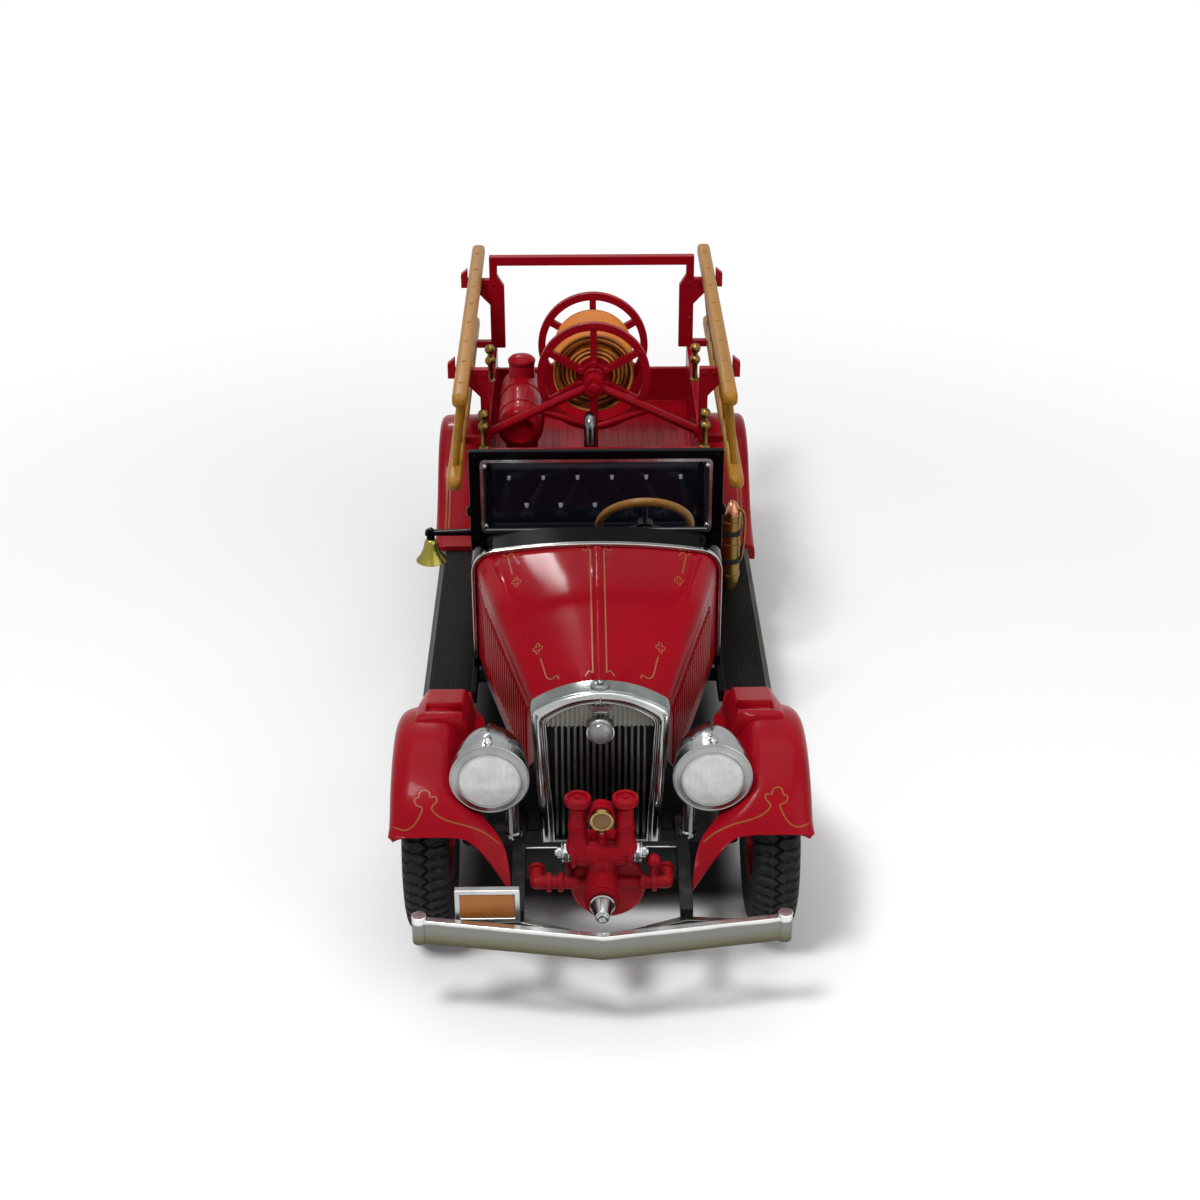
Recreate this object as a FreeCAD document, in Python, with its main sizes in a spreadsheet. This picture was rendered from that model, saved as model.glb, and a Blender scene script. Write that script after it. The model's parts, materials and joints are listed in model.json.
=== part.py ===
"""Collector's scale model, 1:32, of an open cab fire engine in the style of 1932.

The vehicle faces -Y and stands on Z = 0. All lengths are millimetres of the model. Places along
the vehicle are distances behind the front axle, unless a name says otherwise.
"""
import FreeCAD, Part
import math
import os
import Sketcher
from FreeCAD import Placement, Rotation, Vector

SIZES = {
    # Whole model
    "wheelbase": 104.0,
    "front_reach": 26.0,
    "rear_reach": 134.5,
    "seat_gap": 0.05,
    # Wheels
    "tyre_radius": 13.8,
    "tyre_width": 6.0,
    "tyre_shoulder": 1.0,
    "tyre_crown": 0.2,
    "tyre_bulge": 0.3,
    "tyre_bead_width": 4.8,
    "wheel_centre": 22.6,
    "rim_radius": 8.2,
    "rim_wall": 1.3,
    "rim_width": 4.8,
    "wheel_hub_radius": 2.7,
    "wheel_hub_width": 6.0,
    "hub_cap_radius": 1.9,
    "hub_cap_height": 0.8,
    "spoke_width": 1.5,
    "spoke_depth": 1.6,
    "stub_radius": 1.0,
    "running_fit": 0.05,
    "stub_reach": 24.2,
    "bore_end": 24.6,
    # Chassis
    "rail_top": 17.0,
    "rail_depth": 1.9,
    "rail_centre": 10.6,
    "rail_width": 1.6,
    "horn_gap": 0.9,
    "rail_rear": 124.0,
    "horn_back": 12.0,
    "horn_drop": 2.0,
    "kick_start": 82.0,
    "kick_end": 90.0,
    "kick_rise": 2.8,
    "base_top": 16.4,
    "base_wall": 1.0,
    "base_front": 1.0,
    "cross_plate_front": 9.6,
    "cross_plate_wall": 1.2,
    "cross_plate_bottom": 12.0,
    "rear_member": 119.0,
    "rear_member_wall": 2.5,
    "boss_radius": 2.6,
    "boss_bottom": 12.6,
    "screw_radius": 1.25,
    "screw_depth": 2.4,
    "front_screw": 22.0,
    "rear_screw": 76.0,
    "gearbox_front": 42.0,
    "gearbox_rear": 58.0,
    "gearbox_half_width": 3.6,
    "gearbox_bottom": 11.6,
    "gearbox_slope": 2.5,
    "shaft_radius": 0.9,
    "exhaust_place": 6.4,
    "exhaust_radius": 0.7,
    "exhaust_height": 13.6,
    "exhaust_front": 30.0,
    "exhaust_rear": 94.0,
    "silencer_radius": 1.7,
    "silencer_front": 60.0,
    "silencer_rear": 80.0,
    "hanger_width": 1.2,
    # Axles and springs
    "beam_bottom": 11.6,
    "beam_height": 2.0,
    "beam_half_depth": 0.9,
    "knuckle_place": 17.2,
    "knuckle_radius": 1.4,
    "knuckle_top": 15.6,
    "rear_tube_radius": 1.4,
    "backing_radius": 5.2,
    "backing_inner": 17.6,
    "backing_outer": 19.0,
    "differential_radius": 3.8,
    "pinion_nose": 4.6,
    "pinion_radius": 2.1,
    "saddle_top": 15.6,
    "saddle_half_depth": 1.7,
    "front_spring_half": 9.5,
    "rear_spring_half": 11.5,
    "spring_width": 1.4,
    "spring_pad_half": 2.0,
    "spring_eye_wall": 0.5,
    # Bumper and plate
    "bumper_half_width": 22.8,
    "bumper_sweep": 3.7,
    "bumper_bottom": 11.5,
    "bumper_height": 3.5,
    "bumper_wall": 1.0,
    "bumper_eye_radius": 0.95,
    "bumper_eye_height": 4.0,
    "back_bar_bottom": 12.7,
    "back_bar_height": 1.2,
    "back_bar_wall": 0.8,
    "back_bar_half_width": 22.0,
    "back_bar_gap": 0.8,
    "plate_width": 8.1,
    "plate_height": 4.9,
    "plate_wall": 1.0,
    "plate_centre": 14.3,
    "plate_border": 0.65,
    "plate_recess": 0.25,
    # Front pump
    "pump_setback": 11.0,
    "manifold_height": 20.0,
    "manifold_radius": 1.75,
    "manifold_half": 3.8,
    "manifold_cap_radius": 1.35,
    "manifold_cap_length": 1.3,
    "manifold_tip_radius": 0.8,
    "manifold_tip_length": 0.5,
    "volute_height": 16.2,
    "volute_radius": 4.6,
    "volute_setback": 1.2,
    "volute_wall": 3.0,
    "volute_lip": 0.6,
    "barrel_radius": 2.05,
    "barrel_reach": 5.7,
    "barrel_cap_radius": 1.5,
    "barrel_cap_tip_radius": 0.9,
    "barrel_cap_length": 2.9,
    "neck_radius": 2.0,
    "valve_place": 2.95,
    "valve_stem_radius": 0.8,
    "valve_top": 27.4,
    "valve_collar_radius": 1.3,
    "valve_collar_height": 0.5,
    "handwheel_radius": 1.65,
    "handwheel_height": 0.9,
    "handwheel_crown": 0.5,
    "gauge_height": 25.9,
    "gauge_radius": 1.5,
    "gauge_wall": 0.6,
    "gauge_housing_radius": 1.7,
    "gauge_housing_depth": 1.8,
    "gauge_reach": 1.2,
    "gauge_stem_radius": 0.7,
    "pipe_height": 15.4,
    "pipe_radius": 0.87,
    "pipe_half": 8.3,
    "pipe_return": 2.6,
    "coupling_gap": 0.9,
    "coupling_radius": 1.25,
    "coupling_inner": 4.9,
    "coupling_length": 0.6,
    "knob_place": 6.6,
    "knob_top": 18.6,
    "knob_radius": 0.9,
    "knob_stem_radius": 0.5,
    # Radiator
    "shell_front": 4.2,
    "shell_back": 1.2,
    "shell_bottom": 12.7,
    "shell_half_bottom": 7.9,
    "shell_half_top": 9.0,
    "shell_shoulder": 34.1,
    "shell_top": 37.1,
    "shell_border": 1.9,
    "shell_sill": 1.5,
    "core_wall": 0.8,
    "bar_width": 0.4,
    "bar_depth": 1.1,
    "bar_pitch": 0.82,
    "bar_top": 31.2,
    "filler_radius": 1.2,
    "filler_height": 0.8,
    "badge_radius": 1.25,
    "badge_wall": 0.5,
    "lamp_height": 31.2,
    "lamp_radius": 1.85,
    "lamp_depth": 1.3,
    "lamp_lens_radius": 1.6,
    "lamp_lens_depth": 1.1,
    # Bonnet, cowl and windscreen
    "bonnet_rear": 37.4,
    "bonnet_bottom": 19.0,
    "bonnet_front_half": 8.7,
    "bonnet_front_side_top": 32.9,
    "bonnet_front_shoulder": 1.0,
    "bonnet_front_crown": 2.3,
    "bonnet_front_top": 36.6,
    "bonnet_rear_half": 17.7,
    "bonnet_rear_side_top": 33.2,
    "bonnet_rear_shoulder": 3.0,
    "bonnet_rear_crown": 1.1,
    "bonnet_rear_top": 37.3,
    "hinge_radius": 0.9,
    "hinge_rise": 0.35,
    "louvre_radius": 0.5,
    "louvre_rise": 0.2,
    "louvre_first": 4.6,
    "louvre_pitch": 1.5,
    "louvre_bottom": 21.4,
    "louvre_top": 30.6,
    "apron_gap": 0.4,
    "cowl_rear": 42.3,
    "cowl_half": 18.4,
    "cowl_top": 37.9,
    "bead_width": 0.55,
    "bead_depth": 0.9,
    "screen_half": 18.55,
    "screen_wall": 1.2,
    "screen_bottom": 34.0,
    "screen_top": 49.9,
    "screen_side": 2.1,
    "screen_sill": 37.2,
    "screen_head": 48.4,
    "glass_wall": 0.4,
    # Cab
    "floor_wall": 1.0,
    "cab_half": 18.4,
    "cab_wall": 1.0,
    "cab_rear": 73.5,
    "cab_rear_wall": 1.1,
    "cab_rear_top": 35.6,
    "door_front": 46.5,
    "door_sill": 25.0,
    "door_rear": 59.0,
    "seat_front": 55.5,
    "seat_back": 69.0,
    "seat_half": 16.9,
    "seat_bottom": 21.5,
    "seat_top": 25.5,
    "squab_top": 35.6,
    "seat_round": 1.2,
    "riser_half": 16.0,
    "riser_front": 57.0,
    "steering_place": 7.5,
    "steering_back": 54.0,
    "steering_height": 32.4,
    "steering_radius": 7.0,
    "steering_rim": 0.65,
    "steering_hub_radius": 1.3,
    "steering_hub_height": 1.0,
    "steering_spoke_radius": 0.4,
    "column_radius": 0.75,
    # Headlamps
    "headlamp_place": 14.1,
    "headlamp_front": 11.0,
    "headlamp_height": 28.4,
    "headlamp_radius": 5.04,
    "headlamp_bezel": 1.5,
    "headlamp_depth": 12.8,
    "headlamp_tip_radius": 0.5,
    "headlamp_tip": 0.3,
    "headlamp_dish": 0.6,
    "crest_radius": 0.45,
    "headlamp_lens_radius": 4.5,
    "headlamp_lens_crown": 0.5,
    "post_place": 11.1,
    "post_back": 7.0,
    "post_radius": 0.6,
    "post_foot_radius": 1.0,
    "post_foot_height": 0.8,
    # Fenders and running boards
    "fender_tail_outer": 25.4,
    "fender_outer": 27.0,
    "fender_wall": 1.0,
    "fender_radius": 16.5,
    "fender_crown_edge": 24.2,
    "fender_roll": 2.4,
    "fender_skirt": 3.2,
    "fender_tip": 14.8,
    "fender_turn": 10.6,
    "fender_tail_rise": 0.8,
    "board_front": 30.0,
    "board_rear": 78.0,
    "board_top": 16.2,
    "board_wall": 1.2,
    "board_inner": 18.6,
    "board_outer": 25.4,
    "board_apron_wall": 0.8,
    "board_arm_depth": 2.0,
    "board_arm_front": 36.0,
    "board_arm_rear": 72.0,
    "rear_fender_radius": 15.1,
    "rear_fender_inner": 18.4,
    "rear_fender_edge": 25.6,
    "rear_fender_roll": 1.5,
    "rear_fender_end": 18.0,
    # Rear body
    "body_half": 18.4,
    "body_wall": 1.1,
    "body_top": 36.0,
    "body_bottom": 19.0,
    "bulkhead_top": 36.5,
    "tail_top": 31.0,
    "bed_floor": 24.6,
    "bed_wall": 1.2,
    "sill_half_width": 1.2,
    "step_rear": 133.0,
    "step_top": 14.4,
    "step_wall": 1.2,
    "step_half": 17.6,
    "step_hanger": 1.6,
    # Reel and its stand
    "reel_height": 45.1,
    "reel_front": 83.0,
    "reel_rear": 98.6,
    "reel_flange": 1.1,
    "reel_radius": 9.3,
    "reel_rim": 1.25,
    "reel_hub_radius": 2.3,
    "reel_core_radius": 2.9,
    "reel_spoke_width": 1.1,
    "reel_shaft_radius": 0.8,
    "hose_radius": 6.6,
    "hose_gap": 0.15,
    "hose_step_radius": 6.0,
    "hose_inner_radius": 4.6,
    "hose_recess": 1.6,
    "stand_place": 80.0,
    "stand_radius": 0.7,
    "stand_hub_radius": 1.6,
    "stand_hub_half": 1.3,
    "stand_foot_depth": 2.0,
    "stand_foot_height": 1.2,
    "stand_foot_inner": 16.4,
    "brace_drop": 7.5,
    "brace_reach": 9.1,
    "rear_post_front": 100.1,
    "rear_post_depth": 1.6,
    "rear_post_half": 0.9,
    # Tank and feed pipe
    "tank_place": 12.2,
    "tank_height": 35.8,
    "tank_radius": 3.8,
    "tank_front": 83.0,
    "tank_rear": 102.6,
    "tank_dome": 1.6,
    "tank_recess_radius": 2.2,
    "tank_recess": 1.0,
    "filler_place": 99.2,
    "filler_neck_radius": 2.2,
    "filler_neck_top": 41.6,
    "saddle_wall": 1.6,
    "saddle_half_width": 2.6,
    "saddle_front": 89.0,
    "saddle_rear": 96.5,
    "feed_place": 0.7,
    "feed_front": 75.65,
    "feed_bend": 1.3,
    "feed_radius": 0.95,
    "feed_top": 39.2,
    # Ladders and what carries them
    "front_post": 77.0,
    "rear_post": 120.6,
    "post_inner": 16.9,
    "post_width": 1.4,
    "post_depth": 1.4,
    "post_top": 48.9,
    "post_step": 1.2,
    "post_step_low": 47.6,
    "post_step_high": 49.6,
    "gusset_reach": 3.0,
    "gusset_drop": 3.2,
    "arm_height": 1.5,
    "arm_reach": 23.4,
    "arm_tip": 1.2,
    "arm_tip_height": 1.9,
    "low_arm_height": 1.2,
    "crossbar_size": 1.6,
    "crossbar_top": 53.1,
    "ladder_front": 60.3,
    "ladder_upper_place": 20.7,
    "ladder_upper_height": 50.1,
    "ladder_lower_place": 22.05,
    "ladder_lower_height": 36.2,
    "ladder_rail": 2.3,
    "ladder_rail_round": 0.5,
    "rung_radius": 0.6,
    "rung_first": 5.7,
    "rung_count": 8,
    "keeper_place": 17.85,
    "keeper_front": 75.3,
    "keeper_rear": 104.5,
    "keeper_low": 39.8,
    "keeper_high": 41.9,
    "keeper_knob_radius": 0.9,
    "keeper_stalk_radius": 0.45,
    # Bell and extinguisher
    "bell_place": 24.5,
    "bell_back": 42.9,
    "bell_top": 35.7,
    "bell_height": 4.0,
    "bell_mouth_radius": 2.2,
    "bell_waist_radius": 1.25,
    "bell_crown_radius": 0.8,
    "bell_wall": 0.35,
    "bell_arm_bottom": 36.4,
    "bell_arm_height": 0.7,
    "bell_arm_end": 25.3,
    "bell_stem_radius": 0.4,
    "extinguisher_place": 21.7,
    "extinguisher_back": 64.3,
    "extinguisher_radius": 1.45,
    "extinguisher_top": 29.6,
    "extinguisher_cap_top": 31.0,
    "extinguisher_cap_radius": 0.9,
    "extinguisher_foot": 1.0,
    "clip_bottom": 25.0,
    "clip_height": 1.0,
    "clip_half_depth": 0.7,
}

doc = FreeCAD.newDocument("FireEngineModel")
sheet = doc.addObject("Spreadsheet::Sheet", "Sizes")


class Size(float):
    """A length that keeps the sheet expression it was worked out from."""

    def __new__(cls, value, text):
        made = super().__new__(cls, value)
        made.text = text
        return made

    def __add__(self, other):
        return Size(float(self) + float(other), f"({self.text} + {text_of(other)})")

    def __radd__(self, other):
        return Size(float(other) + float(self), f"({text_of(other)} + {self.text})")

    def __sub__(self, other):
        return Size(float(self) - float(other), f"({self.text} - {text_of(other)})")

    def __rsub__(self, other):
        return Size(float(other) - float(self), f"({text_of(other)} - {self.text})")

    def __mul__(self, other):
        return Size(float(self) * float(other), f"({self.text} * {text_of(other)})")

    def __rmul__(self, other):
        return Size(float(other) * float(self), f"({text_of(other)} * {self.text})")

    def __truediv__(self, other):
        return Size(float(self) / float(other), f"({self.text} / {text_of(other)})")

    def __neg__(self):
        return Size(-float(self), f"(-{self.text})")


def text_of(value):
    """Expression text of a size or a plain number."""
    return value.text if isinstance(value, Size) else repr(float(value))


class Sheet:
    """The sheet's sizes by name."""


S = Sheet()
for row, (alias, number) in enumerate(SIZES.items(), start=1):
    sheet.set(f"A{row}", alias)
    sheet.set(f"B{row}", str(number))
    sheet.setAlias(f"B{row}", alias)
    setattr(S, alias, Size(number, f"Sizes.{alias}"))
doc.recompute()

# The frame's origin is half way along the whole model, so the front axle stands ahead of it.
FRONT_AXLE = (S.front_reach - S.rear_reach) / 2
REAR_AXLE = FRONT_AXLE + S.wheelbase
RAIL_FRONT = S.front_reach - S.bumper_sweep - S.bumper_wall - S.horn_gap
PUMP_PLACE = S.front_reach - S.pump_setback

TURNS = {
    "Z": Rotation(),
    "-Z": Rotation(Vector(1, 0, 0), 180),
    "X": Rotation(Vector(0, 1, 0), 90),
    "-X": Rotation(Vector(0, 1, 0), -90),
    "Y": Rotation(Vector(1, 0, 0), -90),
    "-Y": Rotation(Vector(1, 0, 0), 90),
}
SIDES = (("left", 1), ("right", -1))
NODES = []


def back(distance):
    """Place along Y of a point at a distance behind the front axle."""
    return FRONT_AXLE + distance


def ahead(distance):
    """Place along Y of a point at a distance ahead of the front axle."""
    return FRONT_AXLE - distance


# Document helpers

def bind(item, path, value):
    """Set a property, and tie it to the sheet when the value has an expression."""
    setattr(item, path, float(value))
    if isinstance(value, Size):
        item.setExpression(path, value.text)


def place(item, at, turn="Z"):
    """Put an object at a point, its own Z axis along one of the frame's directions."""
    item.Placement = Placement(Vector(*at), TURNS[turn] if isinstance(turn, str) else turn)
    for axis, value in zip("xyz", at):
        if isinstance(value, Size):
            item.setExpression(f"Placement.Base.{axis}", value.text)
    return item


def node(name, item):
    """Name an object as one sub-part of the model."""
    item.Label = name
    NODES.append(item)
    return item


def block(name, x, y, z):
    """A box between two places along each axis."""
    item = doc.addObject("Part::Box", name)
    for path, (low, high) in (("Length", x), ("Width", y), ("Height", z)):
        bind(item, path, high - low)
    return place(item, (x[0], y[0], z[0]))


def rod(name, radius, start, length, axis):
    """A cylinder from a point along one of the frame's directions."""
    item = doc.addObject("Part::Cylinder", name)
    bind(item, "Radius", radius)
    bind(item, "Height", length)
    return place(item, start, axis)


def strut(name, radius, start, end):
    """A cylinder between two points."""
    run = Vector(*end) - Vector(*start)
    item = doc.addObject("Part::Cylinder", name)
    bind(item, "Radius", radius)
    item.Height = run.Length
    return place(item, start, Rotation(Vector(0, 0, 1), run))


def cone(name, first, second, start, length, axis):
    """A cone from one radius to another along one of the frame's directions."""
    item = doc.addObject("Part::Cone", name)
    bind(item, "Radius1", first)
    bind(item, "Radius2", second)
    bind(item, "Height", length)
    return place(item, start, axis)


def ball(name, radius, centre):
    """A sphere."""
    item = doc.addObject("Part::Sphere", name)
    bind(item, "Radius", radius)
    return place(item, centre)


def fused(name, items):
    """One solid from several overlapping ones."""
    item = doc.addObject("Part::MultiFuse", name)
    item.Shapes = items
    item.Refine = True
    return item


def cut(name, base, tool):
    """A solid less another."""
    item = doc.addObject("Part::Cut", name)
    item.Base = base
    item.Tool = tool
    return item


def group(name, items):
    """Several separate solids that belong to one sub-part."""
    item = doc.addObject("Part::Compound", name)
    item.Links = items
    return item


def mirrored(name, source):
    """The same piece on the other side of the vehicle."""
    item = doc.addObject("Part::Mirroring", name)
    item.Source = source
    item.Normal = Vector(1, 0, 0)
    return item


def both_sides(name, source):
    """A piece and its mirror image as one sub-part."""
    return group(name, [source, mirrored(name + "Mirror", source)])


# Sketch helpers

def fix_point(sketch, spot, u, v):
    """Tie one sketch point to the origin by its two distances."""
    for kind, axis, value in (("DistanceX", -2, u), ("DistanceY", -1, v)):
        if float(value) == 0:
            sketch.addConstraint(Sketcher.Constraint("PointOnObject", *spot, axis))
            continue
        index = sketch.addConstraint(Sketcher.Constraint(kind, -1, 1, *spot, float(value)))
        if isinstance(value, Size):
            sketch.setExpression(f"Constraints[{index}]", value.text)


def fix_radius(sketch, geometry, value):
    """Give an arc or a circle its radius."""
    index = sketch.addConstraint(Sketcher.Constraint("Radius", geometry, float(value)))
    if isinstance(value, Size):
        sketch.setExpression(f"Constraints[{index}]", value.text)


def draw_circle(sketch, u, v, radius):
    """A circle with its centre and its radius tied."""
    circle = Part.Circle(Vector(float(u), float(v), 0), Vector(0, 0, 1), float(radius))
    index = sketch.addGeometry(circle, False)
    fix_point(sketch, (index, 3), u, v)
    fix_radius(sketch, index, radius)


def draw_loop(sketch, points):
    """A closed outline of lines and arcs.

    A point is (u, v) where a line arrives, and (u, v, via_u, via_v) where an arc arrives through via.
    """
    spots = []
    for k, point in enumerate(points):
        before = points[k - 1]
        start = Vector(float(before[0]), float(before[1]), 0)
        end = Vector(float(point[0]), float(point[1]), 0)
        if len(point) == 2:
            index = sketch.addGeometry(Part.LineSegment(start, end), False)
            spots.append(((index, 1), (index, 2), None))
            continue
        via = Vector(float(point[2]), float(point[3]), 0)
        turns_left = (via - start).cross(end - via).z > 0
        first, last = (start, end) if turns_left else (end, start)
        arc = Part.Arc(first, via, last)
        index = sketch.addGeometry(arc, False)
        ends = ((index, 1), (index, 2)) if turns_left else ((index, 2), (index, 1))
        spots.append((*ends, arc.toShape().Curve.Radius))
    for k, (begin, finish, radius) in enumerate(spots):
        following = spots[(k + 1) % len(spots)][0]
        sketch.addConstraint(Sketcher.Constraint("Coincident", *finish, *following))
        fix_point(sketch, finish, points[k][0], points[k][1])
        if radius is not None:
            fix_radius(sketch, finish[0], radius)


def sketch_on(body, plane, loops, offset=0.0):
    """Outlines on one of the body's own origin planes, moved along its normal by offset."""
    sketch = body.newObject("Sketcher::SketchObject", body.Name + "Sketch")
    support = next(f for f in body.Origin.OriginFeatures if f.Role == plane)
    sketch.AttachmentSupport = (support, [""])
    sketch.MapMode = "FlatFace"
    sketch.AttachmentOffset = Placement(Vector(0, 0, float(offset)), Rotation())
    if isinstance(offset, Size):
        sketch.setExpression("AttachmentOffset.Base.z", offset.text)
    for loop in loops:
        if loop[0] == "circle":
            draw_circle(sketch, *loop[1:])
        else:
            draw_loop(sketch, loop)
    return sketch


def pad(body, plane, loops, low, high):
    """Pad outlines between two places along a plane's axis."""
    facing = -1 if plane == "XZ_Plane" else 1
    sketch = sketch_on(body, plane, loops, low * facing)
    feature = body.newObject("PartDesign::Pad", body.Name + "Pad")
    feature.Profile = sketch
    feature.Reversed = plane == "XZ_Plane"
    bind(feature, "Length", high - low)
    return feature


def padded(name, plane, loops, low, high):
    """A body that is one pad."""
    body = doc.addObject("PartDesign::Body", name)
    pad(body, plane, loops, low, high)
    return body


def revolve(body, loop):
    """Turn an outline of (radius, height) points about the body's own Z axis."""
    sketch = sketch_on(body, "XZ_Plane", [loop])
    feature = body.newObject("PartDesign::Revolution", body.Name + "Turn")
    feature.Profile = sketch
    feature.ReferenceAxis = (sketch, ["V_Axis"])
    feature.Angle = 360
    return feature


def turned(name, loop, at, axis="Z"):
    """A turned body."""
    body = doc.addObject("PartDesign::Body", name)
    revolve(body, loop)
    return place(body, at, axis)


def spun(body, feature, count):
    """Repeat a body's feature round its own Z axis."""
    pattern = body.newObject("PartDesign::PolarPattern", body.Name + "Pattern")
    pattern.Originals = [feature]
    axis = next(f for f in body.Origin.OriginFeatures if f.Role == "Z_Axis")
    pattern.Axis = (axis, [""])
    pattern.Angle = 360
    pattern.Occurrences = count
    body.Tip = pattern
    return pattern


def dome_point(radius, base, rise):
    """Arc of a round dome: from its rim at a height to its top on the axis."""
    sphere = (radius * radius + rise * rise) / (rise * 2)
    turn = math.asin(radius / sphere) / 2
    return (0, base + rise, sphere * math.sin(turn), base + rise - sphere * (1 - math.cos(turn)))


def arched(half, bottom, side_top, shoulder, crown, top):
    """Arched section of bonnet, bead and cowl: upright sides, round shoulders and a bowed top.

    The shoulder reaches inwards and up by its size, and crown is how far the top bows above it.
    """
    flank = half - shoulder
    edge = top - crown
    bulge = 1 - math.sqrt(0.5)
    via = (half - shoulder * bulge, side_top + (edge - side_top) * (1 - bulge))
    return [
        (-half, bottom),
        (half, bottom),
        (half, side_top),
        (flank, edge, *via),
        (-flank, edge, 0, top),
        (-half, side_top, -via[0], via[1]),
    ]


# Wheels

def tyre(name, x, y):
    """Treaded tyre: bead, bulging side walls, square shoulders and a slightly crowned tread."""
    half = S.tyre_width / 2
    bead = S.tyre_bead_width / 2
    tread = half - S.tyre_shoulder
    middle = (S.tyre_radius + S.rim_radius) / 2
    edge = S.tyre_radius - S.tyre_crown
    loop = [
        (S.rim_radius, -bead),
        (edge - S.tyre_shoulder, -half, middle, -half),
        (edge, -tread),
        (edge, tread, S.tyre_radius, 0),
        (edge - S.tyre_shoulder, half),
        (S.rim_radius, bead, middle, half),
    ]
    return node(name, turned(name, loop, (x, y, S.tyre_radius), "X"))


def wheel_rim(name, x, y, axis):
    """Pressed rim on ten spokes with a hub, bored from the inside for its stub axle."""
    body = doc.addObject("PartDesign::Body", name)
    half = S.rim_width / 2
    inner = S.rim_radius - S.rim_wall
    revolve(body, [(inner, -half), (S.rim_radius, -half), (S.rim_radius, half), (inner, half)])
    width = S.spoke_width / 2
    depth = S.spoke_depth / 2
    root = S.wheel_hub_radius * root_share
    spoke = pad(body, "XY_Plane", [[(root, -width), (inner + S.rim_wall / 2, -width * taper_share),
                                    (inner + S.rim_wall / 2, width * taper_share), (root, width)]],
                -depth, depth)
    spun(body, spoke, wheel_spokes)
    hub = S.wheel_hub_width / 2
    bore = S.stub_radius + S.running_fit
    floor = S.bore_end - S.wheel_centre
    cap = hub + S.hub_cap_height
    body.Tip = body.Group[-1]
    revolve(body, [(bore, -hub), (S.wheel_hub_radius, -hub), (S.wheel_hub_radius, hub),
                   (S.hub_cap_radius, hub), (S.hub_cap_radius * taper_share, cap), (0, cap),
                   (0, floor), (bore, floor)])
    return node(name, place(body, (x, y, S.tyre_radius), axis))


wheel_spokes = 10
root_share = 0.8
taper_share = 0.8


def wheels():
    """Four wheels, each a tyre on its rim."""
    for end, y in (("front", FRONT_AXLE), ("rear", REAR_AXLE)):
        for side, sign in SIDES:
            x = S.wheel_centre * sign
            tyre(f"tyre_{end}_{side}", x, y)
            wheel_rim(f"rim_{end}_{side}", x, y, "X" if sign > 0 else "-X")


# Chassis

def rail():
    """One frame rail with its front horn and the rise over the rear axle."""
    under = S.rail_top - S.rail_depth
    high = S.rail_top + S.kick_rise
    high_under = under + S.kick_rise
    outline = [
        (ahead(RAIL_FRONT), under - S.horn_drop),
        (ahead(S.horn_back), under),
        (back(S.kick_start), under),
        (back(S.kick_end), high_under),
        (back(S.rail_rear), high_under),
        (back(S.rail_rear), high),
        (back(S.kick_end), high),
        (back(S.kick_start), S.rail_top),
        (ahead(S.horn_back), S.rail_top),
        (ahead(RAIL_FRONT), S.rail_top - S.horn_drop),
    ]
    inner = S.rail_centre - S.rail_width / 2
    return padded("Rail", "YZ_Plane", [outline], inner, inner + S.rail_width)


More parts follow.
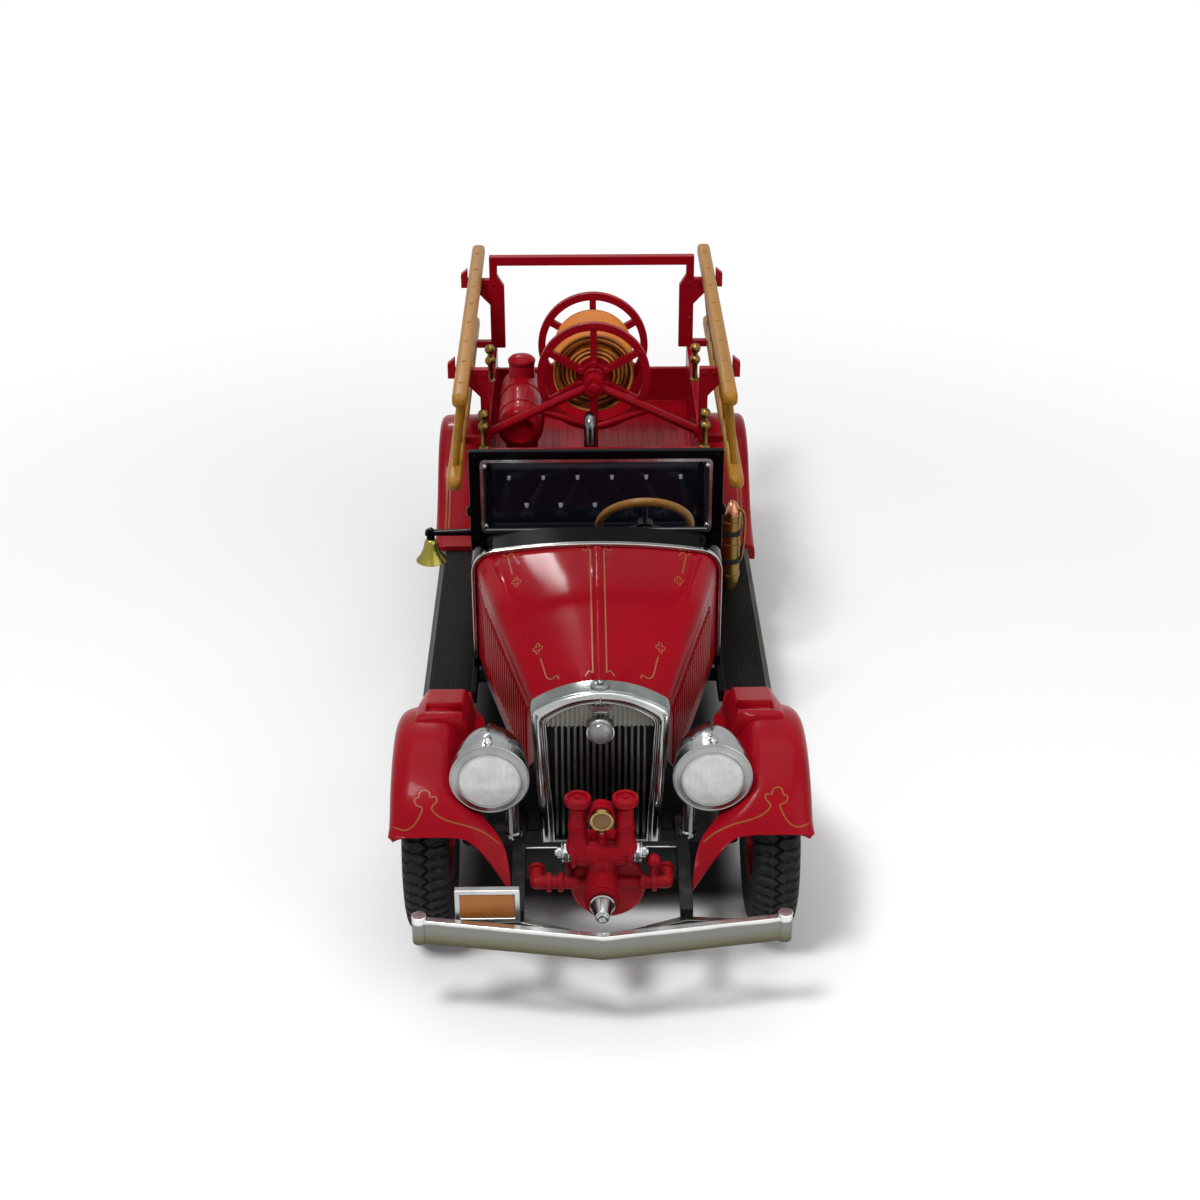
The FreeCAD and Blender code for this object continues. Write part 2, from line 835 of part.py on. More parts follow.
def chassis():
    """Frame rails, base plate, cross members, gearbox, shaft, silencer and two screw bosses."""
    inner = S.rail_centre - S.rail_width / 2
    under = S.base_top - S.base_wall
    one_rail = rail()
    base = block("Base", (-inner, inner), (back(S.base_front), back(S.kick_start)), (under, S.base_top))
    front = block("CrossPlate", (-inner, inner),
                  (ahead(S.cross_plate_front), ahead(S.cross_plate_front) + S.cross_plate_wall),
                  (S.cross_plate_bottom, S.rail_top))
    top = S.rail_top + S.kick_rise
    rear = block("RearMember", (-inner, inner),
                 (back(S.rear_member), back(S.rear_member) + S.rear_member_wall),
                 (top - S.rail_depth, top))
    start = S.bonnet_front_half - S.apron_gap
    end = S.bonnet_rear_half - S.apron_gap
    apron = padded("Apron", "XY_Plane", [[
        (-start, back(S.base_front)),
        (start, back(S.base_front)),
        (end, back(S.bonnet_rear)),
        (-end, back(S.bonnet_rear)),
    ]], S.base_top, S.bonnet_bottom)
    gearbox = padded("Gearbox", "YZ_Plane", [[
        (back(S.gearbox_front), under),
        (back(S.gearbox_front), S.gearbox_bottom),
        (back(S.gearbox_rear) - S.gearbox_slope, S.gearbox_bottom),
        (back(S.gearbox_rear), under),
    ]], -S.gearbox_half_width, S.gearbox_half_width)
    nose = back(S.wheelbase) - S.pinion_nose
    shaft = rod("Shaft", S.shaft_radius, (0, back(S.gearbox_front), S.tyre_radius),
                nose - back(S.gearbox_front), "Y")
    pipe = rod("Exhaust", S.exhaust_radius, (S.exhaust_place, back(S.exhaust_front), S.exhaust_height),
               S.exhaust_rear - S.exhaust_front, "Y")
    silencer = rod("Silencer", S.silencer_radius,
                   (S.exhaust_place, back(S.silencer_front), S.exhaust_height),
                   S.silencer_rear - S.silencer_front, "Y")
    hangers = []
    for spot in (S.exhaust_front, S.silencer_front, S.silencer_rear - S.hanger_width):
        hangers.append(block("Hanger", (S.exhaust_place - S.hanger_width / 2,
                                        S.exhaust_place + S.hanger_width / 2),
                             (back(spot), back(spot) + S.hanger_width), (S.exhaust_height, under)))
    bosses = []
    bores = []
    for spot in (S.front_screw, S.rear_screw):
        at = (0, back(spot), S.boss_bottom)
        bosses.append(rod("Boss", S.boss_radius, at, S.base_top - S.boss_bottom, "Z"))
        bores.append(rod("Bore", S.screw_radius, at, S.screw_depth, "Z"))
    whole = fused("ChassisSolid", [one_rail, mirrored("RailMirror", one_rail), base, front, rear, apron,
                                   gearbox, shaft, pipe, silencer, *hangers, *bosses])
    node("chassis_frame", cut("Chassis", whole, fused("Bores", bores)))


def axles():
    """Dropped front beam with knuckles and stubs, and a live rear axle with its differential."""
    beam = block("Beam", (-S.knuckle_place, S.knuckle_place),
                 (FRONT_AXLE - S.beam_half_depth, FRONT_AXLE + S.beam_half_depth),
                 (S.beam_bottom, S.beam_bottom + S.beam_height))
    pieces = [beam]
    for side, sign in SIDES:
        axis = "X" if sign > 0 else "-X"
        at = S.knuckle_place * sign
        pieces.append(rod("Knuckle", S.knuckle_radius, (at, FRONT_AXLE, S.beam_bottom),
                          S.knuckle_top - S.beam_bottom, "Z"))
        pieces.append(rod("Stub", S.stub_radius, (at, FRONT_AXLE, S.tyre_radius),
                          S.stub_reach - S.knuckle_place, axis))
    node("front_axle", fused("FrontAxle", pieces))

    pieces = [
        rod("Tube", S.rear_tube_radius, (-S.backing_inner, REAR_AXLE, S.tyre_radius),
            S.backing_inner * 2, "X"),
        ball("Differential", S.differential_radius, (0, REAR_AXLE, S.tyre_radius)),
        rod("Pinion", S.pinion_radius, (0, REAR_AXLE, S.tyre_radius), S.pinion_nose, "-Y"),
    ]
    for side, sign in SIDES:
        axis = "X" if sign > 0 else "-X"
        pieces.append(rod("Backing", S.backing_radius,
                          (S.backing_inner * sign, REAR_AXLE, S.tyre_radius),
                          S.backing_outer - S.backing_inner, axis))
        pieces.append(rod("Stub", S.stub_radius, (S.backing_inner * sign, REAR_AXLE, S.tyre_radius),
                          S.stub_reach - S.backing_inner, axis))
        middle = S.rail_centre * sign
        pieces.append(block("Saddle", (middle - S.spring_width / 2, middle + S.spring_width / 2),
                            (REAR_AXLE - S.saddle_half_depth, REAR_AXLE + S.saddle_half_depth),
                            (S.tyre_radius, S.saddle_top)))
    node("rear_axle", fused("RearAxle", pieces))


def spring(name, y, half, top, bottom):
    """Half elliptic spring: its main leaf ends under the rail and the shorter leaves step down."""
    drop = top - bottom
    side = [
        (y + half, top),
        (y + half, top - S.spring_eye_wall),
        (y + half * leaf_shares[0], top - drop * step_shares[0]),
        (y + half * leaf_shares[0], top - drop * step_shares[1]),
        (y + half * leaf_shares[1], top - drop * step_shares[2]),
        (y + half * leaf_shares[1], top - drop * step_shares[3]),
        (y + S.spring_pad_half, bottom),
    ]
    other = [(y - (u - y), v) for u, v in reversed(side)]
    inner = S.rail_centre - S.spring_width / 2
    return padded(name, "YZ_Plane", [side + other], inner, inner + S.spring_width)


leaf_shares = (0.72, 0.45)
step_shares = (0.4, 0.62, 0.72, 0.88)


def springs():
    """Four springs between the rails and the axles."""
    front = spring("FrontSpring", FRONT_AXLE, S.front_spring_half, S.rail_top - S.rail_depth,
                   S.beam_bottom + S.beam_height)
    rear = spring("RearSpring", REAR_AXLE, S.rear_spring_half,
                  S.rail_top - S.rail_depth + S.kick_rise, S.saddle_top)
    node("leaf_springs", group("Springs", [front, mirrored("FrontSpringMirror", front),
                                           rear, mirrored("RearSpringMirror", rear)]))


# Bumper and plate

def bumper():
    """Two chrome blades in a shallow V, joined at upright eyes and at the frame horns."""
    nose = ahead(S.front_reach)
    tip = nose + S.bumper_sweep
    wide = S.bumper_half_width
    blade = padded("Blade", "XY_Plane", [[
        (-wide, tip),
        (0, nose),
        (wide, tip),
        (wide, tip + S.bumper_wall),
        (0, nose + S.bumper_wall),
        (-wide, tip + S.bumper_wall),
    ]], S.bumper_bottom, S.bumper_bottom + S.bumper_height)
    horn = ahead(RAIL_FRONT)
    front = horn - S.back_bar_wall
    inner = S.rail_centre
    cross = S.back_bar_half_width
    middle = ahead(S.front_reach - S.back_bar_gap)
    brace = padded("BackBar", "XY_Plane", [[
        (-cross, tip),
        (-inner, front),
        (0, middle),
        (inner, front),
        (cross, tip),
        (cross, tip + S.back_bar_wall),
        (inner + S.rail_width / 2, horn),
        (inner - S.rail_width / 2, horn),
        (0, middle + S.back_bar_wall),
        (-inner + S.rail_width / 2, horn),
        (-inner - S.rail_width / 2, horn),
        (-cross, tip + S.back_bar_wall),
    ]], S.back_bar_bottom, S.back_bar_bottom + S.back_bar_height)
    eyes = [rod("Eye", S.bumper_eye_radius,
                (wide * sign, tip + S.bumper_wall / 2, S.bumper_bottom), S.bumper_eye_height, "Z")
            for side, sign in SIDES]
    node("front_bumper", fused("Bumper", [blade, brace, *eyes]))


def number_plate():
    """Blank plate in a raised border, standing on the bumper's rear blade."""
    low = S.back_bar_bottom + S.back_bar_height
    half = S.plate_width / 2
    x = -S.plate_centre
    rear = ahead(RAIL_FRONT)
    body = doc.addObject("PartDesign::Body", "Plate")
    pad(body, "XZ_Plane", [[(x - half, low), (x + half, low), (x + half, low + S.plate_height),
                            (x - half, low + S.plate_height)]],
        rear - S.plate_wall + S.plate_recess, rear)
    edge = S.plate_border
    outer = [(x - half, low), (x + half, low), (x + half, low + S.plate_height),
             (x - half, low + S.plate_height)]
    inner = [(x - half + edge, low + edge), (x + half - edge, low + edge),
             (x + half - edge, low + S.plate_height - edge), (x - half + edge, low + S.plate_height - edge)]
    pad(body, "XZ_Plane", [outer, inner], rear - S.plate_wall, rear - S.plate_wall + S.plate_recess)
    node("number_plate", body)


# Front pump

def pump():
    """Centrifugal pump ahead of the radiator with its manifold, valves, gauge and pipes."""
    y = ahead(PUMP_PLACE)
    barrel = y - S.barrel_reach
    gauge = y - S.gauge_reach
    low = S.volute_height
    plate = ahead(S.cross_plate_front)
    lip = S.volute_radius - S.volute_lip
    pieces = [
        rod("Manifold", S.manifold_radius, (-S.manifold_half, y, S.manifold_height),
            S.manifold_half * 2, "X"),
        turned("Volute", [(0, 0), (S.volute_radius, 0), (S.volute_radius, S.volute_wall - S.volute_lip),
                          (lip, S.volute_wall), (0, S.volute_wall)],
               (0, ahead(PUMP_PLACE - S.volute_setback) + S.volute_wall, low), "-Y"),
        rod("Barrel", S.barrel_radius, (0, barrel, low), plate - barrel, "Y"),
        rod("Neck", S.neck_radius, (0, y, low), S.manifold_height - low, "Z"),
        rod("GaugeStem", S.gauge_stem_radius, (0, y, S.manifold_height),
            S.gauge_height - S.manifold_height, "Z"),
        rod("GaugeHousing", S.gauge_housing_radius, (0, gauge, S.gauge_height),
            S.gauge_housing_depth, "Y"),
        rod("Pipes", S.pipe_radius, (-S.pipe_half, y, S.pipe_height), S.pipe_half * 2, "X"),
        rod("KnobStem", S.knob_stem_radius, (S.knob_place, y, S.pipe_height),
            S.knob_top - S.pipe_height, "Z"),
        ball("Knob", S.knob_radius, (S.knob_place, y, S.knob_top)),
    ]
    for side, sign in SIDES:
        axis = "X" if sign > 0 else "-X"
        valve = S.valve_place * sign
        collar = (S.manifold_height + S.valve_top) / 2
        pieces.append(rod("ValveStem", S.valve_stem_radius, (valve, y, S.manifold_height),
                          S.valve_top - S.manifold_height, "Z"))
        pieces.append(rod("ValveCollar", S.valve_collar_radius, (valve, y, collar),
                          S.valve_collar_height, "Z"))
        for inner in (S.coupling_inner, S.coupling_inner + S.coupling_length + S.coupling_gap):
            pieces.append(rod("Coupling", S.coupling_radius, (inner * sign, y, S.pipe_height),
                              S.coupling_length, axis))
        elbow = (S.pipe_half * sign, y, S.pipe_height)
        pieces.append(ball("Elbow", S.pipe_radius, elbow))
        pieces.append(rod("Return", S.pipe_radius, elbow, S.pipe_return, "Y"))
    node("pump_body", fused("PumpSolid", pieces))

    edge = S.handwheel_height - S.handwheel_crown
    wheel = turned("Handwheel", [(0, 0), (S.handwheel_radius, 0), (S.handwheel_radius, edge),
                                 dome_point(S.handwheel_radius, edge, S.handwheel_crown)],
                   (S.valve_place, y, S.valve_top))
    node("pump_handwheels", both_sides("Handwheels", wheel))

    nuts = []
    for side, sign in SIDES:
        axis = "X" if sign > 0 else "-X"
        nut = doc.addObject("Part::Prism", "Nut")
        nut.Polygon = 6
        bind(nut, "Circumradius", S.manifold_cap_radius)
        bind(nut, "Height", S.manifold_cap_length)
        place(nut, (S.manifold_half * sign, y, S.manifold_height), axis)
        tip = rod("Tip", S.manifold_tip_radius,
                  ((S.manifold_half + S.manifold_cap_length) * sign, y, S.manifold_height),
                  S.manifold_tip_length, axis)
        nuts.append(fused("Cap", [nut, tip]))
    nuts.append(cone("BarrelCap", S.barrel_cap_radius, S.barrel_cap_tip_radius,
                     (0, barrel, low), S.barrel_cap_length, "-Y"))
    node("pump_caps", group("Caps", nuts))

    node("pump_gauge", rod("Gauge", S.gauge_radius, (0, gauge, S.gauge_height),
                           S.gauge_wall, "-Y"))


cap_share = 0.7


# Radiator

def shell_outline(inset, sill):
    """Outline of the radiator shell, or of its opening when it is inset."""
    bottom = S.shell_bottom + sill
    low = S.shell_half_bottom - inset
    high = S.shell_half_top - inset
    return [
        (-low, bottom),
        (low, bottom),
        (high, S.shell_shoulder - inset * shoulder_share),
        (-high, S.shell_shoulder - inset * shoulder_share, 0, S.shell_top - inset),
    ]


shoulder_share = 0.9


def radiator():
    """Arched chrome shell, black core, upright grille bars and the small lamp on them.

    Gives back the small lamp's lens, which is one sub-part with the other lenses.
    """
    front = ahead(S.shell_front)
    rear = ahead(S.shell_back)
    ring = padded("Shell", "XZ_Plane", [shell_outline(0, 0), shell_outline(S.shell_border, S.shell_sill)],
                  front, rear)
    middle = (front + rear) / 2
    cap = rod("Filler", S.filler_radius, (0, middle, S.shell_top - S.shell_border / 2),
              S.filler_height + S.shell_border / 2, "Z")
    badge = rod("Badge", S.badge_radius, (0, front, S.shell_top - S.shell_border / 2), S.badge_wall, "-Y")
    node("radiator_shell", fused("ShellSolid", [ring, cap, badge]))

    inset = S.shell_border + S.seat_gap
    core = rear - S.core_wall
    node("radiator_core", padded("Core", "XZ_Plane", [shell_outline(inset, S.shell_sill + S.seat_gap)],
                                 core, rear))

    bars = []
    count = bar_count
    low = S.shell_bottom + S.shell_sill + S.seat_gap
    for k in range(count):
        x = S.bar_pitch * (k - (count - 1) / 2)
        bars.append(block("Bar", (x - S.bar_width / 2, x + S.bar_width / 2), (core - S.bar_depth, core),
                          (low, S.bar_top)))
    node("radiator_grille", group("Bars", bars))

    face = core - S.bar_depth
    node("grille_lamp", rod("LampRing", S.lamp_radius, (0, face, S.lamp_height), S.lamp_depth, "-Y"))
    lens = turned("LampLens", [(0, 0), (S.lamp_lens_radius, 0),
                               dome_point(S.lamp_lens_radius, 0, S.lamp_lens_depth)],
                  (0, face - S.lamp_depth, S.lamp_height), "-Y")
    return lens


bar_count = 15


# Bonnet, cowl and windscreen

def bonnet():
    """Tapered bonnet between radiator and cowl, with its raised centre hinge."""
    front = ahead(S.shell_back)
    rear = back(S.bonnet_rear)
    body = doc.addObject("PartDesign::Body", "BonnetBody")
    first = sketch_on(body, "XZ_Plane", [arched(S.bonnet_front_half, S.bonnet_bottom,
                                                S.bonnet_front_side_top, S.bonnet_front_shoulder,
                                                S.bonnet_front_crown, S.bonnet_front_top)], -front)
    second = sketch_on(body, "XZ_Plane", [arched(S.bonnet_rear_half, S.bonnet_bottom,
                                                 S.bonnet_rear_side_top, S.bonnet_rear_shoulder,
                                                 S.bonnet_rear_crown, S.bonnet_rear_top)], -rear)
    loft = body.newObject("PartDesign::AdditiveLoft", "BonnetLoft")
    loft.Profile = first
    loft.Sections = [second]
    loft.Ruled = True
    sunk = S.hinge_radius - S.hinge_rise
    hinge_end = rear - S.bead_depth - S.seat_gap * 2
    slope = (S.bonnet_front_top - S.bonnet_rear_top) / (rear - front)
    hinge = strut("Hinge", S.hinge_radius,
                  (0, front + S.seat_gap, S.bonnet_front_top - sunk),
                  (0, hinge_end, S.bonnet_front_top - sunk - slope * (hinge_end - front)))
    ribs = []
    spread = (S.bonnet_rear_half - S.bonnet_front_half) / (rear - front)
    for k in range(louvres):
        y = front + S.louvre_first + S.louvre_pitch * k
        x = S.bonnet_front_half + spread * (y - front) - S.louvre_radius + S.louvre_rise
        for side, sign in SIDES:
            ribs.append(rod("Louvre", S.louvre_radius, (x * sign, y, S.louvre_bottom),
                            S.louvre_top - S.louvre_bottom, "Z"))
    node("bonnet", fused("Bonnet", [body, hinge, *ribs]))


louvres = 19


def cowl():
    """Black cowl with the chrome bead that closes the bonnet against it."""
    front = back(S.bonnet_rear)
    grow = S.cowl_half - S.bonnet_rear_half
    side_top = S.bonnet_rear_side_top
    shoulder = S.bonnet_rear_shoulder
    crown = S.bonnet_rear_crown
    node("cowl", padded("Cowl", "XZ_Plane", [arched(S.cowl_half, S.rail_top, side_top, shoulder + grow,
                                                    crown, S.cowl_top)], front, back(S.cowl_rear)))
    gap = S.seat_gap
    inner = arched(S.bonnet_rear_half + gap, S.bonnet_bottom, side_top, shoulder + gap, crown,
                   S.bonnet_rear_top + gap)
    wide = S.bead_width
    outer = arched(S.bonnet_rear_half + gap + wide, S.bonnet_bottom, side_top, shoulder + gap + wide,
                   crown, S.bonnet_rear_top + gap + wide)
    left_foot, right_foot = outer[0], outer[1]
    loop = [left_foot, inner[0], (inner[5][0], inner[5][1]),
            (inner[4][0], inner[4][1], inner[5][2], inner[5][3]),
            (inner[3][0], inner[3][1], inner[4][2], inner[4][3]),
            (inner[2][0], inner[2][1], inner[3][2], inner[3][3]),
            inner[1], right_foot, outer[2], outer[3], outer[4], outer[5]]
    node("cowl_bead", padded("Bead", "XZ_Plane", [loop], front - S.bead_depth, front))


def windscreen():
    """Upright black frame behind the cowl with the bell's arm, and its single pane."""
    front = back(S.cowl_rear)
    half = S.screen_half
    pane = half - S.screen_side
    outer = [(-half, S.screen_bottom), (half, S.screen_bottom), (half, S.screen_top), (-half, S.screen_top)]
    inner = [(-pane, S.screen_sill), (pane, S.screen_sill), (pane, S.screen_head), (-pane, S.screen_head)]
    frame = padded("Screen", "XZ_Plane", [outer, inner], front, front + S.screen_wall)
    arm = block("BellArm", (-S.bell_arm_end, -half + S.screen_side / 2), (front, front + S.screen_wall),
                (S.bell_arm_bottom, S.bell_arm_bottom + S.bell_arm_height))
    node("windscreen_frame", fused("ScreenFrame", [frame, arm]))
    gap = S.seat_gap
    middle = front + S.screen_wall / 2
    node("windscreen_glass", block("Pane", (-pane + gap, pane - gap),
                                   (middle - S.glass_wall / 2, middle + S.glass_wall / 2),
                                   (S.screen_sill + gap, S.screen_head - gap)))


# Cab

def cab():
    """Open cab: floor, low sides that rise to cowl and seat back, rear panel and seat riser."""
    front = back(S.cowl_rear)
    rear = back(S.cab_rear)
    floor_top = S.rail_top + S.floor_wall
    half = S.cab_half
    inner = half - S.cab_wall
    floor = block("Floor", (-half, half), (front, rear), (S.rail_top, floor_top))
    side = padded("CabSide", "YZ_Plane", [[
        (front, S.rail_top),
        (rear, S.rail_top),
        (rear, S.cab_rear_top),
        (back(S.seat_back), S.cab_rear_top),
        (back(S.door_rear), S.door_sill, (back(S.seat_back) + back(S.door_rear)) / 2 - S.cab_wall,
         S.door_sill + (S.cab_rear_top - S.door_sill) * side_share),
        (back(S.door_front), S.door_sill),
        (front, S.screen_bottom - S.seat_gap, (front + back(S.door_front)) / 2 - S.cab_wall / 2,
         S.door_sill + (S.screen_bottom - S.door_sill) * side_share),
    ]], inner, half)
    wall = block("CabBack", (-inner, inner), (rear - S.cab_rear_wall, rear), (floor_top, S.cab_rear_top))
    riser = block("Riser", (-S.riser_half, S.riser_half), (back(S.riser_front), rear - S.cab_rear_wall),
                  (floor_top, S.seat_bottom))
    node("cab_body", fused("Cab", [floor, side, mirrored("CabSideMirror", side), wall, riser]))


side_share = 0.35


def seat():
    """Bench seat: cushion and squab in one block with rounded edges."""
    edge = S.seat_round
    front = back(S.seat_front)
    squab = back(S.seat_back)
    rear = back(S.cab_rear) - S.cab_rear_wall
    node("seat", padded("Seat", "YZ_Plane", [[
        (front, S.seat_bottom),
        (rear, S.seat_bottom),
        (rear, S.squab_top - edge),
        (rear - edge, S.squab_top, rear - edge * (1 - math.sqrt(0.5)),
         S.squab_top - edge * (1 - math.sqrt(0.5))),
        (squab + edge, S.squab_top),
        (squab, S.squab_top - edge, squab + edge * (1 - math.sqrt(0.5)),
         S.squab_top - edge * (1 - math.sqrt(0.5))),
        (squab, S.seat_top),
        (front + edge, S.seat_top),
        (front, S.seat_top - edge, front + edge * (1 - math.sqrt(0.5)),
         S.seat_top - edge * (1 - math.sqrt(0.5))),
    ]], -S.seat_half, S.seat_half))


def steering():
    """Raked column and a three spoke wheel."""
    rake = math.radians(column_rake)
    centre = Vector(S.steering_place, back(S.steering_back), S.steering_height)
    along = Vector(0, -math.cos(rake), -math.sin(rake))
    turn = Rotation(Vector(0, 0, 1), along)
    rim = doc.addObject("Part::Torus", "SteeringRim")
    bind(rim, "Radius1", S.steering_radius)
    bind(rim, "Radius2", S.steering_rim)
    place(rim, (S.steering_place, back(S.steering_back), S.steering_height), turn)
    hub_start = centre - along * (S.steering_hub_height / 2)
    hub_end = centre + along * (S.steering_hub_height / 2)
    pieces = [rim, strut("SteeringHub", S.steering_hub_radius, hub_start, hub_end)]
    across = Vector(1, 0, 0)
    up = along.cross(across)
    for k in range(steering_spokes):
        angle = math.radians(90 + k * 360 / steering_spokes)
        reach = (across * math.cos(angle) + up * math.sin(angle)) * float(S.steering_radius)
        pieces.append(strut("SteeringSpoke", S.steering_spoke_radius, centre, centre + reach))
    node("steering_wheel", fused("SteeringWheel", pieces))
    length = (back(S.steering_back) - back(S.cowl_rear)) / math.cos(rake) + S.column_radius * 2
    column = strut("Column", S.column_radius, hub_end, hub_end + along * length)
    half = S.column_radius * 2
    trim = block("ColumnTrim", (S.steering_place - half, S.steering_place + half),
                 (back(S.bonnet_rear), back(S.cowl_rear)), (S.rail_top, S.screen_bottom))
    node("steering_column", cut("ColumnSolid", column, trim))


column_rake = 35
steering_spokes = 3


# Headlamps

def headlamps(grille_lens):
    """Teardrop lamps with deep bezels, each on a post that stands on the frame rail."""
    y = ahead(S.headlamp_front)
    edge = S.headlamp_bezel
    radius = S.headlamp_radius
    depth = S.headlamp_depth
    at = (S.headlamp_place, y, S.headlamp_height)
    body = turned("LampBowl", [
        (0, S.headlamp_dish),
        (S.headlamp_lens_radius, S.headlamp_dish),
        (S.headlamp_lens_radius, 0),
        (radius, 0),
        (radius, edge),
        (radius * bowl_shares[0], edge),
        (radius * bowl_shares[1], depth * bowl_shares[2],
         radius * bowl_shares[3], depth * bowl_shares[4]),
        (S.headlamp_tip_radius, depth, radius * bowl_shares[5], depth * bowl_shares[6]),
        dome_point(S.headlamp_tip_radius, depth, S.headlamp_tip),
    ], at, "Y")
    post_top = S.headlamp_height - radius * post_share
    foot = (S.post_place, ahead(S.post_back), S.rail_top)
    post = rod("LampPost", S.post_radius, foot, post_top - S.rail_top, "Z")
    collar = rod("LampFoot", S.post_foot_radius, foot, S.post_foot_height, "Z")
    crest_start = (S.headlamp_place, y + edge / 2, S.headlamp_height + radius * crest_shares[0])
    crest_end = (S.headlamp_place, y + depth * crest_shares[1],
                 S.headlamp_height + radius * crest_shares[2])
    crest = strut("LampCrest", S.crest_radius, crest_start, crest_end)
    node("headlamps", both_sides("Headlamps", fused("Headlamp", [body, post, collar, crest])))
    lens = turned("LampGlass", [
        (0, 0),
        (S.headlamp_lens_radius - S.seat_gap, 0),
        (S.headlamp_lens_radius - S.seat_gap, S.headlamp_dish),
        dome_point(S.headlamp_lens_radius - S.seat_gap, S.headlamp_dish, S.headlamp_lens_crown),
    ], (S.headlamp_place, y + S.headlamp_dish, S.headlamp_height), "-Y")
    node("lamp_lenses", group("Lenses", [lens, mirrored("LampGlassMirror", lens), grille_lens]))


bowl_shares = (0.93, 0.46, 0.7, 0.85, 0.43, 0.24, 0.86)
crest_shares = (0.95, 0.62, 0.6)
post_share = 0.55


# Fenders and running boards

def knots_of(count):
    """Evenly spread knots of a clamped cubic curve, and how often each one counts."""
    inner = count - 4
    knots = [k / (inner + 1) for k in range(inner + 2)]
    return knots, [4] + [1] * inner + [4]


def skin(rows):
    """Smooth cubic surface shaped by rows of control points."""
    first_knots, first_times = knots_of(len(rows))
    second_knots, second_times = knots_of(len(rows[0]))
    surface = Part.BSplineSurface()
    surface.buildFromPolesMultsKnots(rows, first_times, second_times, first_knots, second_knots,
                                     False, False, 3, 3)
    return surface


def lowered(rows, wall):
    """The same rows moved in by the wall, square to the sheet."""
    moved = []
    last = len(rows) - 1
    for i, line in enumerate(rows):
        end = len(line) - 1
        points = []
        for j, point in enumerate(line):
            along = rows[min(i + 1, last)][j] - rows[max(i - 1, 0)][j]
            across = line[min(j + 1, end)] - line[max(j - 1, 0)]
            normal = along.cross(across)
            normal.normalize()
            points.append(point + normal * float(wall))
        moved.append(points)
    return moved


def pressed_sheet(name, rows, wall):
    """Pressed sheet: an outer and an inner skin, closed round their four edges."""
    outer = skin(rows)
    inner = skin(lowered(rows, wall))
    faces = [outer.toShape(), inner.toShape()]
    for edge, other in ((outer.uIso(0), inner.uIso(0)), (outer.uIso(1), inner.uIso(1)),
                        (outer.vIso(0), inner.vIso(0)), (outer.vIso(1), inner.vIso(1))):
        faces.append(Part.makeRuledSurface(edge.toShape(), other.toShape()))
    shell = Part.makeShell(faces)
    shell.sewShape(float(wall) * sew_share)
    solid = Part.makeSolid(shell.Shells[0])
    if solid.Volume < 0:
        solid.reverse()
    item = doc.addObject("Part::Feature", name)
    item.Shape = solid
    return item


sew_share = 0.0001


def rolled_edge(edge_x, outer_x, drop, y, z, normal_y, normal_z, share):
    """Outer end of a row: the crown turns over a round edge and down into the skirt."""
    roll = outer_x - edge_x
    points = []
    for across, down in roll_shares:
        depth = drop * down * share
        points.append(Vector(edge_x + roll * across, y + normal_y * depth, z + normal_z * depth))
    depth = S.fender_skirt * share
    points.append(Vector(outer_x, y + normal_y * depth, z + normal_z * depth))
    return points


roll_shares = ((0, 0), (0.55, 0.15), (0.87, 0.5), (1, 1))


def swept(first, first_slope, last, last_slope, share):
    """Height and slope part way along a smooth sweep between two sloping ends."""
    span = last[0] - first[0]
    t = share
    height = (first[1] * (1 - 3 * t * t + 2 * t ** 3) + span * first_slope * t * (1 - t) ** 2
              + last[1] * (3 * t * t - 2 * t ** 3) + span * last_slope * t * t * (t - 1))
    slope = (first[1] * (6 * t * t - 6 * t) + last[1] * (6 * t - 6 * t * t)) / span
    slope = slope + first_slope * (1 - 4 * t + 3 * t * t) + last_slope * (3 * t * t - 2 * t)
    return float(height), float(slope)


def front_crown(place):
    """Height and slope of the front fender's crown, from the wheel arc into the tail sweep."""
    turn = float(S.fender_turn)
    if place <= turn:
        rise = math.sqrt(S.fender_radius ** 2 - place ** 2)
        return S.tyre_radius + rise, -place / rise
    start = front_crown(turn)
    share = (place - turn) / (S.board_front - turn)
    end = (float(S.board_front), float(S.board_top + S.fender_tail_rise))
    return swept((turn, float(start[0])), start[1], end, -tail_slope_share, share)


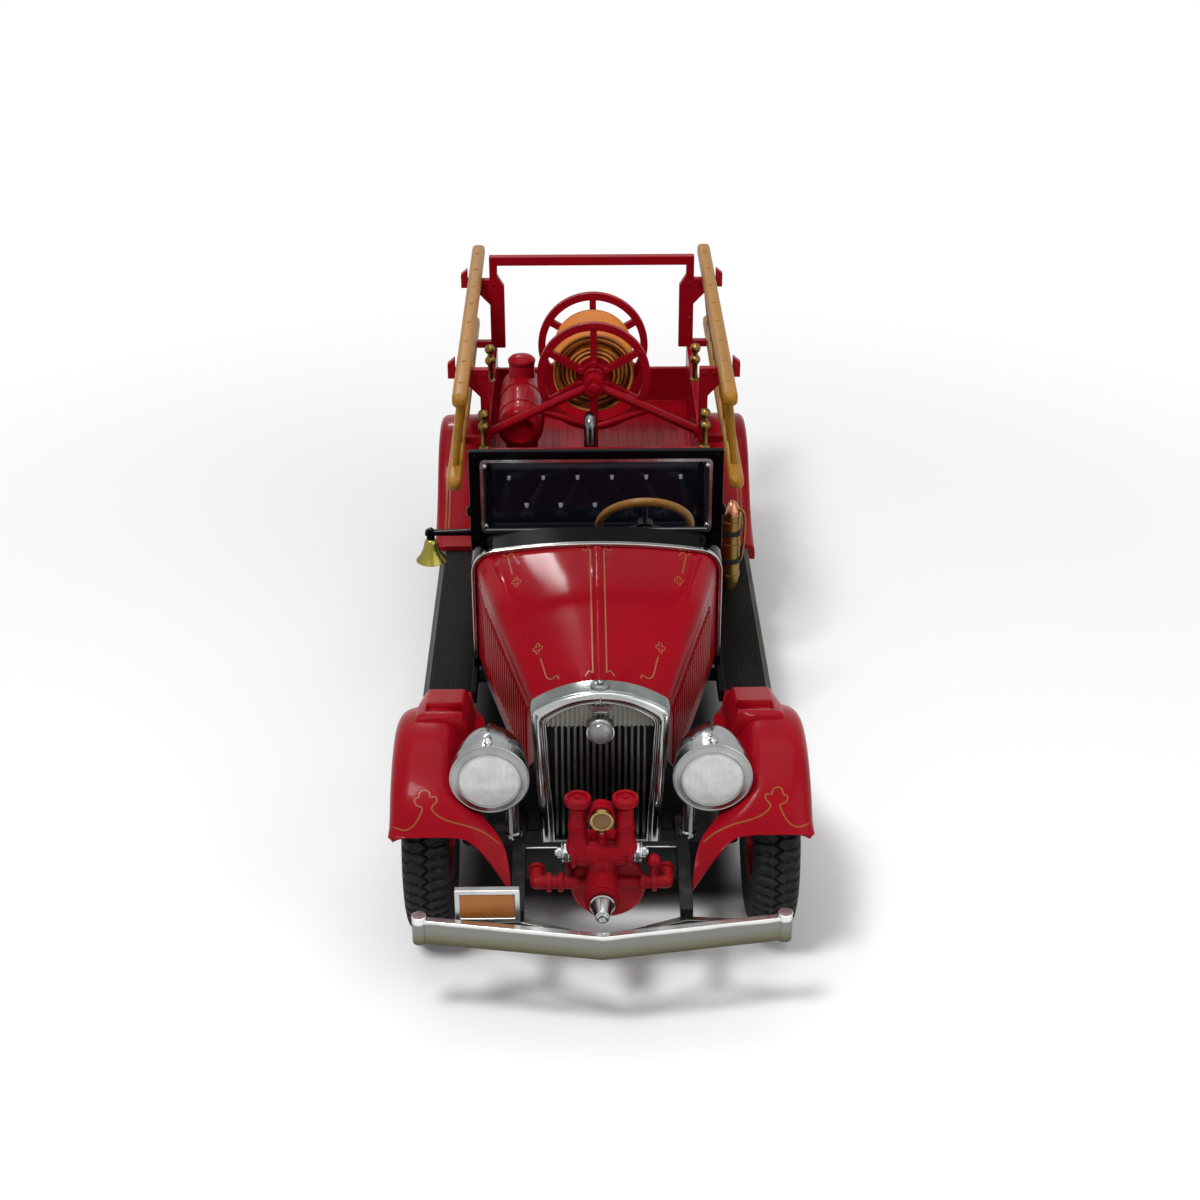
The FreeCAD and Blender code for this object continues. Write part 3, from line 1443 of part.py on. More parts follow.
def front_fender(name, sign):
    """Fender over the front wheel: it rises from the frame rail beside the lamp, rolls over the
    tyre to a deep outer edge and sweeps down to the running board."""
    radius = float(S.fender_radius)
    low = float(S.rail_centre + S.rail_width / 2 + S.seat_gap)
    reach = float(S.board_inner) - low
    top = float(S.tyre_radius) + radius
    height = top - float(S.fender_tip)
    shares = [(inner * radius, crown * radius, x, z, shoulder, first, second, skirt, tail)
              for inner, crown, x, z, shoulder, first, second, skirt, tail in front_rows]
    span = float(S.board_front - S.fender_turn)
    for part, x, z in tail_rows:
        place = float(S.fender_turn) + part * span
        shares.append((place, place, x, z, *tail_shape))
    rows = []
    for inner, place, x, z, shoulder, first, second, skirt, tail in shares:
        crown, slope = front_crown(place)
        size = math.hypot(slope, 1)
        start = Vector(low + x * reach, float(FRONT_AXLE) + inner, float(S.fender_tip) + z * height)
        end = Vector(low + shoulder * (float(S.fender_outer) - low), float(FRONT_AXLE) + place,
                     float(crown))
        row = [start]
        for part, rise in ((1 / 3, first), (2 / 3, second)):
            row.append(Vector(start.x + (end.x - start.x) * part, start.y + (end.y - start.y) * part,
                              start.z + (end.z - start.z) * rise))
        row.append(end)
        outer = S.fender_outer - (S.fender_outer - S.fender_tail_outer) * tail
        edge = outer - (S.fender_outer - S.fender_crown_edge)
        row.append(Vector((end.x + float(edge)) / 2, end.y, end.z))
        row.extend(rolled_edge(edge, outer, S.fender_roll, end.y, end.z, slope / size, -1 / size,
                               skirt))
        rows.append(row)
    if sign > 0:
        made = pressed_sheet("FrontFender", rows, S.fender_wall)
        FENDERS["front"] = made
    else:
        made = mirrored("FrontFenderMirror", FENDERS["front"])
    node(name, made)


# Rows from the horn to the turn of the tail: places of the inner edge and the crown as shares of the
# fender radius, inner edge across and up, shoulder across, two rises between them, the skirt and how
# far the outer side has drawn in to the tail's.
front_rows = (
    (-0.988, -0.870, 0, 0, 0.37, 0.45, 0.80, 0.2, 0),
    (-0.909, -0.845, 0.035, 0.206, 0.39, 0.45, 0.80, 0.7, 0),
    (-0.812, -0.800, 0.12, 0.374, 0.42, 0.48, 0.82, 1, 0),
    (-0.727, -0.727, 0.357, 0.465, 0.46, 0.35, 0.72, 1, 0),
    (-0.606, -0.606, 0.608, 0.535, 0.518, 0.12, 0.45, 1, 0),
    (-0.364, -0.364, 0.608, 0.555, 0.518, 0.08, 0.38, 1, 0),
    (0, 0, 0.58, 0.606, 0.518, 0.15, 0.5, 1, 0),
    (0.327, 0.327, 0.54, 0.65, 0.54, 0.3, 0.65, 1, 0),
    (0.642, 0.642, 0.58, 0.632, 0.56, 0.35, 0.7, 0.7, 0.3),
)
tail_rows = ((0.25, 0.69, 0.455), (0.5, 0.82, 0.31), (0.75, 0.916, 0.206), (1, 1, 0.142))
tail_shape = (0.56, 0.35, 0.7, 0.85, 1)
tail_slope_share = 0.2
FENDERS = {}


def rear_fender(name, sign):
    """Fender over the rear wheel against the body side, with the same rolled outer edge."""
    radius = float(S.rear_fender_radius)
    start = math.radians(rear_start)
    end = math.pi - math.asin((S.rear_fender_end - S.tyre_radius) / radius)
    first = (float(S.board_rear), float(S.board_top + S.fender_tail_rise))
    arc_start = (float(S.wheelbase) - radius * math.cos(start),
                 float(S.tyre_radius) + radius * math.sin(start))
    path = []
    for share in rear_sweep_shares:
        height, slope = swept(first, tail_slope_share, arc_start, 1 / math.tan(start), share)
        path.append((first[0] + (arc_start[0] - first[0]) * share, height, slope, 1))
    for k in range(rear_arc_rows + 1):
        angle = start + (end - start) * k / rear_arc_rows
        path.append((float(S.wheelbase) - radius * math.cos(angle),
                     float(S.tyre_radius) + radius * math.sin(angle),
                     math.cos(angle), math.sin(angle)))
    rows = []
    inner = float(S.rear_fender_inner + S.seat_gap)
    for place, height, rise, run in path:
        size = math.hypot(rise, run)
        y = float(FRONT_AXLE) + place
        edge = float(S.rear_fender_edge)
        row = [Vector(inner + (edge - inner) * share, y, height) for share in rear_row_shares]
        row.extend(rolled_edge(S.rear_fender_edge, S.fender_outer, S.rear_fender_roll, y, height,
                               rise / size, -run / size, 1))
        rows.append(row)
    if sign > 0:
        made = pressed_sheet("RearFender", rows, S.fender_wall)
        FENDERS["rear"] = made
    else:
        made = mirrored("RearFenderMirror", FENDERS["rear"])
    node(name, made)


rear_start = 38
rear_arc_rows = 9
rear_sweep_shares = (0, 0.33, 0.67)
rear_row_shares = (0, 0.33, 0.67)


def running_board(name, sign):
    """Running board with the apron that closes it against the cab and two arms to the rail."""
    low = S.board_top - S.board_wall
    inner = S.board_inner - S.board_apron_wall
    edge = S.rail_centre + S.rail_width / 2
    profile = padded("Board", "XZ_Plane", [[
        (inner, low),
        (S.board_outer, low),
        (S.board_outer, S.board_top),
        (S.board_inner, S.board_top),
        (S.board_inner, S.rail_top - S.seat_gap),
        (inner, S.rail_top - S.seat_gap),
    ]], back(S.board_front), back(S.board_rear))
    arms = [block("BoardArm", (edge, inner), (back(spot), back(spot) + S.board_arm_depth),
                  (low + S.seat_gap, S.board_top))
            for spot in (S.board_arm_front, S.board_arm_rear)]
    solid = fused("BoardSolid", [profile, *arms])
    node(name, solid if sign > 0 else mirrored("BoardMirror", solid))


# Rear body

def rear_body():
    """Open hose bed: floor on two sills, sides, front bulkhead and a lower tail wall."""
    front = back(S.cab_rear)
    rear = back(S.rail_rear)
    half = S.body_half
    inner = half - S.body_wall
    floor_low = S.bed_floor - S.bed_wall
    side = block("BodySide", (inner, half), (front, rear), (S.body_bottom, S.body_top))
    pieces = [
        side,
        mirrored("BodySideMirror", side),
        block("BedFloor", (-inner, inner), (front, rear), (floor_low, S.bed_floor)),
        block("Bulkhead", (-inner, inner), (front, front + S.body_wall), (S.body_bottom, S.bulkhead_top)),
        block("Tail", (-inner, inner), (rear - S.body_wall, rear), (floor_low, S.tail_top)),
    ]
    for side, sign in SIDES:
        middle = S.rail_centre * sign
        pieces.append(block("Sill", (middle - S.sill_half_width, middle + S.sill_half_width),
                            (back(S.kick_end), rear), (S.rail_top + S.kick_rise, floor_low)))
    node("rear_body", fused("RearBody", pieces))


def rear_step():
    """Step behind the body on two hangers from the rail ends."""
    front = back(S.rail_rear)
    rear = back(S.step_rear)
    low = S.step_top - S.step_wall
    pieces = [block("Step", (-S.step_half, S.step_half), (front, rear), (low, S.step_top))]
    for side, sign in SIDES:
        middle = S.rail_centre * sign
        pieces.append(block("StepHanger", (middle - S.rail_width / 2, middle + S.rail_width / 2),
                            (front, front + S.step_hanger), (low, S.rail_top + S.kick_rise)))
    node("rear_step", fused("RearStep", pieces))


# Hose reel

def reel_flange(name, low):
    """Spoked reel flange: rim, hub and six spokes, one of them upright."""
    body = doc.addObject("PartDesign::Body", name)
    inner = S.reel_radius - S.reel_rim
    wide = S.reel_flange
    revolve(body, [(inner, 0), (S.reel_radius, 0), (S.reel_radius, wide), (inner, wide)])
    half = S.reel_spoke_width / 2
    reach = inner + S.reel_rim / 2
    root = S.reel_shaft_radius + S.running_fit
    spoke = pad(body, "XY_Plane", [[(-half, root + S.reel_rim), (half, root + S.reel_rim),
                                    (half, reach), (-half, reach)]], wide * 0, wide)
    spun(body, spoke, reel_spokes)
    body.Tip = body.Group[-1]
    revolve(body, [(root, 0), (S.reel_hub_radius, 0), (S.reel_hub_radius, wide), (root, wide)])
    return place(body, (0, back(low), S.reel_height), "-Y" if name == "FrontFlange" else "Y")


reel_spokes = 6


def reel():
    """Hose reel that turns on a fixed shaft, with its flanges, drum and the wound hose."""
    bore = S.reel_shaft_radius + S.running_fit
    front = reel_flange("FrontFlange", S.reel_front + S.reel_flange)
    rear = reel_flange("RearFlange", S.reel_rear - S.reel_flange)
    low = back(S.reel_front) + S.reel_flange
    high = back(S.reel_rear) - S.reel_flange
    drum = turned("Drum", [(bore, 0), (S.reel_core_radius, 0), (S.reel_core_radius, high - low),
                           (bore, high - low)], (0, low, S.reel_height), "Y")
    node("reel_frame", fused("ReelFrame", [front, rear, drum]))
    gap = S.hose_gap
    core = S.reel_core_radius + S.seat_gap
    length = high - low - gap * 2
    deep = S.hose_recess
    node("reel_hose", turned("HosePack", [
        (core, 0),
        (S.hose_inner_radius, 0),
        (S.hose_inner_radius, deep),
        (S.hose_step_radius, deep),
        (S.hose_step_radius, 0),
        (S.hose_radius, 0),
        (S.hose_radius, length),
        (core, length),
    ], (0, low + gap, S.reel_height), "Y"))


def reel_stand():
    """A frame across the body ahead of the reel, a post behind it and the shaft between them."""
    y = back(S.stand_place)
    top = S.reel_height
    foot_top = S.body_top + S.stand_foot_height
    foot_half = S.stand_foot_depth / 2
    middle = (S.stand_foot_inner + S.body_half) / 2
    radius = S.stand_radius
    rear = back(S.rear_post_front)
    shaft_start = y
    pieces = [
        rod("StandHub", S.stand_hub_radius, (0, y - S.stand_hub_half, top), S.stand_hub_half * 2, "Y"),
        rod("StandPost", radius, (0, y, S.bed_floor), top - S.bed_floor, "Z"),
        rod("ReelShaft", S.reel_shaft_radius, (0, shaft_start, top), rear + S.rear_post_depth - y, "Y"),
        block("RearPost", (-S.rear_post_half, S.rear_post_half), (rear, rear + S.rear_post_depth),
              (S.bed_floor, top)),
        rod("RearBearing", S.stand_hub_radius, (0, rear, top), S.rear_post_depth, "Y"),
    ]
    for side, sign in SIDES:
        low, high = sorted((S.stand_foot_inner * sign, S.body_half * sign))
        pieces.append(block("StandFoot", (low, high), (y - foot_half, y + foot_half),
                            (S.body_top, foot_top)))
        arm_foot = S.body_top + radius
        pieces.append(strut("StandArm", radius, (middle * sign, y, arm_foot), (0, y, top)))
        brace_high = top - (top - arm_foot) * (S.brace_reach / middle)
        pieces.append(strut("StandBrace", radius * brace_share, (0, y, top - S.brace_drop),
                            (S.brace_reach * sign, y, brace_high)))
    node("reel_stand", fused("ReelStand", pieces))


brace_share = 0.8


# Tank and feed pipe

dome_shares = (0.875, 0.3)


def tank():
    """Chemical tank along the bed's right side, with its filler, on two saddles."""
    x = -S.tank_place
    low = back(S.tank_front)
    length = S.tank_rear - S.tank_front
    dome = S.tank_dome
    radius = S.tank_radius
    barrel = turned("TankBarrel", [
        (0, S.tank_recess),
        (S.tank_recess_radius, S.tank_recess),
        (S.tank_recess_radius, 0),
        (radius, dome, radius * dome_shares[0], dome * dome_shares[1]),
        (radius, length - dome),
        dome_point(radius, length - dome, dome),
    ], (x, low, S.tank_height), "Y")
    neck = rod("TankNeck", S.filler_neck_radius, (x, back(S.filler_place), S.tank_height),
               S.filler_neck_top - S.tank_height, "Z")
    cap = cone("TankCap", S.filler_neck_radius, S.filler_neck_radius * cap_share,
               (x, back(S.filler_place), S.filler_neck_top), S.tank_recess, "Z")
    saddles = [block("TankSaddle", (x - S.saddle_half_width, x + S.saddle_half_width),
                     (back(spot), back(spot) + S.saddle_wall), (S.bed_floor, S.tank_height - radius / 2))
               for spot in (S.saddle_front, S.saddle_rear)]
    node("tank", fused("Tank", [barrel, neck, cap, *saddles]))


def feed_pipe():
    """Polished gooseneck from the bed floor behind the bulkhead."""
    x = -S.feed_place
    first = back(S.feed_front)
    bend = doc.addObject("Part::Torus", "FeedBend")
    bind(bend, "Radius1", S.feed_bend)
    bind(bend, "Radius2", S.feed_radius)
    bend.Angle3 = 180
    place(bend, (x, first + S.feed_bend, S.feed_top), Rotation(Vector(0, 1, 0), Vector(0, 0, 1),
                                                              Vector(1, 0, 0), "ZXY"))
    rise = S.feed_top - S.bed_floor
    pieces = [bend,
              rod("FeedFront", S.feed_radius, (x, first, S.bed_floor), rise, "Z"),
              rod("FeedRear", S.feed_radius, (x, first + S.feed_bend * 2, S.bed_floor), rise, "Z")]
    node("feed_pipe", fused("FeedPipe", pieces))


# Ladders

def ladder_posts():
    """Posts on the body sides with arms that carry the ladders, and the rear crossbar."""
    inner = S.post_inner
    outer = inner + S.post_width
    rail_inner = S.ladder_lower_place - S.ladder_rail / 2 - S.seat_gap
    for_side = []
    for spot in (S.front_post, S.rear_post):
        y = (back(spot), back(spot) + S.post_depth)
        tip = S.arm_reach - S.arm_tip
        for_side.append([
            block("Post", (inner, outer), y, (S.body_top, S.post_top)),
            block("Arm", (inner, S.arm_reach), y, (S.post_top - S.arm_height, S.post_top)),
            padded("ArmTip", "XZ_Plane", [[
                (tip, S.post_top - S.arm_height / 2),
                (S.arm_reach, S.post_top - S.arm_height / 2),
                (S.arm_reach, S.post_top + S.arm_tip_height / 2),
                (tip, S.post_top + S.arm_tip_height),
            ]], *y),
            padded("Gusset", "XZ_Plane", [[
                (inner, S.post_top - S.arm_height - S.gusset_drop),
                (outer, S.post_top - S.arm_height - S.gusset_drop),
                (outer + S.gusset_reach, S.post_top - S.arm_height),
                (inner, S.post_top - S.arm_height),
            ]], *y),
            block("LowArm", (inner, rail_inner), y, (S.body_top, S.body_top + S.low_arm_height)),
        ])
    front = fused("FrontPost", for_side[0])
    y = (back(S.rear_post), back(S.rear_post) + S.crossbar_size)
    step = inner - S.post_step
    neck = padded("Neck", "XZ_Plane", [[
        (step, S.body_top),
        (outer, S.body_top),
        (outer, S.crossbar_top - S.crossbar_size),
        (inner, S.crossbar_top - S.crossbar_size),
        (inner, S.post_step_high),
        (step, S.post_step_low),
    ]], back(S.rear_post), back(S.rear_post) + S.post_depth)
    rear = fused("RearPost", [*for_side[1], neck])
    bar = block("Crossbar", (-outer, outer), y, (S.crossbar_top - S.crossbar_size, S.crossbar_top))
    frame = fused("RearFrame", [rear, mirrored("RearPostMirror", rear), bar])
    node("ladder_frames", group("LadderFrames", [front, mirrored("FrontPostMirror", front), frame]))


def ladder(name, sign):
    """Wooden ladder: two long side rails with round rungs between them."""
    half = S.ladder_rail / 2
    rear = back(S.rear_reach)
    pieces = []
    ends = ((S.ladder_upper_place, S.ladder_upper_height), (S.ladder_lower_place, S.ladder_lower_height))
    for x, z in ends:
        r = S.ladder_rail_round
        near = r * (1 - math.sqrt(0.5))
        pieces.append(padded("LadderRail", "XZ_Plane", [[
            (x - half + r, z - half, x - half + near, z - half + near),
            (x + half - r, z - half),
            (x + half, z - half + r, x + half - near, z - half + near),
            (x + half, z + half - r),
            (x + half - r, z + half, x + half - near, z + half - near),
            (x - half + r, z + half),
            (x - half, z + half - r, x - half + near, z + half - near),
            (x - half, z - half + r),
        ]], back(S.ladder_front), rear))
    count = int(S.rung_count)
    first = back(S.ladder_front) + S.rung_first
    last = rear - S.rung_first
    for k in range(count):
        y = first + (last - first) * (k / (count - 1))
        pieces.append(strut("Rung", S.rung_radius, (ends[1][0], y, ends[1][1]), (ends[0][0], y, ends[0][1])))
    solid = fused("Ladder", pieces)
    node(name, solid if sign > 0 else mirrored("LadderMirror", solid))


def keepers():
    """Brass ladder keepers: two knobs on each stalk that stands on the body sides."""
    pieces = []
    for spot in (S.keeper_front, S.keeper_rear):
        at = (S.keeper_place, back(spot))
        stalk = rod("Stalk", S.keeper_stalk_radius, (*at, S.body_top), S.keeper_high - S.body_top, "Z")
        knobs = [ball("KeeperKnob", S.keeper_knob_radius, (*at, z)) for z in (S.keeper_low, S.keeper_high)]
        one = fused("Keeper", [stalk, *knobs])
        pieces.append(one)
        pieces.append(mirrored("KeeperMirror", one))
    node("ladder_keepers", group("Keepers", pieces))


# Bell and extinguisher

def bell():
    """Brass bell that hangs from the arm of the windscreen frame."""
    x = -S.bell_place
    y = back(S.bell_back)
    wall = S.bell_wall
    tall = S.bell_height
    mouth = S.bell_mouth_radius
    waist = S.bell_waist_radius
    crown = S.bell_crown_radius
    shape = turned("BellShape", [
        (mouth, 0),
        (waist, tall * bell_shares[0], mouth * bell_shares[1], tall * bell_shares[2]),
        (waist, tall * bell_shares[3]),
        (crown, tall),
        (0, tall),
        (0, tall - wall * 2),
        (waist - wall, tall * bell_shares[3] - wall),
        (waist - wall, tall * bell_shares[0]),
        (mouth - wall, 0, mouth * bell_shares[1] - wall, tall * bell_shares[2]),
    ], (x, y, S.bell_top - tall))
    stem = rod("BellStem", S.bell_stem_radius, (x, y, S.bell_top - wall), S.bell_arm_bottom - S.bell_top + wall,
               "Z")
    node("bell", fused("Bell", [shape, stem]))


bell_shares = (0.45, 0.68, 0.16, 0.8)


def extinguisher():
    """Brass extinguisher standing on the left running board, held by a clip to the cab side."""
    x = S.extinguisher_place
    y = back(S.extinguisher_back)
    radius = S.extinguisher_radius
    cylinder = rod("Cylinder", radius, (x, y, S.board_top), S.extinguisher_top - S.board_top, "Z")
    cap = cone("Cap", S.extinguisher_cap_radius, S.extinguisher_cap_radius * cap_share,
               (x, y, S.extinguisher_top), S.extinguisher_cap_top - S.extinguisher_top, "Z")
    clip = block("Clip", (S.cab_half, x), (y - S.clip_half_depth, y + S.clip_half_depth),
                 (S.door_sill - S.clip_height, S.door_sill))
    node("extinguisher", fused("Extinguisher", [cylinder, cap, clip]))


# Build, check and write

def check(item):
    """Stop when a sub-part failed, is empty or is not valid."""
    shape = item.Shape
    if shape.isNull() or not shape.isValid() or not shape.Solids:
        raise RuntimeError(f"{item.Label} has no valid solid")


wheels()
chassis()
axles()
springs()
bumper()
number_plate()
pump()
small_lens = radiator()
bonnet()
cowl()
windscreen()
cab()
seat()
steering()
headlamps(small_lens)
for hand, direction in SIDES:
    front_fender(f"front_fender_{hand}", direction)
    rear_fender(f"rear_fender_{hand}", direction)
    running_board(f"running_board_{hand}", direction)
    ladder(f"ladder_{hand}", direction)
rear_body()
rear_step()
reel()
reel_stand()
tank()
feed_pipe()
ladder_posts()
keepers()
bell()
extinguisher()
doc.recompute()

for item in doc.Objects:
    if "Invalid" in item.State or "Error" in item.State:
        raise RuntimeError(f"{item.Name} ({item.Label}) did not recompute: {item.State}")
os.makedirs("parts", exist_ok=True)
for item in NODES:
    check(item)
    item.Shape.exportStep(f"parts/{item.Label}.step")
    print(f"{item.Label}: {len(item.Shape.Solids)} solids, {item.Shape.Volume:.1f} mm3")
print(f"{len(NODES)} sub-parts")
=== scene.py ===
"""Looks of a collector's scale model of an open cab fire engine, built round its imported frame.

Sizes are millimetres of the model; meshes are written in metres. The vehicle faces -Y, and its left
side is +X.
"""
import json
import logging
import math
from collections.abc import Sequence
from dataclasses import dataclass
from enum import Enum
from typing import Any

import bmesh
import bpy
import numpy as np
from mathutils import Euler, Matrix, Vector

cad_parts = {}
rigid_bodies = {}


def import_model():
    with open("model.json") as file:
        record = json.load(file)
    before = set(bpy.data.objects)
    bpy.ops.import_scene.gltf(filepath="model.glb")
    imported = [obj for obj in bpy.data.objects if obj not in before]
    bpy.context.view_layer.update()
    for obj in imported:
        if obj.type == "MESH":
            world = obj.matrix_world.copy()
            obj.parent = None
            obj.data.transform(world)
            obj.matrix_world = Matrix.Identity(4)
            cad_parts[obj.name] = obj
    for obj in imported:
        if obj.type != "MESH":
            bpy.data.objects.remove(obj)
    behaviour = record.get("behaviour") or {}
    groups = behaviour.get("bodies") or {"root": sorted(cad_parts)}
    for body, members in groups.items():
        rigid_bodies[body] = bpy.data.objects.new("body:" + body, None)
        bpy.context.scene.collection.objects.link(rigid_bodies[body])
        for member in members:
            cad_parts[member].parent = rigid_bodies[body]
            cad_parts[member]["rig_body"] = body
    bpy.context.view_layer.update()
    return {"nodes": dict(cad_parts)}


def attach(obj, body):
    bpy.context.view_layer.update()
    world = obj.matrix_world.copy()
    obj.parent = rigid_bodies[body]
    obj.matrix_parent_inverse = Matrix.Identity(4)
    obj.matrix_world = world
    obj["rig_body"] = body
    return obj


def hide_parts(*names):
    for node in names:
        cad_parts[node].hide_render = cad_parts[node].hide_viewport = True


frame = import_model()

MM = 0.001
WHEELBASE = 104.0
FRONT_AXLE = -54.25
REAR_AXLE = FRONT_AXLE + WHEELBASE
ENDS = ("front", "rear")
REEL_HEIGHT = 45.1  # height of the hose reel's shaft
BED_SIDE = 17.85  # middle of the hose bed's side walls
BED_TOP = 36.0  # top of these walls
FALL_FROM = 30.0  # millimetres above its line from where a path falls onto a node
BESIDE = 0.08  # millimetres between a path and the line that gives its normals
PETAL = 0.62  # half the width of a painted flower
LOG = logging.getLogger("fire_engine")
Array = np.ndarray
Points = Sequence[Sequence[float]]


class Body(Enum):
    """The bodies that pieces ride on."""

    VEHICLE = "vehicle"
    REEL = "reel"


class Along(Enum):
    """Directions that turned pieces point in."""

    LEFT = (1, 0, 0)
    RIGHT = (-1, 0, 0)
    FORWARD = (0, -1, 0)
    BACK = (0, 1, 0)
    UP = (0, 0, 1)
    DOWN = (0, 0, -1)

    @property
    def spot(self) -> int:
        """Which of x, y and z the direction runs along."""
        return [abs(part) for part in self.value].index(1)


class Side(Enum):
    """The vehicle's two sides, with their direction along X."""

    LEFT = 1
    RIGHT = -1

    @property
    def word(self) -> str:
        """The side's name in lower case."""
        return self.name.lower()

    @property
    def out(self) -> Along:
        """The way outwards on this side."""
        return Along[self.name]


def behind(distance: float | Array) -> float | Array:
    """Place along Y at a distance behind the front axle."""
    return FRONT_AXLE + distance


# Shaping


def unit(vectors: Array) -> Array:
    """Vectors brought to length one, along their last axis."""
    return vectors / np.linalg.norm(vectors, axis=-1, keepdims=True)


def smooth_line(points: Points, count: int) -> Array:
    """Smooth line through points.

    Between two points the line is the cubic whose slope at each is half the step from the point
    before it to the point after it.

    Args:
        points: Places that the line goes through.
        count: How many places to give back.

    Returns:
        The places along the line.
    """
    p = np.asarray(points, float)
    p = np.vstack([2 * p[:1] - p[1:2], p, 2 * p[-1:] - p[-2:-1]])
    spans = len(p) - 3
    s = np.linspace(0, spans, count)
    k = np.minimum(s.astype(int), spans - 1)
    t = (s - k)[:, None]
    a, b, c, d = p[k], p[k + 1], p[k + 2], p[k + 3]
    return 0.5 * (2 * b + (c - a) * t + (2 * a - 5 * b + 4 * c - d) * t**2
                  + (3 * b - a - 3 * c + d) * t**3)


def wave(values: Array) -> Array:
    """Rounded ridges from 0 to 1, one for each whole number: half of one and a cosine."""
    return 0.5 + 0.5 * np.cos(2 * np.pi * values)


def step(values: Array, low: float, high: float) -> Array:
    """Smooth rise from 0 at low to 1 at high: three t squared less two t cubed."""
    t = np.clip((values - low) / (high - low), 0, 1)
    return t * t * (3 - 2 * t)


class Form:
    """Points and faces of one piece, gathered from several surfaces."""

    def __init__(self) -> None:
        """Starts with nothing in it."""
        self.points: list[Array] = []
        self.faces: list[list[int]] = []
        self.count = 0

    def grid(self, points: Array, joined: bool = False, caps: bool = False) -> "Form":
        """Adds a surface given as rows of points, each row a closed ring.

        Args:
            points: Rows by columns by three.
            joined: Whether the last row joins the first.
            caps: Whether the first and the last row are each closed by one face.

        Returns:
            The form itself.
        """
        rows, columns = points.shape[:2]
        i, j = np.meshgrid(np.arange(rows if joined else rows - 1), np.arange(columns),
                           indexing="ij")
        i2, j2 = (i + 1) % rows, (j + 1) % columns
        quads = np.stack([i * columns + j, i * columns + j2, i2 * columns + j2,
                          i2 * columns + j], -1)
        self.faces += (quads.reshape(-1, 4) + self.count).tolist()
        if caps:
            ring = np.arange(columns)
            self.faces.append((ring[::-1] + self.count).tolist())
            self.faces.append((ring + (rows - 1) * columns + self.count).tolist())
        self.points.append(points.reshape(-1, 3))
        self.count += rows * columns
        return self

    def lathe(self, profile: Points, centre: Sequence[float], along: Along | Sequence[float],
              sides: int) -> "Form":
        """Turns a profile about an axis.

        A profile point of radius r and height h goes to centre + h axis + r (cos a u + sin a v),
        with u and v square to the axis and the angle a going once round.

        Args:
            profile: Radius and height pairs, closed at the axis or into a ring.
            centre: Point on the axis at height zero.
            along: Direction of the axis.
            sides: Steps round the axis.

        Returns:
            The form itself.
        """
        axis = unit(np.asarray(along.value if isinstance(along, Along) else along, float))
        u, v = across(axis)
        p = np.asarray(profile, float)
        a = full_turn(sides)
        ring = np.cos(a)[:, None] * u + np.sin(a)[:, None] * v
        points = np.asarray(centre, float) + p[:, None, 1:] * axis + p[:, None, :1] * ring
        looped = bool(p[0, 0] > 0)
        return self.grid(points, joined=looped)

    def tube(self, path: Array, radius: float | Array, sides: int,
             up: Sequence[float] = (0, 0, 1)) -> "Form":
        """Carries a circle along a path.

        The circle stands square to the path, in the plane of s and n: s is the path's direction
        crossed with up, and n is s crossed with the direction.

        Args:
            path: Places along the middle of the tube.
            radius: Radius, or one for each place.
            sides: Steps round the circle.
            up: A direction that the path never takes.

        Returns:
            The form itself.
        """
        t = unit(np.gradient(path, axis=0))
        s = unit(np.cross(t, np.asarray(up, float)))
        n = np.cross(s, t)
        a = full_turn(sides)
        r = np.broadcast_to(np.asarray(radius, float), (len(path),))[:, None, None]
        ring = np.cos(a)[None, :, None] * s[:, None] + np.sin(a)[None, :, None] * n[:, None]
        return self.grid(path[:, None] + r * ring, caps=True)

    def strip(self, path: Array, normal: Array | Sequence[float], width: float, thick: float,
              sunk: float = 0.03, closed: bool = False) -> "Form":
        """Carries a flat oblong along a path that lies on a surface.

        Its corners are path + (plus or minus half the width) side + (minus sunk, or thick) normal,
        with side the path's direction crossed with the normal.

        Args:
            path: Places on the surface.
            normal: The surface's direction at each place, or one for all.
            width: Width of the strip.
            thick: How far the strip stands above the surface.
            sunk: How far it reaches below it.
            closed: Whether the strip is a ring.

        Returns:
            The form itself.
        """
        t = np.roll(path, -1, 0) - np.roll(path, 1, 0) if closed else np.gradient(path, axis=0)
        n = unit(np.broadcast_to(np.asarray(normal, float), path.shape))
        side = unit(np.cross(t, n)) * width / 2
        corners = [path + side + thick * n, path - side + thick * n,
                   path - side - sunk * n, path + side - sunk * n]
        return self.grid(np.stack(corners, 1), joined=closed, caps=not closed)

    def slab(self, outline: Points, low: float, high: float, along: Along) -> "Form":
        """Gives an outline a thickness.

        Args:
            outline: For UP it is x and y, for BACK x and z, and for LEFT y and z.
            low: Where the slab starts along its axis.
            high: Where it ends.
            along: UP, BACK or LEFT.

        Returns:
            The form itself.
        """
        layers = [placed(outline, along, value) for value in (low, high)]
        return self.grid(np.stack(layers), caps=True)

    def studs(self, places: Points, along: Along | Sequence[float], radius: float, height: float,
              sides: int, sunk: float = 0.05) -> "Form":
        """Sets a small domed head on each of several places.

        Args:
            places: Where the heads stand.
            along: The way that they point.
            radius: Radius of a head.
            height: Height of a head.
            sides: Six for a nut, more for a rivet.
            sunk: How far each reaches into what it stands on.

        Returns:
            The form itself.
        """
        profile = [(0, -sunk), (radius, -sunk), (radius, height * 0.55),
                   (radius * 0.8, height * 0.9), (0, height)]
        for place in places:
            self.lathe(profile, place, along, sides)
        return self


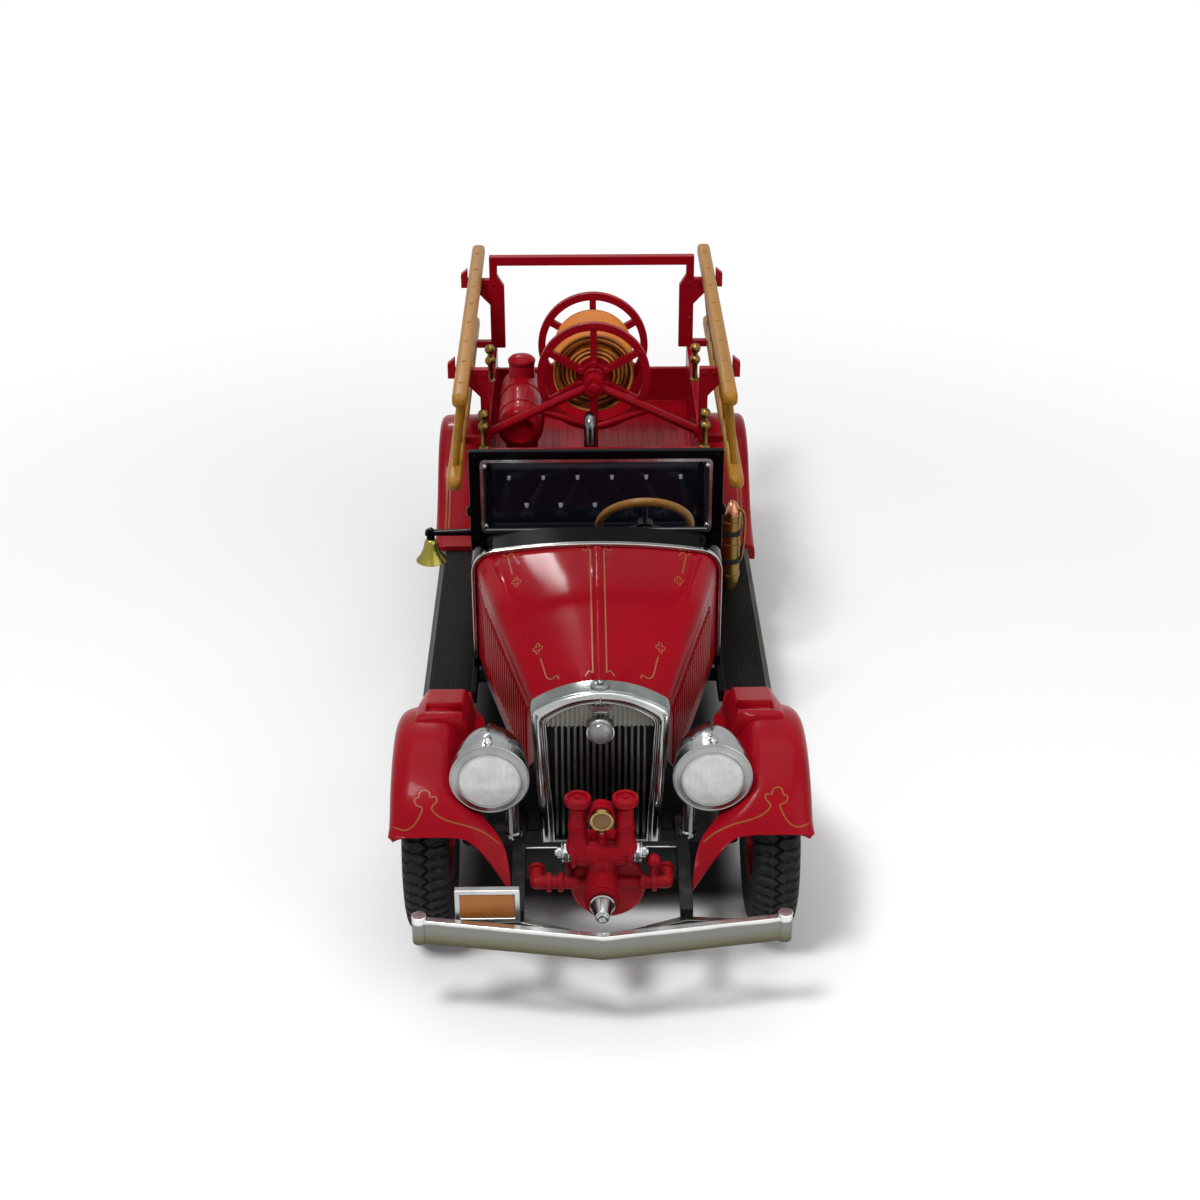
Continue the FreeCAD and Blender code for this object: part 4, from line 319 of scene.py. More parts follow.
def across(axis: Array) -> tuple[Array, Array]:
    """Two directions square to an axis and to each other.

    Args:
        axis: The axis, of length one.

    Returns:
        The two directions.
    """
    guide = np.array([0.0, 0.0, 1.0]) if abs(axis[2]) < 0.9 else np.array([0.0, 1.0, 0.0])
    u = unit(np.cross(guide, axis))
    return u, np.cross(axis, u)


def placed(outline: Points, along: Along, value: float) -> Array:
    """A flat outline set square to a direction, at one distance along it."""
    return np.insert(np.asarray(outline, float), along.spot, value, axis=1)


def lengthwise(x: float, start: float, end: float, z: float, count: int = 6) -> Array:
    """Straight line along the vehicle, between two distances behind the front axle."""
    return np.linspace([x, behind(start), z], [x, behind(end), z], count)


def circle(middle: Sequence[float], radius: float, angles: Array, along: Along) -> Array:
    """Places round a middle, square to a direction: middle + radius (cos a, sin a)."""
    flat = radius * np.stack([np.cos(angles), np.sin(angles)], 1)
    return placed(flat, along, 0) + np.asarray(middle, float)


def full_turn(count: int) -> Array:
    """Even angles once round."""
    return np.linspace(0, 2 * np.pi, count, endpoint=False)


def oblong(left: float, right: float, low: float, high: float) -> Points:
    """Corners of an oblong, in order round it."""
    return [(left, low), (right, low), (right, high), (left, high)]


def rounded_box(width: float, height: float, corner: float, steps: int = 5) -> Array:
    """Outline of an oblong with round corners about the origin: four quarter circles.

    Args:
        width: Its width.
        height: Its height.
        corner: Radius of the corners.
        steps: Places on each corner.

    Returns:
        The places round it.
    """
    a = np.linspace(0, np.pi / 2, steps)
    turns = np.concatenate([a + k * np.pi / 2 for k in range(4)])
    sx = np.repeat([1, -1, -1, 1], steps) * (width / 2 - corner)
    sz = np.repeat([1, 1, -1, -1], steps) * (height / 2 - corner)
    return np.stack([sx + corner * np.cos(turns), sz + corner * np.sin(turns)], 1)


def in_scene(name: str, data: bpy.types.ID) -> bpy.types.Object:
    """Adds an object to the scene.

    Args:
        name: The object's name.
        data: Its mesh, lamp or camera.

    Returns:
        The object.
    """
    item = bpy.data.objects.new(name, data)
    bpy.context.scene.collection.objects.link(item)
    return item


def laid_on(path: Array, node: str, direction: Sequence[float]) -> tuple[Array, Array]:
    """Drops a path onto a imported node.

    A line of points beside the path is dropped too, and each normal is the step along the path
    crossed with the step to that line. The points fall along the path object's own Z, so it is
    turned to stand against the fall and they are written in its axes.

    Args:
        path: Places above the node.
        node: The node that they fall on.
        direction: The way that they fall.

    Returns:
        Places on the node and the surface's direction at each.
    """
    fall = unit(np.asarray(direction, float))
    side = unit(np.cross(np.gradient(path, axis=0), fall)) * BESIDE
    both = np.concatenate([path, path + side]) - fall * FALL_FROM
    turn = Vector(-fall).to_track_quat("Z", "Y")
    local = np.array(turn.inverted().to_matrix())
    mesh = bpy.data.meshes.new("path_on_node")
    mesh.from_pydata(((both * MM) @ local.T).tolist(), [], [])
    item = in_scene("path_on_node", mesh)
    item.rotation_mode = "QUATERNION"
    item.rotation_quaternion = turn
    wrap = item.modifiers.new("fall", "SHRINKWRAP")
    wrap.target = frame["nodes"][node]
    wrap.wrap_method = "PROJECT"
    wrap.use_project_z = True
    wrap.use_negative_direction = True
    wrap.use_positive_direction = False
    bpy.context.view_layer.update()
    done = item.evaluated_get(bpy.context.evaluated_depsgraph_get())
    spots = np.empty(len(both) * 3)
    done.data.vertices.foreach_get("co", spots)
    fallen = (spots.reshape(-1, 3) @ np.linalg.inv(local).T) / MM
    bpy.data.objects.remove(item)
    bpy.data.meshes.remove(mesh)
    on, beside = fallen[:len(path)], fallen[len(path):]
    normal = unit(np.cross(np.gradient(on, axis=0), beside - on))
    return on, normal * np.where((normal @ fall) > 0, -1.0, 1.0)[:, None]


# Shader arithmetic


class Signal:
    """A shader socket that takes part in sums: each operation adds its Math node."""

    def __init__(self, shader: "Shader", socket: bpy.types.NodeSocket) -> None:
        """Wraps a socket of a shader's nodes."""
        self.shader = shader
        self.socket = socket

    def __add__(self, other: "Signal | float") -> "Signal":
        """The sum."""
        return self.shader.maths("ADD", self, other)

    def __sub__(self, other: "Signal | float") -> "Signal":
        """The difference."""
        return self.shader.maths("SUBTRACT", self, other)

    def __rsub__(self, other: "Signal | float") -> "Signal":
        """The difference from a number."""
        return self.shader.maths("SUBTRACT", other, self)

    def __mul__(self, other: "Signal | float") -> "Signal":
        """The product."""
        return self.shader.maths("MULTIPLY", self, other)

    def __abs__(self) -> "Signal":
        """The size without its sign."""
        return self.shader.maths("ABSOLUTE", self)

    def rise(self, low: float, high: float) -> "Signal":
        """Smooth rise from 0 at low to 1 at high."""
        return self.shader.signal("ShaderNodeMapRange", {"interpolation_type": "SMOOTHSTEP"},
                                  {"Value": self, "From Min": low, "From Max": high}, "Result")


class Shader:
    """The nodes of one material or of the world."""

    def __init__(self, owner: bpy.types.Material | bpy.types.World) -> None:
        """Starts with no nodes.

        Args:
            owner: What the nodes belong to.
        """
        owner.use_nodes = True
        self.owner = owner
        self.tree = owner.node_tree
        self.tree.nodes.clear()

    def plug(self, socket: bpy.types.NodeSocket, value: Any) -> None:
        """Links a signal to a socket, or sets the socket to a plain value.

        Args:
            socket: The socket.
            value: A signal or a plain value.
        """
        if isinstance(value, Signal):
            self.tree.links.new(value.socket, socket)
        else:
            socket.default_value = value

    def node(self, kind: str, settings: dict[str, Any] | None = None,
             inputs: dict[str | int, Any] | None = None) -> bpy.types.Node:
        """Adds one node.

        Args:
            kind: The node's type.
            settings: Its own settings, which are set first.
            inputs: Values or links of its sockets.

        Returns:
            The node.
        """
        made = self.tree.nodes.new(kind)
        for key, value in (settings or {}).items():
            setattr(made, key, value)
        for key, value in (inputs or {}).items():
            self.plug(made.inputs[key], value)
        return made

    def signal(self, kind: str, settings: dict[str, Any] | None = None,
               inputs: dict[str | int, Any] | None = None, output: str | int = 0) -> Signal:
        """Adds one node for one of its outputs.

        Args:
            kind: The node's type.
            settings: Its own settings, which are set first.
            inputs: Values or links of its sockets.
            output: Name or number of the output.

        Returns:
            The output.
        """
        return Signal(self, self.node(kind, settings, inputs).outputs[output])

    def maths(self, operation: str, *values: "Signal | float") -> Signal:
        """Adds a Math node on one or two values."""
        return self.signal("ShaderNodeMath", {"operation": operation}, dict(enumerate(values)))

    def length(self, vector: Signal) -> Signal:
        """Length of a vector."""
        return self.signal("ShaderNodeVectorMath", {"operation": "LENGTH"}, {0: vector}, "Value")

    def where(self) -> Signal:
        """The place on the object, in metres."""
        return self.signal("ShaderNodeTexCoord", output="Object")

    def axes(self) -> tuple[Signal, Signal, Signal]:
        """The place's three distances, in millimetres."""
        split = self.node("ShaderNodeSeparateXYZ", None, {0: self.where()})
        return tuple(Signal(self, output) * (1 / MM) for output in split.outputs)

    def noise(self, size: float, detail: float, stretch: Sequence[float] = (1, 1, 1),
              rough: float = 0.55) -> Signal:
        """Soft cloud of values about a half.

        Args:
            size: How large its patches are, in millimetres.
            detail: How many finer layers it has.
            stretch: How much longer the patches are along each axis.
            rough: How strong the finer layers are.

        Returns:
            The value.
        """
        scaled = self.signal("ShaderNodeMapping", None,
                             {"Vector": self.where(), "Scale": tuple(1 / s for s in stretch)})
        return self.signal("ShaderNodeTexNoise", None,
                           {"Vector": scaled, "Scale": 1 / (size * MM), "Detail": detail,
                            "Roughness": rough})

    def mix(self, share: "Signal | float", first: Any, second: Any) -> Signal:
        """Colour between two colours."""
        return self.signal("ShaderNodeMix", {"data_type": "RGBA"},
                           {0: share, 6: first, 7: second}, 2)

    def bump(self, height: Signal, depth: float, strength: float) -> Signal:
        """Surface direction from a height.

        Args:
            height: Height from 0 to 1.
            depth: How deep it is, in millimetres.
            strength: How much of it counts.

        Returns:
            The direction.
        """
        return self.signal("ShaderNodeBump", None,
                           {"Height": height, "Distance": depth * MM, "Strength": strength})

    def surface(self, **inputs: Any) -> bpy.types.Material:
        """Ends the material with its main shader.

        Args:
            **inputs: Socket values, with the sockets' names in lower case and underscores.

        Returns:
            The material.
        """
        made = self.node("ShaderNodeBsdfPrincipled")
        names = {socket.name.lower().replace(" ", "_"): socket for socket in made.inputs}
        for key, value in inputs.items():
            self.plug(names[key], value)
        self.node("ShaderNodeOutputMaterial", None, {"Surface": Signal(self, made.outputs[0])})
        return self.owner


Colour = tuple[float, float, float, float]


def tint(red: int, green: int, blue: int) -> Colour:
    """Scene colour of a colour as it is seen.

    Args:
        red: Red from 0 to 255.
        green: Green from 0 to 255.
        blue: Blue from 0 to 255.

    Returns:
        The colour without the screen's curve.
    """
    parts = [c / 255 for c in (red, green, blue)]
    linear = [c / 12.92 if c <= 0.04045 else ((c + 0.055) / 1.055) ** 2.4 for c in parts]
    return (*linear, 1.0)


def shade(colour: Colour, by: float) -> Colour:
    """The same colour, lighter or darker."""
    return (colour[0] * by, colour[1] * by, colour[2] * by, 1.0)


# Finishes


@dataclass(frozen=True)
class Finish:
    """What every finish has: its name, its record slot and its colour."""

    name: str
    slot: str
    colour: Colour

    def build(self, shader: Shader) -> bpy.types.Material:
        """Makes the material on an empty shader."""
        raise NotImplementedError

    @property
    def material(self) -> bpy.types.Material:
        """The finish's material, made once."""
        found = bpy.data.materials.get(self.name)
        return found or self.build(Shader(bpy.data.materials.new(self.name)))


@dataclass(frozen=True)
class GlossPaint(Finish):
    """Thick model paint: even colour, faint orange peel, fine specks and a clear coat."""

    roughness: float = 0.3
    coat: float = 0.3
    specular: float = 0.16
    dust: float = 0.1
    inside: float = 0.0
    inside_top: float = 0.0
    coat_fade: tuple[float, float] = (-200.0, -190.0)

    def build(self, shader: Shader) -> bpy.types.Material:
        """Makes the paint.

        Within the half width inside, and below inside_top, it is near black, as painted shade on
        the cab's inner walls. The clear coat fades out towards the front between the two places of
        coat_fade.

        Args:
            shader: The empty shader.

        Returns:
            The material.
        """
        cloud = shader.noise(14, 4)
        specks = shader.noise(0.5, 2).rise(0.68, 0.76)
        peel = shader.noise(0.9, 2)
        x, y, z = shader.axes()
        low = 1 - z.rise(6, 24)
        worn_with_inside_shade = shader.mix(cloud.rise(0.3, 0.75), shade(self.colour, 0.88), shade(self.colour, 1.1))
        if self.inside:
            # painted shade: the cab's inner walls are drawn near black
            within = (1 - abs(x).rise(self.inside, self.inside + 0.06)) * (
                1 - z.rise(self.inside_top, self.inside_top + 0.2))
            worn_with_inside_shade = shader.mix(within, worn_with_inside_shade, tint(16, 16, 19))
        dusty_with_inside_shade = shader.mix(low * self.dust + specks * (self.dust * 0.6), worn_with_inside_shade, tint(120, 98, 90))
        return shader.surface(base_color=dusty_with_inside_shade, roughness=cloud * 0.14 + (self.roughness - 0.07),
                              specular_ior_level=self.specular,
                              coat_weight=(self.coat - low * 0.1) * (
                                  y.rise(*self.coat_fade) * 0.9 + 0.1),
                              coat_ior=1.3, coat_roughness=0.09,
                              normal=shader.bump(peel, 0.02, 0.25))


@dataclass(frozen=True)
class Plating(Finish):
    """Plated or polished metal: cloudy shine, fine pits, a darker tone where it dulls, and painted
    reflections on turned faces and in bands.
    """

    roughness: float = 0.17
    dull: float = 0.6
    # shade of the painted dark reflection where a face turns away from the eye
    rim: float = 0.3
    # painted reflection: bands of tone by height
    bands: tuple[tuple[float, float, Colour], ...] = ()

    def build(self, shader: Shader) -> bpy.types.Material:
        """Makes the plating.

        Each band is a painted reflection: the two heights between which the tone goes over to its
        colour.

        Args:
            shader: The empty shader.

        Returns:
            The material.
        """
        cloud = shader.noise(5, 4)
        pits = shader.noise(0.35, 2).rise(0.62, 0.8)
        streak = shader.noise(1.6, 3, (1, 1, 3))
        tone = shader.mix(cloud.rise(0.35, 0.75), self.colour, shade(self.colour, self.dull))
        # painted reflection: the tone changes with height in bands
        if self.bands:
            height = shader.axes()[2] + (cloud - 0.5) * 0.5
            for low, high, colour in self.bands:
                tone = shader.mix(height.rise(low, high), tone, colour)
        # painted dark reflection: faces turned away from the eye go over to the rim's shade
        facing = shader.signal("ShaderNodeLayerWeight", None, {"Blend": 0.4}, "Facing")
        turned = facing.rise(0.25, 0.9)
        pitted_with_painted_reflection = shader.mix(turned * 0.85 + pits * 0.15, tone, shade(self.colour, self.rim))
        return shader.surface(base_color=pitted_with_painted_reflection, metallic=1.0,
                              roughness=streak * 0.16 + pits * 0.1 + (self.roughness - 0.06),
                              normal=shader.bump(streak, 0.02, 0.2))


@dataclass(frozen=True)
class MattMoulding(Finish):
    """Moulded plastic or rubber: fine grain, soft mottling and pale dust."""

    roughness: float = 0.55
    grain: float = 0.25
    dust: float = 0.2
    specular: float = 0.35
    coat: float = 0.0

    def build(self, shader: Shader) -> bpy.types.Material:
        """Makes the moulding.

        Args:
            shader: The empty shader.

        Returns:
            The material.
        """
        cloud = shader.noise(7, 4)
        grain = shader.noise(self.grain, 2)
        dust = shader.noise(2.2, 4).rise(0.5, 0.72) * self.dust
        toned = shader.mix(cloud, shade(self.colour, 0.8), shade(self.colour, 1.25))
        return shader.surface(base_color=shader.mix(dust, toned, tint(126, 120, 108)),
                              roughness=grain * 0.12 + dust * 0.3 + (self.roughness - 0.06),
                              specular_ior_level=self.specular, coat_weight=self.coat,
                              coat_roughness=0.15, normal=shader.bump(grain, 0.04, 0.4))


@dataclass(frozen=True)
class WheelRim(Finish):
    """Steering wheel moulding: its colour on the rim and black on hub and spokes."""

    centre: tuple[float, float, float]
    rake: float
    inner: float = 6.2

    @property
    def axis(self) -> tuple[float, float, float]:
        """Direction of the wheel's axis, which leans back by the rake in degrees."""
        return (0.0, math.cos(math.radians(self.rake)), math.sin(math.radians(self.rake)))

    def build(self, shader: Shader) -> bpy.types.Material:
        """Makes the moulding.

        The distance from the wheel's axis is the length of the cross product of the axis with the
        step from the centre.

        Args:
            shader: The empty shader.

        Returns:
            The material.
        """
        middle = tuple(c * MM for c in self.centre)
        away = shader.signal("ShaderNodeVectorMath", {"operation": "SUBTRACT"},
                             {0: shader.where(), 1: middle})
        turned = shader.signal("ShaderNodeVectorMath", {"operation": "CROSS_PRODUCT"},
                               {0: away, 1: self.axis})
        rim = (shader.length(turned) * (1 / MM)).rise(self.inner - 0.1, self.inner)
        grain = shader.noise(0.4, 2)
        toned = shader.mix(grain.rise(0.3, 0.7), shade(self.colour, 0.86), shade(self.colour, 1.1))
        return shader.surface(base_color=shader.mix(rim, tint(20, 19, 18), toned),
                              roughness=grain * 0.12 + 0.3, specular_ior_level=0.4, coat_weight=0.2,
                              coat_roughness=0.15, normal=shader.bump(grain, 0.03, 0.3))


@dataclass(frozen=True)
class LadderWood(Finish):
    """Varnished ochre wood: grain that runs along the rails, pores and a soft sheen."""

    def build(self, shader: Shader) -> bpy.types.Material:
        """Makes the wood.

        Args:
            shader: The empty shader.

        Returns:
            The material.
        """
        grain = shader.noise(0.7, 4, (1, 22, 1.4), 0.6)
        pores = shader.noise(0.22, 2, (1, 14, 1)).rise(0.58, 0.74)
        patch = shader.noise(12, 3)
        wood = shader.mix(grain.rise(0.32, 0.68), shade(self.colour, 0.82),
                          shade(self.colour, 1.08))
        aged = shader.mix(pores * 0.18 + patch * 0.15, wood, shade(self.colour, 0.4))
        return shader.surface(base_color=aged, roughness=grain * 0.2 + 0.34,
                              specular_ior_level=0.15, coat_weight=0.06, coat_roughness=0.2,
                              normal=shader.bump(grain - pores * 0.5, 0.05, 0.35))


@dataclass(frozen=True)
class HoseCanvas(Finish):
    """Woven orange hose: small ribs across it, with painted shade in the grooves between the turns.
    """

    def build(self, shader: Shader) -> bpy.types.Material:
        """Makes the canvas.

        Args:
            shader: The empty shader.

        Returns:
            The material.
        """
        weave = shader.noise(0.28, 2)
        patch = shader.noise(3.5, 3)
        groove = shader.signal("ShaderNodeAttribute", {"attribute_name": "groove"}, output="Fac")
        cloth = shader.mix(patch, shade(self.colour, 0.78), shade(self.colour, 1.15))
        # painted shade: the grooves between the turns go nearly black
        deep = shader.mix(groove.rise(0.1, 0.9), cloth, shade(self.colour, 0.16))
        return shader.surface(base_color=deep, roughness=weave * 0.2 + 0.5, specular_ior_level=0.3,
                              normal=shader.bump(weave, 0.06, 0.5))


@dataclass(frozen=True)
class ClearPane(Finish):
    """Clear pane: almost all light goes through, with faint smears."""

    clear: float = 0.1

    def build(self, shader: Shader) -> bpy.types.Material:
        """Makes the pane.

        Args:
            shader: The empty shader.

        Returns:
            The material.
        """
        smear = shader.noise(6, 4, (1, 1, 2))
        return shader.surface(base_color=self.colour, alpha=smear * 0.06 + self.clear,
                              roughness=smear * 0.1 + 0.03, specular_ior_level=0.25,
                              normal=shader.bump(smear, 0.01, 0.1))


@dataclass(frozen=True)
class FrostedLens(Finish):
    """Pale pressed glass: milky, in lighter and darker soft patches, with faint specks."""

    def build(self, shader: Shader) -> bpy.types.Material:
        """Makes the lens.

        Args:
            shader: The empty shader.

        Returns:
            The material.
        """
        milk = shader.noise(1.6, 3)
        speck = shader.noise(0.4, 2).rise(0.62, 0.75)
        tone = shader.mix(milk.rise(0.3, 0.7), shade(self.colour, 0.82), self.colour)
        return shader.surface(base_color=shader.mix(speck * 0.2, tone, shade(self.colour, 0.6)),
                              roughness=milk * 0.15 + 0.12, specular_ior_level=0.6,
                              coat_weight=0.5, coat_roughness=0.05,
                              normal=shader.bump(milk, 0.03, 0.3))


FIRE_RED = tint(142, 9, 24)
RED = GlossPaint("engine_red", "red_paint", FIRE_RED, 0.3, 0.14, 0.035)
BONNET_RED = GlossPaint("bonnet_red", "red_paint", FIRE_RED, 0.3, 0.3, 0.008,
                        coat_fade=(-33.0, -25.0))
# the cab's paint, drawn near black inside as painted shade
CAB_RED = GlossPaint("cab_red", "red_paint", FIRE_RED, 0.3, 0.14, 0.035, inside=18.25,
                     inside_top=35.9)
BLACK = GlossPaint("gloss_black", "black_paint", tint(4, 4, 6), 0.16, 0.08, 0.015, 0.01)
SATIN = MattMoulding("satin_black_frame", "black_chassis", tint(22, 22, 23), 0.48, 0.3, 0.08, 0.15)
CHROME = Plating("bright_plating", "chrome", tint(172, 174, 175), 0.15, 0.6, 0.12)
# a darker copy of the chrome: painted dark reflection on the radiator shell and the lamp posts
SHELL_PAINTED_REFLECTION = Plating("shell_plating", "chrome", tint(134, 139, 137), 0.2, 0.6, 0.14)
# bumper chrome with painted reflections: its bands make the top edge bright, the middle grey and
# the lower part darker
BUMPER = Plating("bumper_plating", "chrome", tint(84, 80, 62), 0.2, 0.75, 0.3, (
    (11.5, 12.6, tint(114, 111, 93)), (12.3, 13.7, tint(126, 128, 122)),
    (14.35, 14.75, tint(226, 228, 226))))
HEADER = MattMoulding("header_plate", "chrome", tint(150, 147, 138), 0.38, 0.3, 0.05, 0.5, 0.2)
GAUGE_RING = Plating("gauge_ring", "brass", tint(164, 136, 92), 0.26, 0.6, 0.2)
# a lighter copy of the chrome: painted highlight on the shell's mouldings, the cowl bead and the
# small lamp's rim
ROLL_PAINTED_HIGHLIGHT = Plating("roll_plating", "chrome", tint(186, 188, 185), 0.14, 0.75, 0.1)
BAR = Plating("bar_plating", "chrome", tint(112, 112, 112), 0.3, 0.6, 0.2)
GREY_PIPE = Plating("polished_grey", "grey_metal", tint(112, 112, 114), 0.2, 0.6)
BRASS = Plating("polished_brass", "brass", tint(142, 132, 62), 0.24, 0.55, 0.22)
DULL_BRASS = Plating("dull_brass", "brass", tint(134, 108, 56), 0.34, 0.6, 0.25)
COPPER = Plating("polished_copper", "brass", tint(176, 120, 92), 0.22, 0.6, 0.3)
TYRE = MattMoulding("tyre_black", "tyre", tint(17, 18, 18), 0.6, 0.3, 0.05, 0.2)
BOARD = MattMoulding("ribbed_board", "board_rubber", tint(17, 17, 14), 0.5, 0.3, 0.01, 0.04)
BOARD_EDGE = MattMoulding("board_edge", "board_rubber", tint(62, 63, 58), 0.45, 0.3, 0.03, 0.12)
SEAT = MattMoulding("buttoned_navy", "seat_plastic", tint(7, 9, 17), 0.3, 0.35, 0.01, 0.08, 0.05)
# near-white buttons: a painted highlight on each button of the dark seat
BUTTON_PAINTED_HIGHLIGHT = MattMoulding("seat_button", "seat_plastic", tint(206, 212, 226), 0.3, 0.3, 0.02, 0.5, 0.3)
TAN = WheelRim("tan_moulding", "tan_plastic", tint(178, 122, 36), (7.5, behind(54.0), 32.4), 35.0)
WOOD = LadderWood("ochre_wood", "ladder_wood", tint(158, 108, 30))
HOSE = HoseCanvas("orange_hose", "hose", tint(214, 128, 52))
PANE = ClearPane("clear_pane", "clear_glass", (0.004, 0.006, 0.012, 1.0), 0.24)
LENS = FrostedLens("frosted_lens", "frosted_glass", tint(214, 218, 216))
LAMP_GLASS = FrostedLens("lamp_glass", "frosted_glass", tint(118, 121, 118))
BEZEL = Plating("dull_bezel", "chrome", tint(168, 170, 168), 0.34, 0.7, 0.3)
SILVER = Plating("silver_border", "silver_plate", tint(206, 206, 206), 0.3, 0.7, 0.4)
PLATE_FIELD = MattMoulding("plate_orange", "silver_plate", tint(164, 100, 44), 0.45, 0.3, 0.05)
GOLD_LINE = MattMoulding("gold_line", "brass", tint(136, 74, 30), 0.35, 0.3, 0.05, 0.2, 0.05)
# light edges of the louvres: painted highlights
LOUVRE_HIGHLIGHT = MattMoulding("louvre_edge", "red_paint", tint(146, 84, 70), 0.35, 0.3, 0.05, 0.4, 0.1)
GAUGE_FACE = MattMoulding("gauge_face", "brass", tint(120, 84, 42), 0.4, 0.3, 0.1)


# Pieces

SAME_POINT = 0.0002  # millimetres between points that are merged
FLAT_WITHIN = 0.6  # degrees between faces that become one
CASTING_SHARP = 30.0  # degrees past which a casting's edge stays sharp
ROUNDED_FROM = 38.0  # degrees past which an edge is rounded


def tidy(mesh: bpy.types.Mesh, sharp: float, flat: bool = False) -> None:
    """Merges a mesh's doubled points, turns its faces outwards and smooths it.

    Args:
        mesh: The mesh to mend.
        sharp: Angle in degrees past which an edge stays sharp.
        flat: Whether faces that lie in one plane become one.
    """
    work = bmesh.new()
    work.from_mesh(mesh)
    bmesh.ops.remove_doubles(work, verts=work.verts, dist=SAME_POINT * MM)
    if flat:
        bmesh.ops.dissolve_limit(work, angle_limit=math.radians(FLAT_WITHIN), verts=work.verts,
                                 edges=work.edges)
    bmesh.ops.recalc_face_normals(work, faces=work.faces)
    work.to_mesh(mesh)
    work.free()
    mesh.polygons.foreach_set("use_smooth", np.ones(len(mesh.polygons), bool))
    mesh.set_sharp_from_angle(angle=math.radians(sharp))
    mesh.update()


def add_piece(name: str, form: Form, finish: Finish, body: str = Body.VEHICLE.value,
              replaces: Sequence[str] = (), sharp: float = 35,
              bevel: float = 0.0) -> bpy.types.Object:
    """Makes a form into a piece of the model.

    Args:
        name: The piece's name.
        form: Its points and faces, in millimetres.
        finish: Its finish.
        body: The body that it rides on.
        replaces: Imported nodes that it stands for.
        sharp: Angle in degrees past which an edge stays sharp.
        bevel: How far its edges are rounded.

    Returns:
        The piece.
    """
    mesh = bpy.data.meshes.new(name)
    mesh.from_pydata((np.concatenate(form.points) * MM).tolist(), [], form.faces)
    tidy(mesh, sharp)
    mesh.materials.append(finish.material)
    piece = in_scene(name, mesh)
    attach(piece, body)
    if replaces:
        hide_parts(*replaces)
    if bevel:
        round_edges(piece, bevel)
    LOG.info("%s: %d faces on %s", name, len(mesh.polygons), body)
    return piece


def round_edges(piece: bpy.types.Object, width: float) -> None:
    """Rounds a piece's sharp edges.

    Args:
        piece: The piece.
        width: How far the edges are rounded, in millimetres.
    """
    rounding = piece.modifiers.new("edges", "BEVEL")
    rounding.width = width * MM
    rounding.segments = 2
    rounding.limit_method = "ANGLE"
    rounding.angle_limit = math.radians(ROUNDED_FROM)
    rounding.use_clamp_overlap = True
    rounding.harden_normals = True


@dataclass(frozen=True)
class Casting:
    """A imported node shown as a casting: the same form, its seams merged and its edges rounded."""

    node: str
    finish: Finish
    edge: float

    def build(self) -> None:
        """Makes the casting and hides the node that it stands for."""
        source = frame["nodes"][self.node]
        mesh = source.data.copy()
        mesh.name = self.node + "_cast"
        mesh.materials.clear()
        tidy(mesh, CASTING_SHARP, flat=True)
        mesh.materials.append(self.finish.material)
        piece = in_scene(self.node + "_cast", mesh)
        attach(piece, source["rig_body"])
        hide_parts(self.node)
        if self.edge:
            round_edges(piece, self.edge)
        LOG.info("%s: casting of %d faces", piece.name, len(mesh.polygons))


@dataclass(frozen=True)
class Castings:
    """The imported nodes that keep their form, as castings or with their finish alone."""

    rounded: tuple[tuple[Finish, float, tuple[str, ...]], ...] = (
        (SATIN, 0.12, ("chassis_frame",)), (SATIN, 0.1, ("front_axle", "rear_axle")),
        (SATIN, 0.05, ("leaf_springs",)), (BUMPER, 0.4, ("front_bumper",)),
        (SILVER, 0.2, ("number_plate",)), (RED, 0.1, ("pump_body",)),
        (CHROME, 0.08, ("pump_caps",)), (SATIN, 0.0, ("radiator_core",)),
        (BAR, 0.08, ("radiator_grille",)), (CHROME, 0.1, ("grille_lamp",)),
        (BONNET_RED, 0.2, ("bonnet",)), (BLACK, 0.2, ("cowl",)),
        (ROLL_PAINTED_HIGHLIGHT, 0.1, ("cowl_bead",)), (BLACK, 0.2, ("windscreen_frame",)),
        (CAB_RED, 0.2, ("cab_body",)), (SATIN, 0.0, ("steering_column",)),
        (CHROME, 0.12, ("headlamps",)), (RED, 0.22, ("rear_body",)), (RED, 0.2, ("rear_step",)),
        (RED, 0.35, ("reel_frame",)), (RED, 0.1, ("reel_stand",)), (RED, 0.15, ("tank",)),
        (RED, 0.32, ("ladder_frames",)),
        (BOARD, 0.15, tuple(f"running_board_{side.word}" for side in Side)),
        (RED, 0.15, tuple(f"{end}_fender_{side.word}" for end in ENDS for side in Side)),
        (RED, 0.08, tuple(f"rim_{end}_{side.word}" for end in ENDS for side in Side)),
        (TAN, 0.0, ("steering_wheel",)), (GREY_PIPE, 0.0, ("feed_pipe",)),
        (DULL_BRASS, 0.1, ("extinguisher",)), (DULL_BRASS, 0.0, ("ladder_keepers",)),
        (GAUGE_RING, 0.1, ("pump_gauge",)), (RED, 0.1, ("pump_handwheels",)))
    plain: tuple[tuple[Finish, str], ...] = ((PANE, "windscreen_glass"),)

    def build(self) -> None:
        """Makes the castings and dresses the nodes that stay as they are."""
        for finish, edge, nodes in self.rounded:
            for node in nodes:
                Casting(node, finish, edge).build()
        for finish, node in self.plain:
            for slot in frame["nodes"][node].material_slots:
                slot.material = finish.material


# Studio


@dataclass(frozen=True)
class Lamp:
    """A soft lamp that points at the model: square, or an oblong that only reflections show."""

    name: str
    place: tuple[float, float, float]
    size: float
    power: float
    height: float = 0.0

    def build(self, target: Vector) -> None:
        """Hangs the lamp and turns it to the target.

        Args:
            target: The place that it points at.
        """
        data = bpy.data.lights.new(self.name, "AREA")
        data.size = self.size
        data.energy = self.power
        lamp = in_scene(self.name, data)
        if self.height:
            data.shape = "RECTANGLE"
            data.size_y = self.height
            lamp.visible_diffuse = False
        lamp.location = self.place
        lamp.rotation_euler = (target - Vector(self.place)).to_track_quat("-Z", "Y").to_euler()


